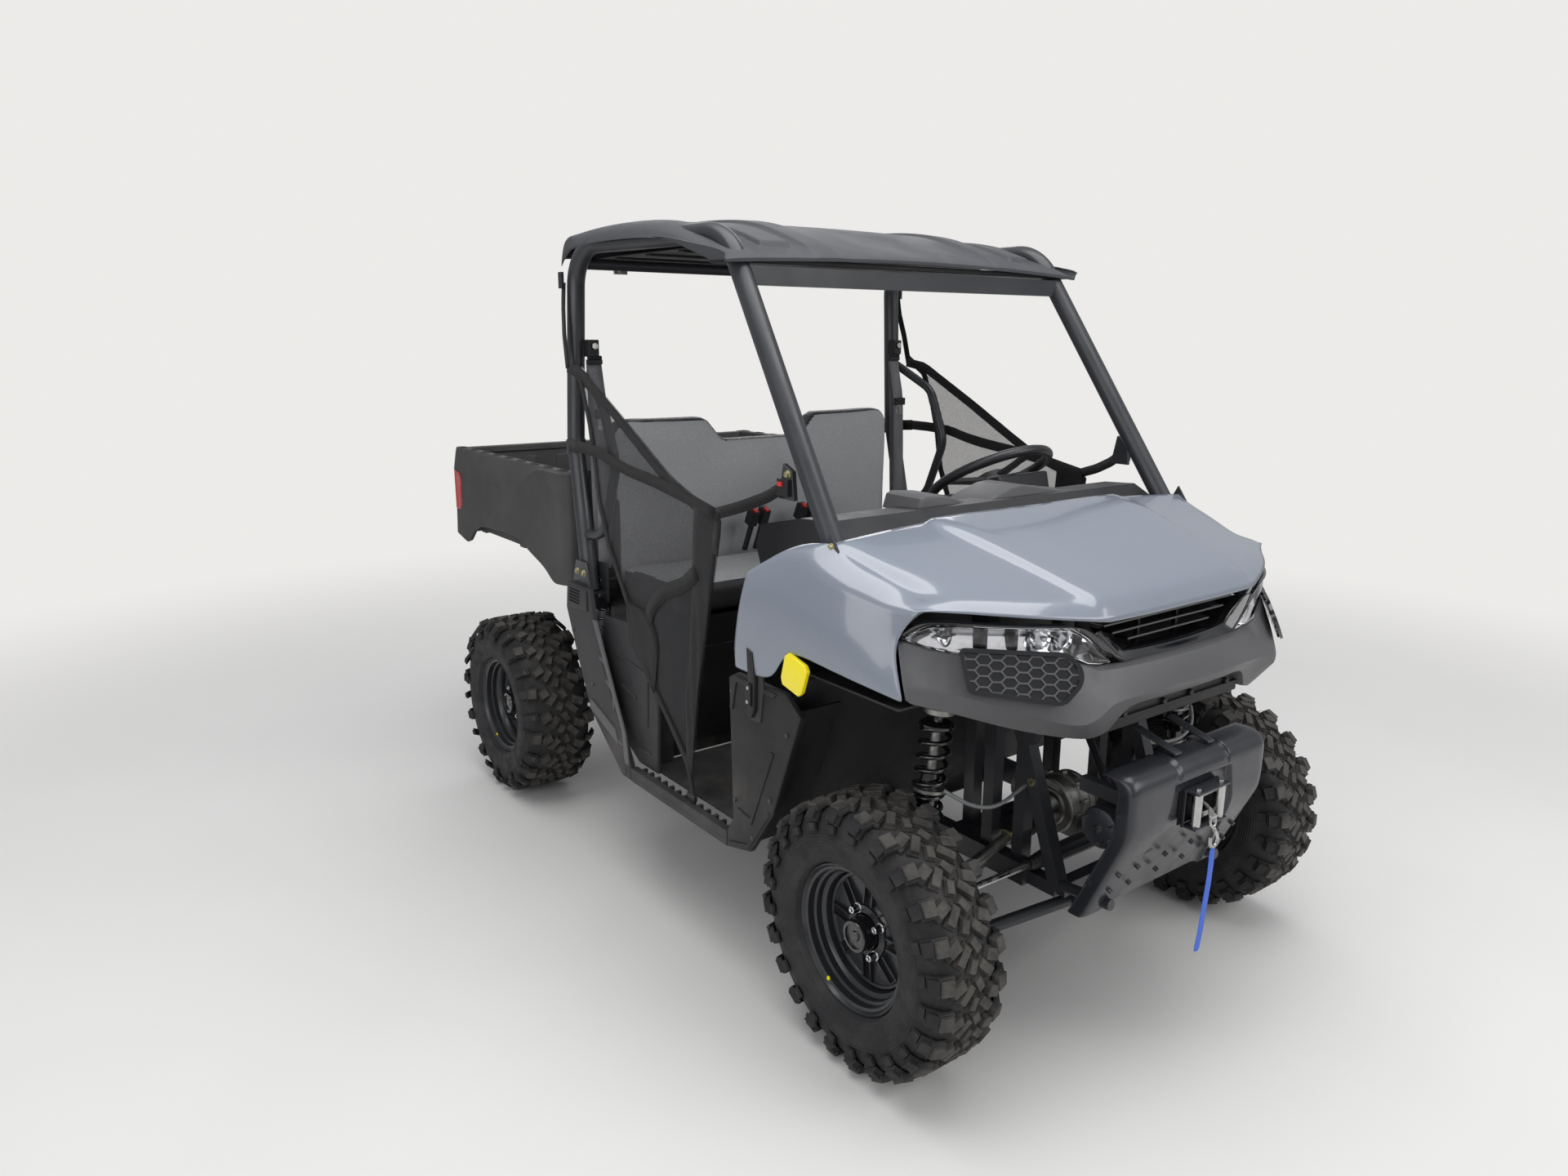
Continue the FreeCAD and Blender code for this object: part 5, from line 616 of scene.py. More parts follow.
piece("hoodShell", bm, "body_colour", "hood_lid", "hood", angle=180, skin=hood["wall"], levels=2)
# dark rubber seal along the hood's rear edge, laid over the lip also as painted shade so the lip shows no
# highlight
half = ((.799, .622, 1.128), (.799, .584, 1.131), (.789, .450, 1.140), (.789, .352, 1.145),
        (.792, .330, 1.155), (.797, .173, 1.159))
pipe("hoodSealShade", half + ((.797, 0, 1.157),) + tuple((x, -y, z) for x, y, z in half[::-1]), .0064,
     "dark_liner",
     "hood_lid", order=2)
print("hood made")

# front cover: centre band and two cheeks, each line from the middle outwards, top edge first
cover = {
    "wall": 0.004,
    "lines": (
        ((1.250, 0, .912), (1.246, .150, .912), (1.232, .250, .911), (1.226, .276, .914), (1.215, .315, .928),
         (1.185, .392, .944), (1.142, .474, .952), (1.090, .553, .958), (1.062, .600, .970),
         (1.046, .632, .982), (1.038, .652, .984)),
        ((1.273, 0, .906), (1.269, .150, .906), (1.252, .262, .905), (1.241, .282, .906), (1.238, .312, .920),
         (1.205, .400, .938), (1.160, .480, .946), (1.106, .560, .953), (1.078, .610, .966),
         (1.058, .642, .981), (1.049, .659, .984)),
        ((1.283, 0, .876), (1.280, .150, .876), (1.270, .262, .876), (1.262, .286, .876), (1.259, .330, .874),
         (1.233, .403, .884), (1.180, .484, .896), (1.126, .562, .912), (1.100, .612, .922),
         (1.082, .650, .930), (1.073, .670, .931)),
        ((1.289, 0, .845), (1.287, .150, .846), (1.283, .262, .848), (1.282, .285, .841), (1.276, .338, .803),
         (1.248, .411, .823), (1.195, .492, .851), (1.142, .568, .879), (1.114, .618, .889),
         (1.098, .655, .893), (1.086, .674, .895)),
        ((1.281, 0, .824), (1.279, .150, .826), (1.274, .212, .828), (1.256, .250, .774), (1.250, .290, .757),
         (1.217, .380, .777), (1.174, .464, .798), (1.127, .552, .829), (1.108, .604, .846),
         (1.098, .646, .861), (1.094, .672, .869)),
        ((1.242, 0, .818), (1.242, .150, .820), (1.240, .205, .820), (1.226, .242, .770), (1.222, .290, .764),
         (1.190, .376, .784), (1.150, .456, .805), (1.102, .546, .835), (1.084, .598, .852),
         (1.072, .638, .865), (1.064, .656, .872))),
    "creases": (("row", 1, .9), ("row", 3, 1), ("row", 4, .85), ("col", 3, .75), ("col", 8, .35)),
    "chinFrom": (1.236, -.244, .762), "chinTo": (1.243, .244, .826),
}
bm = bmesh.new()
cage(bm, [[tuck(p) for p in line] for line in cover["lines"]], cover["creases"])
across(bm)
piece("frontCover", bm, "cover_plastic", "chassis", "fascia", angle=36, skin=cover["wall"], levels=2)

bm = bmesh.new()  # recessed panel below the band, with its ribs and bolts
low, high = Vector(cover["chinFrom"]), Vector(cover["chinTo"])
block(bm, low, high)
for height in (.783, .806):
    block(bm, (low.x, low.y + .01, height), (high.x + .007, high.y - .01, height + .007))
for y in (-.19, -.05, .05, .19):
    rod(bm, (high.x - .002, y, .795), (high.x + .009, y, .795), .008, sides=6)
piece("chinPanel", bm, "dark_liner", bevel=.002)

# upper grille: gloss surround between hood, lamps and band, with a deep opening and slats
grille = {"slats": ((.941, .150), (.962, .205), (.982, .235)), "slatBack": 1.178, "slatFront": 1.214}
bm = bmesh.new()
cage(bm, (
    ((1.166, 0, .926), (1.164, .170, .932), (1.160, .238, .984)),
    ((1.231, 0, .920), (1.229, .186, .929), (1.219, .254, .984)),
    ((1.238, 0, .915), (1.235, .193, .924), (1.226, .266, .988)),
    ((1.252, 0, .911), (1.246, .200, .911), (1.236, .290, .991)),
    ((1.252, 0, .905), (1.240, .232, .903), (1.232, .302, .980))),
    (("row", 1, .8), ("row", 2, .9), ("row", 3, .7), ("col", 1, .6)))
across(bm)
piece("grilleSurround", bm, "grille_black", "chassis", "front_grilles", angle=180, skin=.003, levels=2)
bm = bmesh.new()
for height, half in grille["slats"]:
    block(bm, (grille["slatBack"], -half, height), (grille["slatFront"], half, height + .006))
for y in (-.07, .07):
    block(bm, (1.172, y - .004, .93), (1.184, y + .004, .99))
piece("grilleSlats", bm, "grille_black", bevel=.0015)
bm = bmesh.new()
block(bm, (1.150, -.25, .915), (1.158, .25, 1.0))
piece("grilleBacking", bm, "dark_liner", bevel=.002)

# head lamps: bucket, reflector facets, two lamp units, black trim and a clear lens
lampLine = {
    "top": ((1.051, .642, .989), (1.084, .612, 1.018), (1.110, .568, 1.017), (1.145, .505, 1.011),
            (1.175, .445, 1.006), (1.198, .390, 1.002), (1.215, .340, .998), (1.227, .302, .974),
            (1.231, .262, .941), (1.232, .234, .919)),
    "low": ((1.053, .641, .985), (1.078, .604, .968), (1.100, .562, .955), (1.142, .500, .950),
            (1.172, .440, .948), (1.197, .390, .946), (1.217, .345, .942), (1.234, .306, .922),
            (1.237, .268, .915), (1.234, .234, .914)),
    "hoodEdge": ((1.044, .655, .990), (1.082, .636, 1.029), (1.117, .580, 1.024), (1.152, .508, 1.016),
                 (1.181, .448, 1.010), (1.206, .392, 1.004), (1.226, .330, .999), (1.233, .300, .990),
                 (1.236, .262, .958), (1.238, .222, .922)),
}


def lampSheet(first, second, bulge=0.0):  # two edges of a lamp and the line halfway, pushed out a little
    ends = [[Vector(tuck(p)) for p in lampLine[k]] for k in (first, second)]
    half = [(a + b) / 2 + Vector((bulge, bulge * .4, 0)) for a, b in zip(*ends)]
    return ends[0], half, ends[1]


bm = bmesh.new()
cage(bm, lampSheet("top", "low", bulge=.005), (("row", 0, 1), ("row", 2, 1)))
piece("lampLens", bm, "lamp_clear", "chassis", "headlights", angle=180, skin=.0025, levels=2, both=True)
bm = bmesh.new()
top, half, low = lampSheet("top", "low")
inner = [p + Vector((-.045, -.012, 0)) for p in half]
cage(bm, (top, [p + Vector((-.03, -.008, .002)) for p in top], inner,
          [p + Vector((-.03, -.008, -.002)) for p in low], low),
     (("row", 1, .9), ("row", 2, .8), ("row", 3, .9), ("col", 3, .9), ("col", 7, .9)))
piece("lampReflector", bm, "chrome", angle=30, skin=.002, both=True)
bm = bmesh.new()
cage(bm, lampSheet("hoodEdge", "top", bulge=.003), (("row", 0, 1), ("row", 2, 1), ("col", 6, .6)))
piece("lampTrim", bm, "grille_black", angle=180, skin=.004, levels=2, both=True)
bm = bmesh.new()  # dark dividers and bright lamp units behind the lens
for at, size in ((3, (.014, .006, .024)), (4, (.010, .005, .022)), (7, (.010, .016, .010))):
    centre = half[at] + Vector((-.026, -.006, 0))
    block(bm, centre - Vector(size), centre + Vector(size))
for at in (1, 2):
    centre = half[at] + Vector((-.022, -.004, .004))
    block(bm, centre - Vector((.012, .020, .002)), centre + Vector((.012, .020, .002)))
piece("lampDividers", bm, "grille_black", bevel=.001, both=True)
bm = bmesh.new()
for at, wide in ((2, .014), (5, .024), (6, .020)):
    centre = half[at] + Vector((-.028, -.006, 0))
    made = bmesh.ops.create_cone(bm, cap_ends=True, segments=24, radius1=.013, radius2=.021, depth=.02,
                                 matrix=Matrix.Translation(centre) @ spun(90))["verts"]
    bmesh.ops.scale(bm, vec=(1, wide / .02, 1), space=Matrix.Translation(-centre), verts=made)
    caps = [f for f in {f for v in made for f in v.link_faces} if len(f.verts) > 4]
    bmesh.ops.inset_region(bm, faces=caps, thickness=.002, depth=-.006)
piece("lampUnits", bm, "chrome", bevel=.0008, both=True)

# honeycomb panels in the cheeks
comb = {"corners": ((1.120, .563, .972), (1.230, .364, .954), (1.258, .351, .927), (1.274, .364, .900),
                    (1.263, .405, .860), (1.161, .572, .888)),
        "frame": .009, "proud": .007, "deep": .011, "pitch": .0262, "tall": .0215, "wall": .0019,
        "high": .008}
combLine = [Vector(tuck(p)) for p in comb["corners"]]
along = (combLine[1] - combLine[0]).normalized()
facing = (combLine[5] - combLine[0]).cross(along).normalized()
up = facing.cross(along).normalized()
if up.z < 0:
    up, facing = -up, -facing
if facing.x < 0:
    facing = -facing
panelPlace = Matrix((along, up, facing)).transposed().to_4x4()
panelPlace.translation = combLine[0]
flat = [panelPlace.inverted() @ p for p in combLine]
bm = bmesh.new()
bm.faces.new([bm.verts.new((p.x, p.y, 0)) for p in flat])
bmesh.ops.bevel(bm, geom=bm.verts[:], offset=.014, segments=4, profile=.5, affect="VERTICES", material=-1)
face = bm.faces[:][0]
made = bmesh.ops.extrude_face_region(bm, geom=[face])["geom"]
lid = [g for g in made if isinstance(g, bmesh.types.BMFace)]
bmesh.ops.translate(bm, verts=vertsOf(made), vec=(0, 0, comb["proud"]))
facesOut(bm)
bmesh.ops.inset_region(bm, faces=lid, thickness=comb["frame"], depth=0)
bmesh.ops.inset_region(bm, faces=lid, thickness=.002, depth=0)
for v in lid[0].verts:
    v.co.z = comb["proud"] - comb["deep"]
bmesh.ops.transform(bm, matrix=panelPlace, verts=bm.verts[:])
facesOut(bm)
piece("combFrame", bm, "grille_black", bevel=.0018, both=True)
# cell walls in the lighter cover grey: painted highlight along the edges of walls that are near black
bm = bmesh.new()
for column in range(-1, 11):
    for row in range(-2, 7):
        spot = Vector((comb["pitch"] * column, -comb["tall"] * (row + .5 * (column % 2)), 0))
        spin = Matrix.Translation(spot) @ Matrix.Diagonal((1, .71, 1, 1)) @ spun(30, "Z")
        bmesh.ops.create_circle(bm, cap_ends=True, segments=6, radius=comb["pitch"] / 1.5, matrix=spin)
holes = bm.faces[:]
bmesh.ops.inset_individual(bm, faces=holes, thickness=comb["wall"], depth=0)
bmesh.ops.delete(bm, geom=holes, context="FACES")
middle = sum((Vector((p.x, p.y, 0)) for p in flat), Vector()) / 6
for a, b in zip(flat, flat[1:] + flat[:1]):
    edge = Vector((b.x - a.x, b.y - a.y, 0)).normalized()
    outwards = edge.cross(Vector((0, 0, 1)))
    if (Vector((a.x, a.y, 0)) - middle).dot(outwards) < 0:
        outwards = -outwards
    bmesh.ops.bisect_plane(bm, geom=everything(bm), clear_outer=True,
                           plane_co=Vector((a.x, a.y, 0)) - outwards * comb["frame"] * .9, plane_no=outwards)
made = bmesh.ops.extrude_face_region(bm, geom=bm.faces[:])["geom"]
bmesh.ops.translate(bm, verts=vertsOf(made), vec=(0, 0, comb["high"]))
bmesh.ops.translate(bm, verts=bm.verts[:], vec=(0, 0, comb["proud"] - comb["deep"]))
bmesh.ops.transform(bm, matrix=panelPlace, verts=bm.verts[:])
facesOut(bm)
piece("combCellsHighlight", bm, "cover_plastic", bevel=.0006, both=True)
print("front cover, lamps and grilles made")

# wheels: each turned about its axle, lugs cut on the flat and set round the carcass
# centre out, half tyre, half rim, disc face
wheels = {"front": (.6115, .1015, .076, .014), "rear": (.614, .1225, .095, .025)}
rimParts = {"ribs": 8, "nuts": 4, "nutTurn": 34, "valveTurn": 200, "markTurn": 62}
tread = {
    "taper": .90,
    "shoulder": (  # across, radius, size across, along, high, lean, turn, angle on the tread
        (.0735, .2925, .031, .034, .020, 14, 6, 0),
        (.0910, .2755, .026, .031, .017, 50, 2, -.6),
        (.0978, .2500, .020, .026, .008, 80, 0, -1.4)),
    "middle": (
        (.0480, .2950, .036, .026, .019, 4, -22, 1.9),
        (.0270, .2952, .046, .021, .019, 1, -46, 5.6),
        (.0070, .2955, .030, .019, .019, 0, -64, 10.8)),
    "bars": ((.0870, .2800, .046, .019, .013, 45, 0, 0),),
    "foot": {"drop": .0028, "long": 1.26, "broad": 1.2, "high": .5},  # wider base under each block
    "lip": .0032, "dish": .0011, "hairs": 72, "hair": .010,
}


def lug(bm, place, size):
    made = bmesh.ops.create_cube(bm, size=1.0, matrix=place @ Matrix.Diagonal((*size, 1)))["verts"]
    face = max({f for v in made for f in v.link_faces},
               key=lambda f: f.calc_center_median().dot(place.col[2].xyz))
    bmesh.ops.scale(bm, vec=(tread["taper"],) * 3, space=Matrix.Translation(-face.calc_center_median()),
                    verts=face.verts)
    bmesh.ops.inset_region(bm, faces=[face], thickness=tread["lip"], depth=-tread["dish"])


def ontoWheel(bm, place, degrees=0, count=1):  # drawn at the wheel's top, set round it and moved to its hub
    around(bm, everything(bm), (0, 0, 0), "Y", count)
    if degrees:
        bmesh.ops.rotate(bm, cent=(0, 0, 0), matrix=spun(degrees, "Y", 3), verts=bm.verts[:])
    bmesh.ops.transform(bm, matrix=place, verts=bm.verts[:])


for (end, (centre, w, h, d)), (side, way) in itertools.product(wheels.items(), (("left", 1), ("right", -1))):
    label = f"{end}_{side}"
    body = "wheel_" + label
    rear = end == "rear"
    hub = Vector((axles[end], centre * way, wheelHeight))
    outwards = Vector((0, way, 0))
    # tyre carcass
    wall = [(.1545, h - .010), (.1600, h - .006), (.1672, h - .004), (.1705, w - .0135), (.1760, w - .0105),
            (.1800, w - .0125), (.1900, w - .009), (.2100, w - .005), (.2330, w - .0055), (.2360, w - .0085),
            (.2560, w - .012), (.2730, w - .020), (.2825, w - .033), (.2885, w - .050), (.2920, w * .4),
            (.2930, w * .15)]
    bm = bmesh.new()
    turned(bm, wall + [(r, -a) for r, a in wall[::-1]], hub, outwards, steps=96)
    piece("tyre_carcass_" + label, bm, "tyre_rubber", body, "tyre_" + label, angle=180)
    # tread
    bm = bmesh.new()
    widerBy = w - .1015
    lugRows = [("shoulder", 12 if rear else 24, 0), ("middle", 24, 0)] + ([("bars", 12, 15)] if rear else [])
    for kind, count, late in lugRows:
        before = set(everything(bm))
        for hand in (1, -1):
            for a, r, broad, long, high, lean, twist, angle in tread[kind]:
                shift = (a + widerBy) if a > .06 else a * w / .1015
                spin = Matrix.Rotation(math.radians(angle + late + (7.5 if hand < 0 else 0)), 4, "Y")
                place = (Matrix.Translation(hub) @ spin @ Matrix.Translation((0, shift * hand, r)) @
                         spun(-lean * hand, "X") @ spun(twist * hand, "Z"))
                lug(bm, place, (long, broad, high))
                if high > .01:
                    foot = tread["foot"]
                    size = (long * foot["long"], broad * foot["broad"], high * foot["high"])
                    lug(bm, place @ Matrix.Translation((0, 0, -foot["drop"])), size)
        around(bm, [g for g in everything(bm) if g not in before], hub, "Y", count)
    piece("tyre_lugs_" + label, bm, "tyre_rubber", body, angle=30, bevel=.0011)
    bm = bmesh.new()  # moulding hairs left on the shoulders
    dice = random.Random(len(label))
    for i in range(tread["hairs"]):
        spin = math.radians(i * 360 / tread["hairs"] + dice.uniform(-2, 2))
        if abs(math.degrees(spin) - 180) < 40:
            continue
        hand = 1 if i % 2 else -1
        root = hub + Matrix.Rotation(spin, 3, "Y") @ Vector((0, (w - .030) * hand, .279))
        tip = root + Matrix.Rotation(spin, 3, "Y") @ Vector((dice.uniform(-.003, .003), .004 * hand,
            tread["hair"]))
        rod(bm, root, tip, .0006, .0003, 4)
    piece("tyre_hairs_" + label, bm, "tyre_rubber", body, angle=0)
    bm = bmesh.new()  # rim: barrel and dished disc
    turned(bm, [(.1650, -h - .003), (.1600, -h - .001), (.1530, -h + .004), (.1500, -h + .020),
                (.1320, -h + .040), (.1310, d + .008), (.1325, d + .016), (.1395, h - .042),
                (.1415, h - .040), (.1425, h - .026), (.1485, h - .023), (.1500, h - .007), (.1560, h - .005),
                (.1610, h + .003), (.1648, h + .002), (.1650, h - .002)], hub, outwards, steps=96)
    turned(bm, [(.1315, d - .002), (.1270, d + .004), (.1210, d + .003), (.1190, d), (.0660, d),
                (.0600, d + .005), (.0580, d + .011), (.0420, d + .012), (.0400, d + .002)], hub, outwards,
                steps=64)
    piece("rim_dish_" + label, bm, "wheel_black", body, "rim_" + label, angle=30, skin=.0028, bevel=.0006)
    turnOut = Matrix.Translation(hub) @ (Matrix() if way > 0 else Matrix.Rotation(math.pi, 4, "Z"))
    bm = bmesh.new()
    for offset in (-.0125, .0125):
        made = block(bm, (offset - .0022, d - .001, .062), (offset + .0022, d + .0125, .1195))
        bmesh.ops.translate(bm, vec=(0, -.006, 0), verts=[v for v in made if v.co.z > .1185 and v.co.y > d])
    block(bm, (-.0147, d - .001, .1165), (.0147, d + .006, .1195))
    ontoWheel(bm, turnOut, count=rimParts["ribs"])
    piece("rim_ribs_" + label, bm, "wheel_black", body, angle=30, bevel=.0009)
    # near-black plates between the ribs: painted shade standing for the disc's open windows
    bm = bmesh.new()
    block(bm, (-.0095, d - .004, .074), (.0095, d + .0008, .113))
    ontoWheel(bm, turnOut, count=rimParts["ribs"])
    piece("rim_window_shade_" + label, bm, "void_black", body, angle=30, bevel=.0008)
    bm = bmesh.new()
    rod(bm, (0, d + .008, .0530), (0, d + .030, .0530), .0098, .0088, 6)
    rod(bm, (0, d + .006, .0530), (0, d + .012, .0530), .0125, .0115, 18)
    rod(bm, (0, d + .029, .0530), (0, d + .034, .0530), .0050, .0040, 12)
    ontoWheel(bm, turnOut, rimParts["nutTurn"], rimParts["nuts"])
    piece("lug_nuts_" + label, bm, "chrome", body, angle=30, bevel=.0008)
    bm = bmesh.new()
    turned(bm, [(.0400, d + .004), (.0385, d + .012), (.0370, d + .044), (.0345, d + .048), (.0275, d + .049),
                (.0258, d + .043), (.0120, d + .0415), (.0100, d + .045), (0, d + .0455)], hub, outwards,
                steps=40)
    piece("hub_cap_" + label, bm, "grille_black", body, angle=32, bevel=.0006)
    bm = bmesh.new()  # valve
    rod(bm, (.142, h - .030, 0), (.136, h - .002, 0), .0042, .0034, 12)
    rod(bm, (.1355, h - .001, 0), (.1345, h + .005, 0), .0026, .0022, 10)
    ontoWheel(bm, turnOut, rimParts["valveTurn"])
    piece("valve_" + label, bm, "dark_liner", body, angle=40)
    bm = bmesh.new()
    rod(bm, (.152, h - .0068, .0), (.152, h - .0040, .0), .0050, .0046, 14)
    ontoWheel(bm, turnOut, rimParts["markTurn"])
    piece("rim_mark_" + label, bm, "yellow_reflector", body, angle=40)
print("wheels made")

# cargo box: one outer sheet from the tailgate round to the front wall, tub and ribs inside
cargo = {
    "columns": (  # along, bottom height, crease height
        (-1.3715, .836, 1.071), (-1.352, .832, 1.071), (-1.300, .820, 1.071), (-1.268, .814, 1.071),
        (-1.246, .830, 1.071), (-1.206, .866, 1.071), (-1.172, .885, 1.071), (-1.109, .897, 1.071),
        (-.990, .903, 1.071), (-.829, .909, 1.071), (-.792, .898, 1.072), (-.712, .870, 1.112),
        (-.646, .852, 1.143), (-.600, .836, 1.146), (-.572, .820, 1.147), (-.538, .799, 1.147),
        (-.500, .802, 1.147), (-.462, .806, 1.147)),
    "levels": ((.609, None, 0), (.637, None, 0), (.6415, None, -.005), (.6535, "crease", .004),
               (.6500, "crease", -.004), (.6500, .45, 0), (.6550, 1, .004), (.6535, 1, 0), (.6400, 1, .003)),
    "top": 1.157, "corner": ((-.440, .012), (-.4345, .030), (-.434, .060)), "frontLow": .864,
    "frontCrease": 1.147,
    "postFoot": .806,
    "slots": 9, "ribs": 7,
}


def levelHeight(level, crease, low):  # the rim, the crease, or a share of the way down from it
    return cargo["top"] if level is None else crease if level == "crease" else crease + (low - crease) * level


lines = []
for away, level, lift in cargo["levels"]:
    line = [(x, away, levelHeight(level, crease, low) + lift) for x, low, crease in cargo["columns"]]
    for x, back in cargo["corner"]:  # rounded post at the front
        line.append((x, away - back, levelHeight(level, cargo["frontCrease"], cargo["postFoot"]) + lift))
    x, narrow = (-.434, 1) if away > .62 else (-.47, .98)
    for y in (.5, .25, 0):
        line.append((x, y * narrow, levelHeight(level, cargo["frontCrease"], cargo["frontLow"]) + lift))
    lines.append(line)
bm = bmesh.new()
cage(bm, lines, (("row", 0, 1), ("row", 1, .7), ("row", 3, .85), ("row", 4, .85), ("row", 6, .9),
                 ("row", 7, .9), ("row", 8, 1), ("col", 0, 1), ("col", 20, .3)))
across(bm)
piece("cargoShell", bm, "bed_plastic", "cargo_bed", "cargo_box", angle=180, skin=.005, levels=2)
bm = bmesh.new()
block(bm, (-1.330, -.611, .862), (-.470, .611, .868))
for y in range(-8, 9):
    block(bm, (-1.320, y * .068 - .012, .868), (-.490, y * .068 + .012, .872))
for y in (.606, -.612):
    block(bm, (-1.371, y, .864), (-.470, y + .006, 1.1565))
block(bm, (-.476, -.611, .864), (-.468, .611, 1.1565))
for i in range(cargo["ribs"]):
    x = -1.27 + i * .125
    for y in (.598, -.606):
        block(bm, (x - .020, y, .880), (x + .020, y + .008, 1.135))
for y in range(-4, 5):
    block(bm, (-.486, y * .13 - .022, .880), (-.476, y * .13 + .022, 1.130))
piece("cargoTub", bm, "bed_plastic", "cargo_bed", bevel=.003)
bm = bmesh.new()  # tie-down slots along the rails, with painted shade in their hollows
holes = bmesh.new()
spots = [((-1.325 + i * .104, .627), 0) for i in range(cargo["slots"])] + [((-.452, .20 * i), 1)
    for i in (0, 1, 2)]
for (x, y), crosswise in spots:
    for target, grow, high in ((bm, 1.0, .0022), (holes, .78, .0028)):
        made = bmesh.ops.create_cone(target, cap_ends=True, segments=20, radius1=.011 * grow,
                                     radius2=.010 * grow, depth=high, matrix=Matrix.Translation((x, y,
                                         cargo["top"] + high / 2 - .0004)))["verts"]
        for v in made:
            if crosswise:
                v.co.y += math.copysign(.016, v.co.y - y)
            else:
                v.co.x += math.copysign(.016, v.co.x - x)
piece("railRims", bm, "bed_plastic", "cargo_bed", angle=30, both=True)
piece("railHollowShade", holes, "void_black", "cargo_bed", angle=30, both=True)
bm = bmesh.new()
for i in range(6):
    for z in (.93, 1.10):
        rod(bm, (-1.335 + i * .125 + .12, .6065, z), (-1.335 + i * .125 + .12, .601, z), .006, .005, 12)
for i in range(5):
    rod(bm, (-.478, .13 * i + .065, 1.10), (-.484, .13 * i + .065, 1.10), .006, .005, 12)
piece("bedFasteners", bm, "bare_steel", "cargo_bed", angle=30, both=True)
bm = bmesh.new()  # hinge lugs under the box, taken from the solid's own places
for y in (.282, -.290):
    flank(bm, ((-1.121, .862), (-1.121, .785), (-1.113, .767), (-1.095, .759), (-1.077, .767), (-1.069, .785),
               (-1.069, .862)), y, .008, .001)
for y in (-.35, .35):
    block(bm, (-1.20, y - .025, .846), (-.52, y + .025, .862))
for x in (-.62, -.90, -1.25):
    block(bm, (x - .02, -.60, .850), (x + .02, .60, .862))
piece("bedUnderside", bm, "frame_black", "cargo_bed", bevel=.002)

# tailgate, hinged at its foot
gate = {"back": -1.3715, "front": -1.3320, "half": .604, "low": .862, "top": 1.157}
bm = bmesh.new()
block(bm, (gate["back"] + .004, -gate["half"], gate["low"]),
      (gate["front"], gate["half"], gate["top"] - .002))
back = [f for f in bm.faces if f.calc_center_median().x < gate["back"] + .005]
bmesh.ops.inset_region(bm, faces=back, thickness=.040, depth=0)
bmesh.ops.inset_region(bm, faces=back, thickness=.010, depth=-.008)
inside = [f for f in bm.faces if f.calc_center_median().x > gate["front"] - .001 and len(f.verts) == 4]
bmesh.ops.inset_region(bm, faces=inside, thickness=.030, depth=0)
bmesh.ops.inset_region(bm, faces=inside, thickness=.006, depth=-.005)
for i in range(9):
    y = -.48 + i * .12
    block(bm, (gate["front"] - .006, y - .018, .91), (gate["front"] - .001, y + .018, 1.11))
rod(bm, (-1.3515, -gate["half"], .852), (-1.3515, gate["half"], .852), .0145, sides=24)
piece("gatePanel", bm, "bed_plastic", "gate", "tailgate", bevel=.003)
bm = bmesh.new()
for y in (-.27, .27):
    block(bm, (gate["back"] + .006, y - .13, .93), (gate["back"] + .011, y + .13, .95))
block(bm, (gate["back"] - .001, -.10, 1.065), (gate["back"] + .012, .10, 1.115))
front = [f for f in bm.faces if f.calc_center_median().x < gate["back"]]
bmesh.ops.inset_region(bm, faces=front, thickness=.012, depth=-.009)
piece("gateHandle", bm, "dark_liner", "gate", bevel=.002)

# tail lamps in the rear corners
bm = bmesh.new()
flank(bm, ((-1.3712, .930), (-1.3712, 1.074), (-1.325, 1.066), (-1.313, 1.040), (-1.318, .945),
           (-1.332, .930)), .632,
      .0225, .004, 3)
faces = [f for f in bm.faces if f.normal.y > .9 and f.calc_area() > .001]
bmesh.ops.inset_region(bm, faces=faces, thickness=.006, depth=-.0015)
piece("tailLens", bm, "lamp_red", "cargo_bed", "tail_lamps", both=True, angle=35)
print("cargo box, gate and tail lamps made")

# side panels, sills and lower front panels, each flat moulding pushed out to y 0.69
sides = {"skin": .690, "thick": .016, "rim": .005}


def sidePlate(name, outline, finish, instead):
    bm = bmesh.new()
    flank(bm, outline, sides["skin"] - sides["thick"], sides["thick"], sides["rim"], 3)
    return piece(name, bm, finish, instead=instead, both=True, angle=35)


sidePlate("rearPanel", ((-.0005, .331), (-.0005, .377), (-.150, .640), (-.205, .772), (-.222, .843),
                        (-.362, .843), (-.373, .760), (-.300, .600), (-.236, .475), (-.140, .400),
                        (-.049, .331)), "plastic_black",
                        "rear_side_panels")
bm = bmesh.new()
for points in (((-.199, .762), (-.174, .762), (-.018, .470), (.000, .377), (-.026, .377), (-.040, .470)),
               ((-.236, .484), (-.226, .512), (-.078, .462), (-.060, .420))):
    flank(bm, points, sides["skin"] - .001, .0045, .0015)
piece("panelStrips", bm, "cover_plastic", both=True, angle=35)
bm = bmesh.new()  # raised vent with louvres, and the pressed marks below it
flank(bm, ((-.229, .779), (-.362, .766), (-.352, .838), (-.228, .842)), sides["skin"] - .001, .006, .002)
piece("ventFrame", bm, "plastic_black", both=True, angle=35)
bm, marks = bmesh.new(), bmesh.new()
vent = {"louvres": 5, "low": .7905, "pitch": .0095, "shift": .0015, "from": -.342, "to": -.275, "tall": .0052}
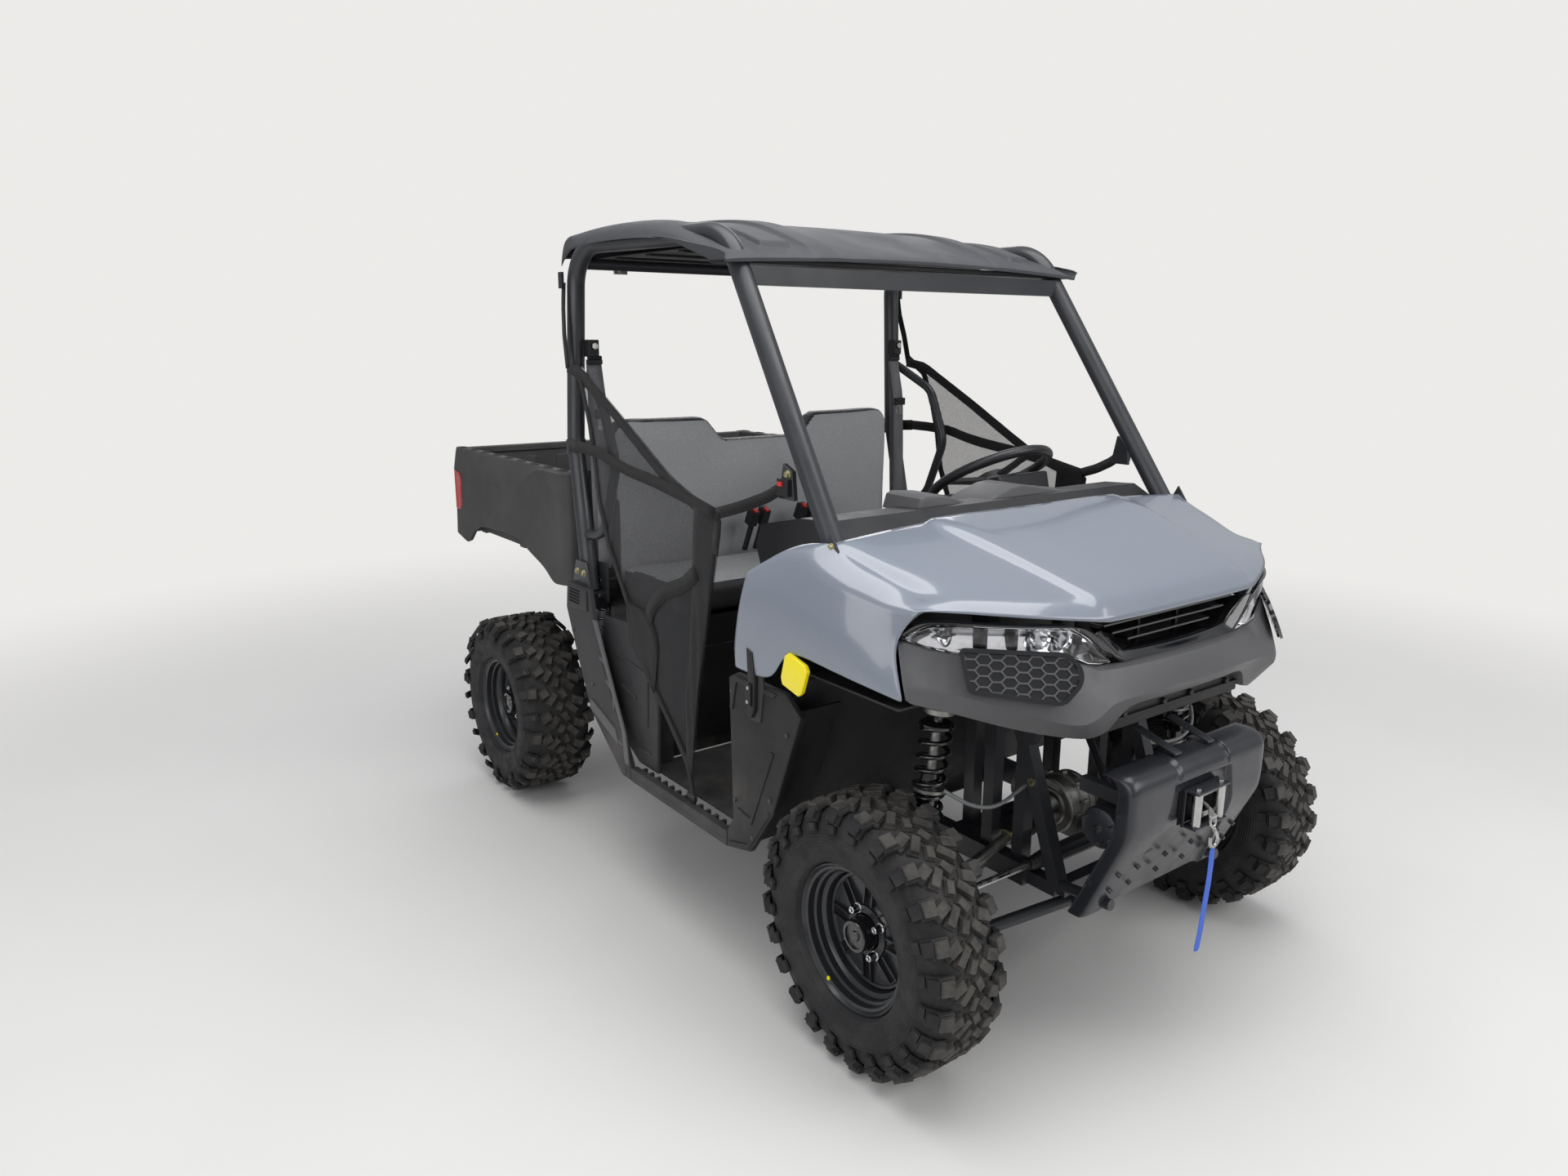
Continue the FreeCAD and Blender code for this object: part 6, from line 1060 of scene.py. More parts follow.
# near-black strips across the vent: painted shade for its slots
for i in range(vent["louvres"]):
    z, shift = vent["low"] + i * vent["pitch"], i * vent["shift"]
    block(bm, (vent["from"] + shift, sides["skin"] + .0045, z),
          (vent["to"] + shift, sides["skin"] + .0058, z + vent["tall"]))
piece("ventLouvreShade", bm, "void_black", both=True, angle=30)
for points in (((-.128, .600), (-.085, .572), (-.082, .520), (-.090, .520), (-.094, .568), (-.130, .592)),
               ((-.105, .452), (-.040, .428), (-.046, .420), (-.100, .440)),
               ((-.165, .660), (-.110, .640), (-.112, .634), (-.166, .652))):
    flank(marks, points, sides["skin"] - .002, .0032, .0006)
piece("panelMarks", marks, "cover_plastic", both=True, angle=30)

sill = {"ribs": 13, "from": .020, "pitch": .0365, "rib": .010}  # an upstand with ribs along its top
bm = bmesh.new()
block(bm, (.0025, .650, .331), (.4915, .690, .350))
block(bm, (.0025, .668, .348), (.4915, .690, .372))
for i in range(sill["ribs"]):
    x = sill["from"] + i * sill["pitch"]
    block(bm, (x, .648, .349), (x + sill["rib"], .670, .368))
piece("sillRail", bm, "plastic_black", instead="rockers", both=True, bevel=.0025)

sidePlate("frontPanel", ((.4925, .331), (.590, .356), (.682, .483), (.784, .752), (.724, .793), (.532, .791),
                         (.505, .775), (.519, .417), (.4925, .377)),
          "dark_liner", "front_side_panels")
bm = bmesh.new()
for points in (((.512, .700), (.526, .786), (.700, .786), (.690, .774), (.540, .772), (.524, .700)),
               ((.540, .440), (.600, .430), (.690, .640), (.676, .640), (.594, .446), (.542, .454)),
               ((.500, .340), (.588, .364), (.676, .484), (.668, .488), (.582, .374), (.502, .352))):
    flank(bm, points, sides["skin"] - .001, .004, .0015)
piece("frontPanelRibs", bm, "dark_liner", both=True, angle=35)
bm = bmesh.new()  # panel behind the front wheel, folded inwards
flank(bm, ((.556, .356), (.646, .483), (.748, .752), (.740, .752), (.638, .483), (.548, .362)), .672, -.13,
      .002)
piece("archReturn", bm, "dark_liner", both=True, angle=35)
bm = bmesh.new()
for x, z in ((.520, .745), (.530, .470), (.604, .400), (.674, .520), (.738, .700), (-.330, .700),
             (-.215, .560), (-.030, .350)):
    rod(bm, (x, sides["skin"] - .001, z), (x, sides["skin"] + .0035, z), .0062, .0050, 14)
piece("panelScrews", bm, "frame_black", both=True, angle=30)

# rubber latch in the fender's notch and the yellow side marker
bm = bmesh.new()
flank(bm, ((.600, .872), (.622, .866), (.632, .800), (.630, .730), (.618, .708), (.604, .712), (.606, .790)),
      .694, .012, .004, 3)
block(bm, (.606, .702, .740), (.626, .712, .790))
piece("rubberLatch", bm, "dark_liner", both=True, angle=40)
bm = bmesh.new()
flank(bm, ((.594, .880), (.640, .870), (.652, .790), (.640, .700), (.600, .696), (.590, .790)), .689, .005,
      .002)
piece("latchSeat", bm, "plastic_black", both=True, angle=35)
bm = bmesh.new()
rod(bm, (.614, .705, .748), (.614, .713, .748), .0052, .0045, 14)
rod(bm, (.616, .705, .782), (.616, .713, .782), .0052, .0045, 14)
piece("latchRivets", bm, "bare_steel", both=True, angle=30)
bm = bmesh.new()
flank(bm, ((.744, .824), (.738, .840), (.752, .892), (.764, .900), (.822, .886), (.830, .874), (.812, .822),
           (.800, .812)), .700, .010, .003, 3)
piece("sideMarker", bm, "yellow_reflector", "hood_lid", both=True, angle=40)
print("side panels made")

# roof: a crowned moulding with a lip, ribs and wedge pads, each row from the middle outwards, front first
canopy = {
    "rows": (  # along, middle height, rib share, pad lift, edge height
        (.4095, 1.742, 0, 0, 1.737), (.4110, 1.751, .1, 0, 1.746), (.404, 1.7565, .2, 0, 1.749),
        (.384, 1.766, .55, 0, 1.754), (.352, 1.778, .95, 0, 1.760), (.344, 1.781, 1, .013, 1.762),
        (.270, 1.806, 1, .013, 1.774), (.200, 1.829, 1, .008, 1.787), (.150, 1.842, 1, .001, 1.794),
        (.070, 1.857, 1, 0, 1.801), (-.060, 1.867, 1, 0, 1.806), (-.240, 1.869, 1, 0, 1.805),
        (-.372, 1.863, 1, 0, 1.797), (-.380, 1.860, .2, 0, 1.795), (-.418, 1.846, 0, 0, 1.774),
        (-.434, 1.826, 0, 0, 1.760), (-.440, 1.790, 0, 0, 1.752)),
    "columns": (  # out, rib lift, share of the pad
        (0, 0, 0), (.12, 0, 0), (.277, 0, 0), (.2785, .001, 0), (.284, .0085, 0), (.288, .0090, 0),
        (.346, .0090, 0), (.350, .0085, 0), (.3555, .001, 0), (.357, 0, 0), (.392, 0, 0), (.3935, 0, .06),
        (.399, 0, .96), (.402, 0, 1), (.474, 0, 1), (.477, 0, .96), (.4825, 0, .06), (.484, 0, 0),
        (.528, 0, 0), (.534, .0050, 0), (.566, .0040, 0), (.592, -.0040, 0), (.612, -.018, 0),
        (.6205, -.034, 0)),
    "sink": .016,
}
lines = []
for x, z, rib, pad, edge in canopy["rows"]:
    line = []
    for y, lift, share in canopy["columns"]:
        line.append((x - .012 * (y / .62) ** 2, y, z + lift * rib +
                     pad * share - canopy["sink"] * (y / .6) ** 2))
    lines.append(line + [(x - .013, .6240, max(edge, z - .060)), (x - .013, .6215, edge)])
bm = bmesh.new()
cage(bm, lines, (("row", 0, .6), ("row", 1, .8), ("row", 4, .5), ("row", 5, .6), ("col", 24, .5)))
across(bm)
piece("roofShell", bm, "roof_plastic", "chassis", "roof", angle=24, skin=.005, levels=2)
bm = bmesh.new()  # darker liner under the roof, stopping short of the rails
block(bm, (-.380, -.560, 1.772), (.300, .560, 1.776))
block(bm, (.300, -.600, 1.728), (.384, .600, 1.741))
for x in (-.25, -.08, .09):
    block(bm, (x - .012, -.55, 1.766), (x + .012, .55, 1.773))
piece("roofLiner", bm, "dark_liner", bevel=.002)
bm = bmesh.new()
for y in (-.46, .46):
    rod(bm, (-.405, y, 1.745), (-.389, y, 1.745), .008, sides=6)
    block(bm, (-.402, y - .022, 1.735), (-.396, y + .022, 1.785))
piece("roofBrackets", bm, "bare_steel", bevel=.001)

# cage: sleeves, feet, bolts and the gussets on the front pillars
bm = bmesh.new()
rod(bm, (-.392, .628, 1.262), (-.388, .6285, 1.222), .0285, sides=32)
for z in (1.258, 1.226):
    rod(bm, (-.392, .628, z), (-.3915, .628, z - .006), .0300, sides=32)
block(bm, (-.345, .605, .790), (-.255, .6125, .905))
flank(bm, ((-.352, .795), (-.352, .86), (-.328, .915), (-.272, .915), (-.248, .86), (-.248, .795)), .668,
      .006, .001)
flank(bm, ((.778, 1.118), (.828, 1.070), (.838, 1.108), (.800, 1.160)), .622, .006, .001)
flank(bm, ((.590, 1.205), (.648, 1.205), (.640, 1.270), (.606, 1.285)), .596, .012, .002)
piece("cageFittings", bm, "frame_black", both=True, angle=35, bevel=.0012)
bm = bmesh.new()
for x, y, z in ((-.320, .674, .882), (-.278, .674, .882), (-.320, .674, .822), (-.278, .674, .822),
                (.806, .628, 1.128), (.613, .608, 1.228), (.625, .608, 1.262)):
    rod(bm, (x, y - .001, z), (x, y + .0065, z), .0082, .0076, 6)
    rod(bm, (x, y - .0015, z), (x, y + .0012, z), .0105, sides=18)
piece("cageBolts", bm, "zinc", both=True, angle=30, bevel=.0008)
print("roof and cage fittings made")

# side nets: a stretched mesh sheet with webbing sewn round it, then the belts and the pull strap
def through(points, share):  # a point at a share of a line's length
    points = [Vector(p) for p in points]
    steps = [(b - a).length for a, b in zip(points, points[1:])]
    left = share * sum(steps)
    for a, b, step in zip(points, points[1:], steps):
        if left <= step or b == points[-1]:
            return a.lerp(b, min(1, left / step))
        left -= step


def ribbon(bm, points, width, facing=(0, 1, 0), wave=0.0, cuts=0):  # a flat band along a line
    points = [Vector(p) for p in points]
    if cuts:
        points = [through(points, i / cuts) for i in range(cuts + 1)]
    facing, dice = Vector(facing), random.Random(len(points))
    edge = None
    for i, p in enumerate(points):
        way = (points[min(i + 1, len(points) - 1)] - points[max(i - 1, 0)]).normalized()
        out = way.cross(facing).normalized() * (width / 2)
        lift = facing * (dice.uniform(-wave, wave))
        if edge is None:
            pair = [bm.verts.new(p + out + lift), bm.verts.new(p - out - lift)]
            edge = bm.edges.new(pair)
            continue
        made = bmesh.ops.extrude_edge_only(bm, edges=[edge])["geom"]
        fresh = vertsOf(made)
        edge = next(g for g in made if isinstance(g, bmesh.types.BMEdge) and all(v in fresh for v in g.verts))
        olds = [next(e.other_vert(v) for e in v.link_edges if e.other_vert(v) not in fresh) for v in fresh]
        pair = fresh if olds[0] is pair[0] else fresh[::-1]
        pair[0].co, pair[1].co = p + out + lift, p - out - lift


net = {
    "rear": ((-.355, .6600, 1.481), (-.277, .6620, 1.432), (-.231, .6640, 1.324), (-.205, .6650, 1.237),
             (-.183, .6660, 1.110), (-.130, .6675, .985), (-.023, .6690, .835), (.090, .6695, .648),
             (.190, .6700, .560), (.278, .6700, .472), (.300, .6705, .392)),
    "front": ((-.352, .6600, 1.483), (-.263, .6620, 1.469), (-.032, .6650, 1.351), (.132, .6665, 1.263),
              (.218, .6675, 1.218), (.349, .6685, 1.174), (.446, .6690, 1.157), (.419, .6695, 1.019),
              (.380, .6700, .850), (.338, .6705, .671), (.309, .6705, .481), (.304, .6705, .392)),
    "strip": ((.335, .6720, 1.160), (.323, .6725, .978), (.312, .6725, .834), (.283, .6730, .655),
              (.282, .6730, .472), (.296, .6725, .392)),
    "rows": 48, "columns": 20, "belly": .007, "flat": (.86, 1.20),
    "bands": (  # width, pieces along, points
        (.032, 24, ((-.345, .667, 1.250), (-.237, .669, 1.249), (-.141, .673, 1.243), (-.070, .6735, 1.226),
                    (.018, .6735, 1.212), (.147, .6725, 1.199), (.290, .672, 1.178), (.425, .672, 1.152))),
        (.040, 14, ((.345, .6745, .998), (.285, .6745, .954), (.188, .6745, .918), (.126, .6745, .872),
                    (.098, .6745, .826))),
        (.026, 4, ((.300, .671, .404), (.300, .669, .386), (.300, .662, .3785))),
        (.024, 10, ((-.350, .664, 1.470), (-.372, .660, 1.560), (-.392, .650, 1.640), (-.397, .6435, 1.705))),
        (.036, 12, ((-.322, .666, 1.250), (-.360, .664, 1.247), (-.4195, .640, 1.245),
                    (-.4215, .620, 1.245))),
        (.028, 10, ((.430, .671, 1.154), (.50, .655, 1.176), (.57, .628, 1.205), (.612, .612, 1.232)))),
    "patch": (((-.023, .6725, .845), (-.012, .6725, .732), (.100, .6725, .636), (.118, .6725, .622)),
              ((-.010, .6725, .848), (.101, .6735, .842), (.153, .6735, .780), (.124, .6725, .630))),
}
for label, way in (("right", -1), ("left", 1)):
    grid = []
    for i in range(net["rows"] + 1):
        share = i / net["rows"]
        a, b = through(net["rear"], share), through(net["front"], share)
        row = []
        for j in range(net["columns"] + 1):
            part = j / net["columns"]
            p = a.lerp(b, part)
            sag = net["belly"] * math.sin(math.pi * part) * math.sin(math.pi * share)
            p.y += sag - .004 + .0012 * math.sin(9 * share + 7 * part)
            row.append((p.x, p.y * way, p.z))
        grid.append(row)
    bm = bmesh.new()
    cage(bm, grid)
    cloth = piece("netMesh_" + label, bm, "net_mesh", instead="side_nets" if way < 0 else None, angle=180)
    rear, front = ([(p.x, (p.y + .0022) * way, p.z) for p in (through(net[k], i / 60) for i in range(61))]
                   for k in ("rear", "front"))
    bm = bmesh.new()
    face = (0, 1, 0)
    ribbon(bm, [(x + .008, y, z + .003) for x, y, z in rear], .022, face, .0008)
    ribbon(bm, [(x - .006, y, z - .012) for x, y, z in front[:36]], .030, face, .0008)
    for width, cuts, points in net["bands"]:
        ribbon(bm, [(x, y * way, z) for x, y, z in points], width, face, .0006 if cuts > 12 else 0, cuts)
    webbing = piece("netWebbing_" + label, bm, "webbing", angle=60, skin=.0016)
    bm = bmesh.new()  # broad plain strip down the front edge, creased where it was folded
    inner, outer = (lambda s: through(net["strip"], s)), (lambda s: through(net["front"][6:], s))
    cage(bm, [[(p.x, (p.y + .0022 + .0016 * math.sin(j * 1.9 + i * .8) * math.sin(math.pi * i / 30)) * way,
                p.z)
               for j in range(7) for p in [outer(i / 30).lerp(inner(i / 30), j / 6)]] for i in range(31)])
    strip = piece("netStrip_" + label, bm, "webbing", angle=180, skin=.0012)
    bm = bmesh.new()  # sewn patch at the low rear edge
    cage(bm, [[(p.x, (p.y + .0016 + .0018 * math.sin(j * 2.1 + i)) * way, p.z) for j in range(7)
               for p in [through(net["patch"][0], i / 8).lerp(through(net["patch"][1], i / 8), j / 6)]]
               for i in range(9)])
    sewn = piece("netPatch_" + label, bm, "webbing", angle=180, skin=.0012)
    size = sum(f.area for f in cloth.data.polygons)
    bm = bmesh.new()  # hooks and buckles
    block(bm, (-.408, .648, 1.690), (-.386, .656, 1.735))
    block(bm, (.600, .606, 1.214), (.640, .620, 1.252))
    flank(bm, ((.280, .396), (.320, .396), (.316, .376), (.284, .376)), .6660, .009, .001)
    if way < 0:
        bmesh.ops.scale(bm, vec=(1, -1, 1), verts=bm.verts[:])
        bmesh.ops.reverse_faces(bm, faces=bm.faces[:])
    piece("netBuckles_" + label, bm, "dark_liner", bevel=.0012)
bm = bmesh.new()
block(bm, (.606, .618, 1.236), (.622, .624, 1.246))
piece("netButtons", bm, "red_button", both=True, bevel=.001)

# belts: reel, two runs of webbing up to the ring, tongue, and the buckles between the seats
belt = {"wide": .044, "up": ((-.318, .590, .880), (-.330, .590, 1.10), (-.336, .588, 1.30),
                             (-.346, .586, 1.492)),
        "down": ((-.346, .583, 1.492), (-.312, .584, 1.35), (-.304, .586, 1.12), (-.306, .590, .876))}
for label, way in (("right", -1), ("left", 1)):
    for kind in ("up", "down"):
        bm = bmesh.new()
        ribbon(bm, [(x, y * way, z) for x, y, z in belt[kind]], belt["wide"], (1, 0, 0), .0006, 16)
        run = piece(f"belt_{kind}_{label}", bm, "belt",
                    instead="seat_belts" if (kind, way) == ("up", 1) else None, angle=60, skin=.0015)
bm = bmesh.new()
block(bm, (-.366, .574, 1.500), (-.328, .606, 1.548))
rod(bm, (-.340, .562, 1.497), (-.340, .606, 1.497), .006, sides=12)
block(bm, (-.346, .560, 1.478), (-.336, .608, 1.492))
block(bm, (-.330, .566, .822), (-.276, .604, .880))
rod(bm, (-.303, .564, .850), (-.303, .606, .850), .028, sides=24)
block(bm, (-.317, .563, 1.325), (-.298, .605, 1.350))
piece("beltFittings", bm, "dark_liner", both=True, bevel=.002)
bm = bmesh.new()
block(bm, (-.312, .572, 1.292), (-.308, .596, 1.326))
rod(bm, (-.326, .590, 1.530), (-.320, .590, 1.530), .010, sides=6)
rod(bm, (-.300, .608, .850), (-.300, .614, .850), .009, sides=6)
piece("beltMetal", bm, "bare_steel", both=True, bevel=.0008)
bm = bmesh.new()
for y in (.070, .112):
    flank(bm, ((-.268, .890), (-.250, .890), (-.205, .985), (-.222, .992)), y, .010, .001)
    block(bm, (-.228, y - .008, .978), (-.196, y + .020, 1.030), spun(24))
piece("buckleStalks", bm, "dark_liner", both=True, bevel=.002)
bm = bmesh.new()
for y in (.076, .118):
    block(bm, (-.205, y - .006, 1.020), (-.186, y + .006, 1.031), spun(24))
piece("buckleButtons", bm, "red_button", both=True, bevel=.001)

# blue strap hanging from the hook
strap = {"wide": .024, "run": ((1.3665, 0, .482), (1.3675, 0, .44), (1.3668, -.002, .39),
                               (1.3655, -.006, .34), (1.3660, -.012, .29), (1.3650, -.020, .232))}
bm = bmesh.new()
ribbon(bm, strap["run"], strap["wide"], (1, 0, 0), .0003, 18)
pull = piece("pullStrap", bm, "strap_blue", instead="pull_strap", angle=60, skin=.0018, levels=1)
print("nets, belts and strap made")

# bench: cushion and split back, each swelled by a short cloth run
seat = {
    "back": {"face": -.318, "rear": -.378, "line": ((0, 1.254), (.130, 1.254), (.152, 1.258), (.212, 1.318),
        (.236, 1.325), (.492, 1.323), (.530, 1.312), (.551, 1.284), (.553, 1.20), (.549, .99), (.553, .80))},
    "base": {"line": ((-.296, .796), (-.296, .872), (-.20, .880), (-.02, .884), (.034, .878), (.049, .862),
                      (.050, .796)), "half": .550},
    "voxel": .0105, "pressure": 4.0, "frames": 20, "cap": .012,
}


def swell(bm, name):  # even mesh, blown up a little, no point moving further than the cap
    mesh = bpy.data.meshes.new(name)
    bm.to_mesh(mesh)
    bm.free()
    held = bpy.data.objects.new(name, mesh)
    bpy.context.collection.objects.link(held)
    even = held.modifiers.new("even", "REMESH")
    even.mode, even.voxel_size = "VOXEL", seat["voxel"]
    graph = bpy.context.evaluated_depsgraph_get()
    mesh = bpy.data.meshes.new_from_object(held.evaluated_get(graph))
    held.modifiers.clear()
    held.data = mesh
    start = [v.co.copy() for v in mesh.vertices]
    cloth = held.modifiers.new("fill", "CLOTH")
    cloth.settings.use_pressure, cloth.settings.uniform_pressure_force = True, seat["pressure"]
    cloth.settings.effector_weights.gravity = 0.0
    cloth.settings.quality = 4
    cloth.point_cache.frame_end = seat["frames"]
    for number in range(1, seat["frames"] + 1):
        bpy.context.scene.frame_set(number)
    graph = bpy.context.evaluated_depsgraph_get()
    blown = bpy.data.meshes.new_from_object(held.evaluated_get(graph))
    for v, p in zip(blown.vertices, start):
        move = v.co - p
        v.co = p + move * min(1.0, seat["cap"] / max(move.length, 1e-6))
    bpy.data.objects.remove(held)
    bpy.context.scene.frame_set(1)
    return blown


def cushion(name, bm, node, front):
    mesh = swell(bm, name + "Form")
    bm = bmesh.new()
    bm.from_mesh(mesh)
    bmesh.ops.smooth_vert(bm, verts=bm.verts[:], factor=.5, use_axis_x=True, use_axis_y=True, use_axis_z=True)
    obj = piece(name, bm, ("seat_vinyl", "seat_edge"), instead=node, angle=180, levels=1)
    for face in obj.data.polygons:
        face.material_index = 0 if face.normal.dot(Vector(front)) > .80 else 1
    return obj


half = [Vector((0, y, z)) for y, z in seat["back"]["line"]]
ring = [Vector((0, -p.y, p.z)) for p in half[:0:-1]] + half
bm = bmesh.new()
slab(bm, [(seat["back"]["rear"], p.y, p.z) for p in ring],
     (seat["back"]["face"] - seat["back"]["rear"], 0, 0), .020, 4)
for v in bm.verts:  # the lower back leans out a little where it carries the spine
    if v.co.x > -.34 and .82 < v.co.z < 1.05 and abs(v.co.y) < .5:
        v.co.x += .008
cushion("seatBackrest", bm, "seat_back", (1, 0, .15))
bm = bmesh.new()
slab(bm, [(x, -seat["base"]["half"], z) for x, z in seat["base"]["line"]], (0, seat["base"]["half"] * 2, 0),
     .012, 3)
cushion("seatCushion", bm, "seat_base", (0, 0, 1))

# moulded box under the cushion, its side walls pressed with marks
bm = bmesh.new()
flank(bm, ((-.306, .378), (.016, .378), (.047, .7836), (-.306, .7836)), -.576, 1.152, .006, 3)
piece("seatPlinth", bm, "dark_liner", instead="seat_box", angle=35)
bm = bmesh.new()  # closing panels between the plinth and the side panels
flank(bm, ((-.205, .766), (-.033, .777), (.055, .745), (.104, .655), (.092, .374), (-.010, .374),
           (-.130, .440), (-.215, .560)), .644, .011, .005, 3)
block(bm, (-.200, .560, .752), (-.030, .648, .762))
block(bm, (-.330, .002, .745), (-.322, .575, .905))
block(bm, (.030, .570, .380), (.040, .648, .700))
piece("plinthSides", bm, "plastic_black", both=True, angle=35)
bm = bmesh.new()
for points in (((-.124, .676), (.057, .655), (.049, .498), (.043, .500), (.050, .649), (-.122, .668)),
               ((-.100, .586), (-.015, .571), (-.013, .562), (-.095, .575)),
               ((-.034, .420), (.058, .427), (.060, .419), (-.020, .410))):
    flank(bm, points, .6545, .0040, .001)
for y in (-.42, -.14, .14, .42):
    slab(bm, ((.0175, y - .11, .42), (.0175, y + .11, .42), (.040, y + .10, .70), (.040, y - .10, .70)),
         (.0065, 0, 0), .0015)
piece("plinthMarks", bm, "plastic_black", both=True, angle=35)
print("seats made")

# dash: console face, cubbies, gauge and switches over the plain shell
dash = {
    "humps": (  # outlines across the vehicle, seen over the hood
        ((-.252, 1.146), (-.240, 1.181), (-.222, 1.187), (-.150, 1.181), (-.040, 1.146)),
        ((-.028, 1.146), (.003, 1.160), (.085, 1.184), (.130, 1.187), (.262, 1.164), (.39, 1.146))),
    "humpFrom": .545, "humpLong": .125, "switches": 4, "switchFrom": -.075, "switchPitch": .042,
    "switch": .028, }
bm = bmesh.new()
block(bm, (.432, -.10, .98), (.452, .10, 1.108))
block(bm, (.424, .245, 1.118), (.486, .455, 1.176), spun(-14))
block(bm, (.426, -.53, 1.062), (.448, -.14, 1.078))
piece("dashPods", bm, "dash_gloss", bevel=.009)
bm = bmesh.new()
for outline in dash["humps"]:
    slab(bm, [(dash["humpFrom"], y, z) for y, z in outline], (dash["humpLong"], 0, 0), .006)
piece("dashHumps", bm, "cover_plastic", angle=35, bevel=.004)
# near-black backs of the two cubbies: painted shade in their hollows
bm = bmesh.new()
for y, wide in ((-.335, .18), (.49, .05)):
    slab(bm, ((.433, y - wide, .925), (.433, y + wide, .925), (.4335, y + wide, 1.045),
              (.4335, y - wide, 1.045)),
         (-.006, 0, 0), .0)
piece("dashHollowShade", bm, "void_black", angle=30, bevel=.002)
bm = bmesh.new()
rod(bm, (.420, -.50, 1.012), (.420, -.17, 1.012), .011, sides=20)
for y in (-.50, -.17):
    rod(bm, (.420, y, 1.012), (.440, y, 1.012), .011, sides=16)
piece("dashRims", bm, "plastic_black", angle=50, bevel=.002)
bm = bmesh.new()
for i in range(dash["switches"]):
    y = dash["switchFrom"] + i * dash["switchPitch"]
    block(bm, (.424, y, 1.07), (.434, y + dash["switch"], 1.098))
for y in (-.05, .05):
    rod(bm, (.434, y, 1.030), (.414, y, 1.030), .016, .013, 20)
rod(bm, (.434, 0, .998), (.410, 0, .998), .006, .010, 14)
piece("dashSwitches", bm, "grille_black", bevel=.0016)
bm = bmesh.new()
slab(bm, ((.4155, .285, 1.134), (.4155, .415, 1.134), (.4300, .408, 1.166), (.4300, .292, 1.166)),
     (-.003, 0, .0012), .001)
piece("gaugeGlass", bm, "grille_black", angle=30)

# steering wheel about its own axis
steering = {"at": (.349, .350, 1.161), "axis": (-.5, 0, .8660254), "radius": .178, "grip": .0145, "sides": 14,
            "spokes": (90, -90, 0)}
wheelAt, wheelAxis = Vector(steering["at"]), Vector(steering["axis"])
hold = Matrix.Translation(wheelAt) @ Vector((0, 0, 1)).rotation_difference(wheelAxis).to_matrix().to_4x4()
bm = bmesh.new()
profile = []
for i in range(steering["sides"] + 1):
    a = i * math.tau / steering["sides"]
    profile.append((steering["radius"] + steering["grip"] * math.cos(a), steering["grip"] * math.sin(a)))
turned(bm, profile, wheelAt, wheelAxis, steps=72)
bmesh.ops.remove_doubles(bm, verts=bm.verts[:], dist=.0002)
spokes = bmesh.new()
for spin in steering["spokes"]:
    made = block(spokes, (.030, -.017, -.022), (.172, .017, -.008))
    for v in made:
        if v.co.x > .1:
            v.co.y *= .62
            v.co.z += .010
    bmesh.ops.rotate(spokes, cent=(0, 0, 0), matrix=spun(spin, "Z", 3), verts=made)
bmesh.ops.create_cone(spokes, cap_ends=True, segments=32, radius1=.052, radius2=.040, depth=.034,
                      matrix=Matrix.Translation((0, 0, -.012)))
caps = [f for f in spokes.faces if f.calc_center_median().z > .004 and len(f.verts) > 8]
bmesh.ops.inset_region(spokes, faces=caps, thickness=.005, depth=-.002)
bmesh.ops.create_cone(spokes, cap_ends=True, segments=24, radius1=.024, radius2=.030, depth=.05,
                      matrix=Matrix.Translation((0, 0, -.045)))
bmesh.ops.transform(spokes, matrix=hold, verts=spokes.verts[:])
piece("wheelGrip", bm, "dash_gloss", "hand_wheel", "steering_wheel", angle=180)
piece("wheelSpokes", spokes, "plastic_black", "hand_wheel", bevel=.003)
print("dash and steering wheel made")

# winch plate: pressed sheet in three fields, its middle set back in an arch round the fairlead
plate = {
    "rows": ((1.258, .6865), (1.292, .6880), (1.315, .6815), (1.3280, .6650), (1.3305, .648), (1.3305, .640),
             (1.3305, .632), (1.3305, .562), (1.324, .538), (1.290, .465), (1.234, .337), (1.224, .327)),
    "columns": (0, .074, .078, .090, .094, .100, .107, .114, .195, .228, .243, .2505),
    "widen": (0, 0, 0, 0, 0, 0, 0, .016, .026, .055, .080, .084), "recess": .011, "groove": .0055,
    "flange": .042, }
lines = []
for i, (x, z) in enumerate(plate["rows"]):
    line = []
    for j, y in enumerate(plate["columns"]):
        # the arch opens towards its foot
        spread = plate["widen"][i] * {5: 1, 6: 1, 7: .9}.get(j, 0) if i > 6 else 0
        back = plate["recess"] if i > 5 and j < 6 else 0
        sunk = plate["groove"] * (1.0, 1.0, 1.0, .8, .4)[i] if i < 5 and j in (3, 4) else 0
        lip = (0, .003, .010)[max(0, j - 9)]
        line.append((x - back - lip * .8 - sunk * .5, y + spread, z - sunk * (i < 4) - (lip if i < 4 else 0)))
    line.append((x - plate["flange"] * (.5 if i < 2 else 1), .2510, z - (.012 if i < 3 else 0)))
    lines.append(line)
bm = bmesh.new()
cage(bm, lines, (("row", 0, 1), ("row", 5, .7), ("row", 6, .8), ("row", 8, .25), ("row", 10, .7),
                 ("row", 11, 1), ("col", 3, .7), ("col", 4, .7), ("col", 2, .6), ("col", 5, .6),
                 ("col", 6, .6), ("col", 11, .35), ("col", 12, 1)))
across(bm)
piece("winchPlate", bm, "plate_black", instead="bumper_plate", angle=180, skin=.004, levels=2)
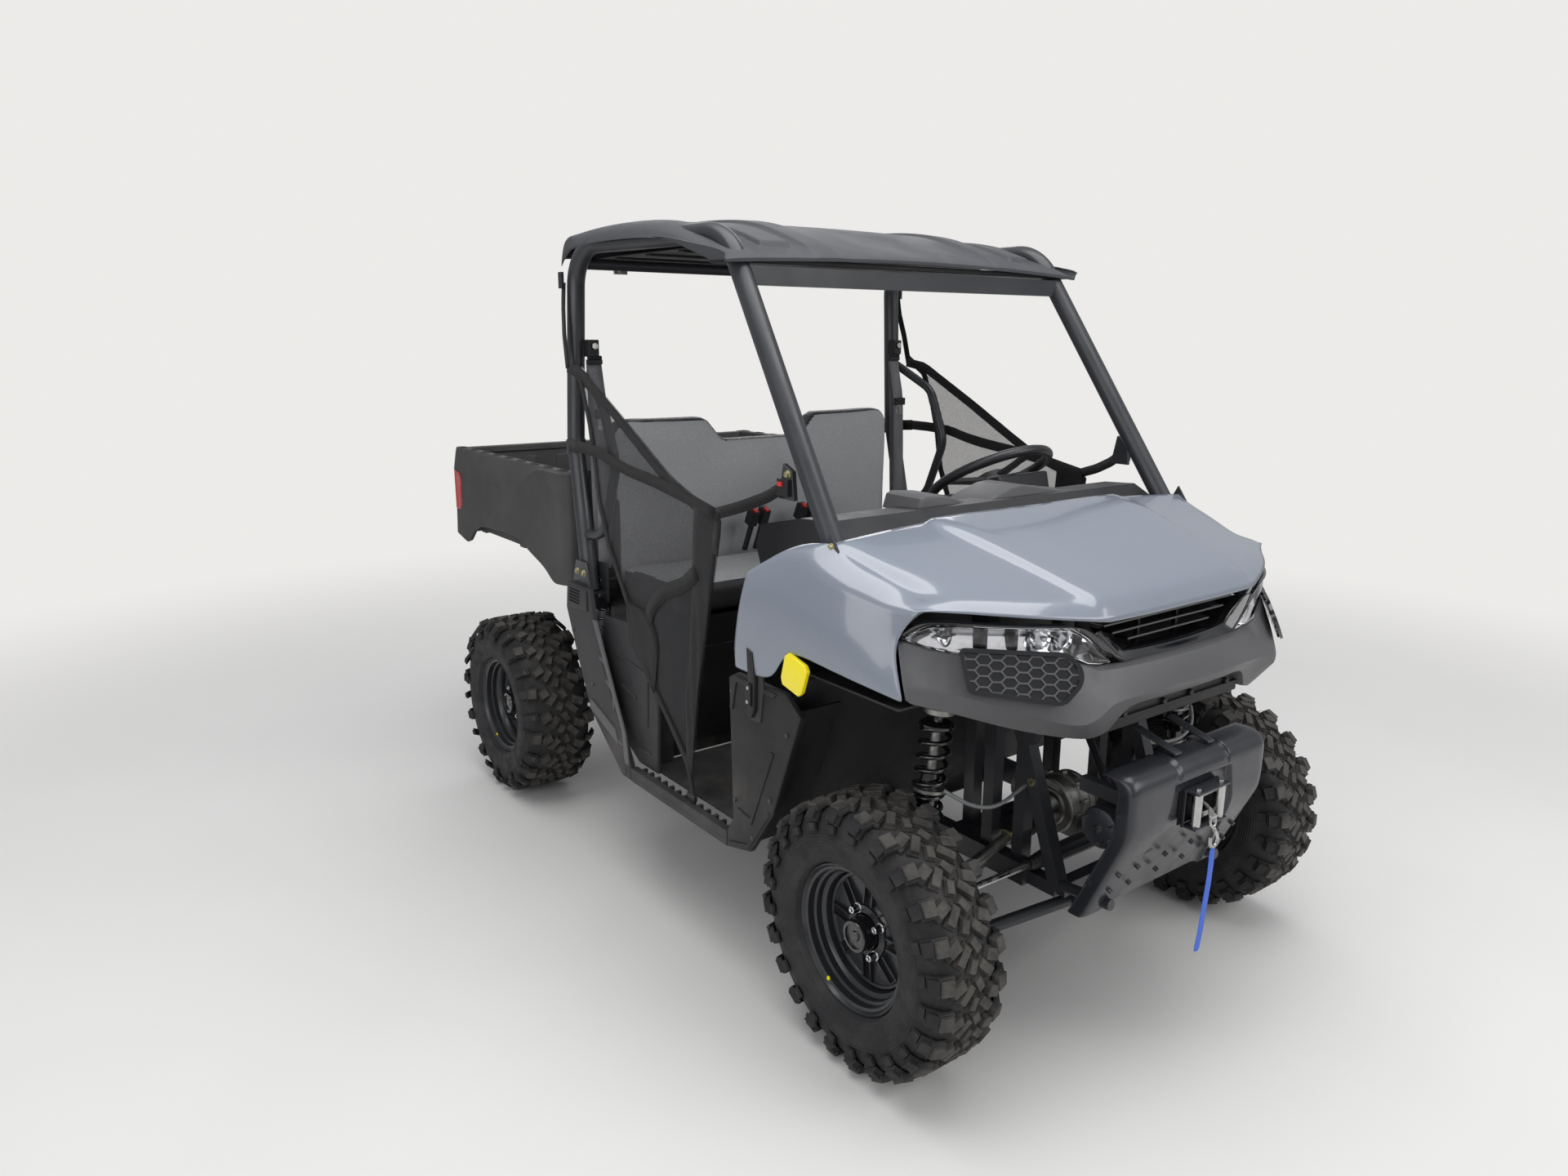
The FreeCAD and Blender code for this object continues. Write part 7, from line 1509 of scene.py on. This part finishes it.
# near-black plate behind the fairlead: painted shade for its opening
bm = bmesh.new()
block(bm, (1.3195, -.074, .536), (1.3225, .074, .614))
piece("plateMouthShade", bm, "void_black", bevel=.002)
bm = bmesh.new()
for y in (.062, -.062):
    slab(bm, ((1.195, y - .012, .7185), (1.195, y + .012, .7185), (1.302, y + .012, .6905),
              (1.302, y - .012, .6905)),
         (0, 0, .005), .001)
for y in (.200, -.200):
    rod(bm, (1.130, y, .350), (1.262, y, .361), .013, sides=16)
    block(bm, (1.165, y - .012, .60), (1.290, y + .012, .632))
piece("plateStays", bm, "frame_black", bevel=.0012)
bm = bmesh.new()
for y in (.05, .15, .215):
    for x, z in ((1.2635, .404), (1.2830, .449)):
        rod(bm, (x - .002, y, z + .001), (x + .0075, y, z - .004), .0058, .0050, 10)
for z in (.60, .42):
    rod(bm, (1.30 - (.60 - z) * .35, .250, z), (1.30 - (.60 - z) * .35, .2565, z), .0062, .0052, 6)
piece("plateBolts", bm, "frame_black", both=True, angle=35)

# fairlead, winch, rope and hook
bm = bmesh.new()
for y in (.043, -.043):
    rod(bm, (1.345, y, .536), (1.345, y, .612), .0112, sides=28)
for z in (.549, .600):
    rod(bm, (1.334, -.036, z), (1.334, .036, z), .0085, sides=24)
piece("fairRollers", bm, "bare_steel", angle=35, bevel=.0012)
bm = bmesh.new()
for z in (.531, .612):
    block(bm, (1.322, -.060, z), (1.358, .060, z + .005))
for y in (.060, -.064):
    block(bm, (1.322, y, .531), (1.330, y + .004, .617))
piece("fairFrame", bm, "plate_black", bevel=.0012)
bm = bmesh.new()
for y in (.043, -.043):
    for z, way in ((.6165, 1), (.5315, -1)):
        rod(bm, (1.345, y, z), (1.345, y, z + .006 * way), .0068, .0060, 6)
piece("fairBolts", bm, "bare_steel", angle=30, bevel=.0005)
winch = {"at": (1.243, 0, .547), "screws": 6, "screwCircle": .036, "rope": .0028, "layers": 90}
winchAt = Vector(winch["at"])
bm = bmesh.new()
turned(bm, [(0, -.245), (.030, -.245), (.044, -.240), (.047, -.232), (.047, -.160), (.044, -.152),
            (.049, -.148), (.049, -.138), (.040, -.136), (.016, -.134)], winchAt, (0, 1, 0), 40)
turned(bm, [(.016, .134), (.040, .136), (.049, .138), (.049, .150), (.042, .156), (.042, .186), (.036, .195),
            (0, .196)], winchAt, (0, 1, 0), 40)
for y in (.10, -.13):
    block(bm, (1.200, y, .470), (1.286, y + .03, .512))
piece("winchBody", bm, "plate_black", instead="winch", angle=35, bevel=.001)
bm = bmesh.new()
for i in range(winch["screws"]):
    spin = Matrix.Rotation(i * math.tau / winch["screws"], 3, "Y") @ Vector((0, 0, winch["screwCircle"]))
    rod(bm, winchAt + spin + Vector((0, -.246, 0)), winchAt + spin + Vector((0, -.236, 0)), .0045, sides=8)
rod(bm, winchAt + Vector((0, -.250, 0)), winchAt + Vector((0, -.244, 0)), .009, sides=16)
piece("winchScrews", bm, "bare_steel", angle=30)
bm = bmesh.new()
rope = [(.0300 + .0026 * abs(math.sin(i * math.pi / 2)), -.126 + i * winch["rope"])
        for i in range(winch["layers"])]
turned(bm, [(.016, -.128)] + rope + [(.016, .128)], winchAt, (0, 1, 0), 28)
piece("ropeDrum", bm, "rope", angle=180)
pipe("ropeEnd", ((1.262, 0, .572), (1.300, 0, .578), (1.335, 0, .577), (1.350, .001, .566),
                 (1.3560, .002, .556), (1.3585, .001, .548)), .0036, "rope")
for k, shift in enumerate((-.006, .006)):
    pipe(f"ropeEye{k}", ((1.3490, 0, .569), (1.3545, shift, .560), (1.3590, shift * 1.2, .549),
                         (1.3612, 0, .541)),
         .0030, "rope")
pipe("hookClevis", ((1.3575, -.0085, .556), (1.3600, -.0105, .545), (1.3612, -.0095, .534),
                    (1.3620, 0, .5265), (1.3612, .0095, .534), (1.3600, .0105, .545), (1.3575, .0085, .556)),
                    .0032, "bare_steel")
pipe("hookBody", ((1.3625, 0, .529), (1.3632, .004, .520), (1.3640, .0135, .509), (1.3655, .0150, .495),
                  (1.3655, .0060, .4835), (1.3655, -.0075, .4850), (1.3650, -.0140, .4960),
                  (1.3640, -.0120, .5080)),
                  .0050, "bare_steel")
bm = bmesh.new()
rod(bm, (1.3600, -.0125, .550), (1.3600, .0125, .550), .0030, sides=10)
slab(bm, ((1.3690, -.0125, .506), (1.3690, -.0095, .510), (1.3690, .0010, .5235), (1.3690, .0040, .5200)),
     (.0016, 0, 0), 0)
piece("hookPin", bm, "bare_steel", angle=30, bevel=.0005)


# coils, bellows and the small parts of the running gear
def coil(name, first, second, radius, wire, turns, finish, body="chassis"):
    first, second = Vector(first), Vector(second)
    way = second - first
    stand = way.to_track_quat("Z", "Y").to_matrix()
    spots = []
    for i in range(turns * 12 + 1):
        a = i * math.tau / 12
        share = min(max((i / (turns * 12) - .06) / .88, 0), 1) * .94 + .03
        spots.append(first + stand @ Vector((math.cos(a) * radius, math.sin(a) * radius, way.length * share)))
    pipe(name, spots, wire, finish, body)


def bellows(bm, first, second, near, far, folds):
    first, second = Vector(first), Vector(second)
    way = second - first
    profile = [(near * .55, 0), (near, 0)]
    for i in range(folds):
        r = near + (far - near) * (i + .5) / folds
        profile += [(r * .78, way.length * (i + .35) / folds), (r, way.length * (i + .75) / folds)]
    turned(bm, profile + [(far, way.length), (far * .5, way.length)], first, way, 28)


strut = {"low": (.515, .225), "high": (.440, .780), "springFrom": .545, "springTo": .748, "clamp": .478,
         "coil": (.0335, .0056, 7)}
shock = {"foot": (-.8557, .4011, .2737), "head": (-.834, .298, .700), "share": (.30, .88),
         "coil": (.0335, .0058, 8)}
gearcase = {"at": (axles["front"], 0, .440), "bolts": 10, "boltCircle": .0735, "ribs": 6, "ribCircle": .054}
for label, way in (("right", -1), ("left", 1)):
    low, high = (Vector((axles["front"], out * way, z)) for out, z in (strut["low"], strut["high"]))
    foot = low - (high - low).normalized() * .225
    first, last, clamp = (low.lerp(high, (strut[k] - low.z) / (high.z - low.z))
                          for k in ("springFrom", "springTo", "clamp"))
    coil("strutSpring_" + label, first, last, *strut["coil"], "grille_black", "knuckle_" + label)
    bm = bmesh.new()
    turned(bm, [(0, .770), (.012, .770), (.012, .752), (.036, .750), (.040, .746), (.040, .741), (.014, .739),
                (.010, .730), (.010, .640), (.020, .636), (.024, .600), (.0245, .545), (.040, .543),
                (.0415, .537), (.030, .532), (.0245, .530), (.0245, .400), (.018, .390)],
           foot, high - low, 32)
    piece("strutBody_" + label, bm, "grille_black", "knuckle_" + label, angle=32)
    bm = bmesh.new()
    turned(bm, [(.0250, .4560), (.0290, .4560), (.0300, .4600), (.0300, .4980), (.0290, .5020),
                (.0250, .5020)], foot,
           high - low, 28)
    block(bm, clamp + Vector((.022, -.012, -.020)), clamp + Vector((.052, .012, .020)))
    piece("strutClamp_" + label, bm, "cast_metal", "knuckle_" + label, angle=35, bevel=.0015)
    bm = bmesh.new()
    start = Vector((axles["front"], .0475 * way, .440))  # half shaft, from the gearcase to the wheel
    shaft = Vector((axles["front"], .504 * way, .305)) - start
    bellows(bm, start + shaft * .085, start + shaft * .30, .040, .023, 6)
    bellows(bm, (1.063, .160 * way, .386), (1.063, .248 * way, .386), .024, .013, 7)
    piece("bellows_" + label, bm, "dark_liner", angle=50)
    bm = bmesh.new()
    for share in (.079, .306):
        rod(bm, start + shaft * share, start + shaft * (share + .014), .0415 if share < .1 else .0205,
            sides=28)
    rod(bm, (1.040, .216 * way, .575), (1.040, .223 * way, .575), .0105, sides=6)
    piece("gearBands_" + label, bm, "zinc", angle=30, bevel=.0006)
    foot, head = (Vector((x, y * way, z)) for x, y, z in (shock["foot"], shock["head"]))
    first, last = (foot + (head - foot) * share for share in shock["share"])
    coil("shockSpring_" + label, first, last, *shock["coil"], "grille_black")
bm = bmesh.new()  # front gearcase with ribs and bolts
turned(bm, [(.020, -.052), (.046, -.052), (.050, -.047), (.066, -.044), (.0705, -.040), (.0705, -.032),
            (.066, -.030), (.066, -.003), (.0715, -.002), (.0715, .006), (.066, .007), (.066, .030),
            (.0705, .032), (.0705, .040), (.066, .044), (.050, .047), (.046, .052), (.020, .052)],
            gearcase["at"], (0, 1, 0), 48)
turned(bm, [(.030, .052), (.038, .060), (.036, .120), (.030, .124), (.028, .128), (.012, .130)],
       gearcase["at"], (-1, 0, 0), 36)
middle = Vector(gearcase["at"])
for i in range(gearcase["bolts"]):
    spin = Matrix.Rotation(i * math.tau / gearcase["bolts"], 3, "Y") @ Vector((0, 0, gearcase["boltCircle"]))
    rod(bm, middle + spin + Vector((0, -.006, 0)), middle + spin + Vector((0, .010, 0)), .0062, sides=12)
for i in range(gearcase["ribs"]):
    a = i * math.tau / gearcase["ribs"] + .3
    rib = middle + Vector((math.cos(a), 0, math.sin(a))) * gearcase["ribCircle"]
    block(bm, rib - Vector((.003, .046, .003)), rib + Vector((.003, .046, .003)))
block(bm, (.985, -.030, .372), (1.030, .030, .436))
piece("gearcase", bm, "cast_metal", angle=35, bevel=.0012)
print("bumper, winch and running gear made")

print("all pieces made")
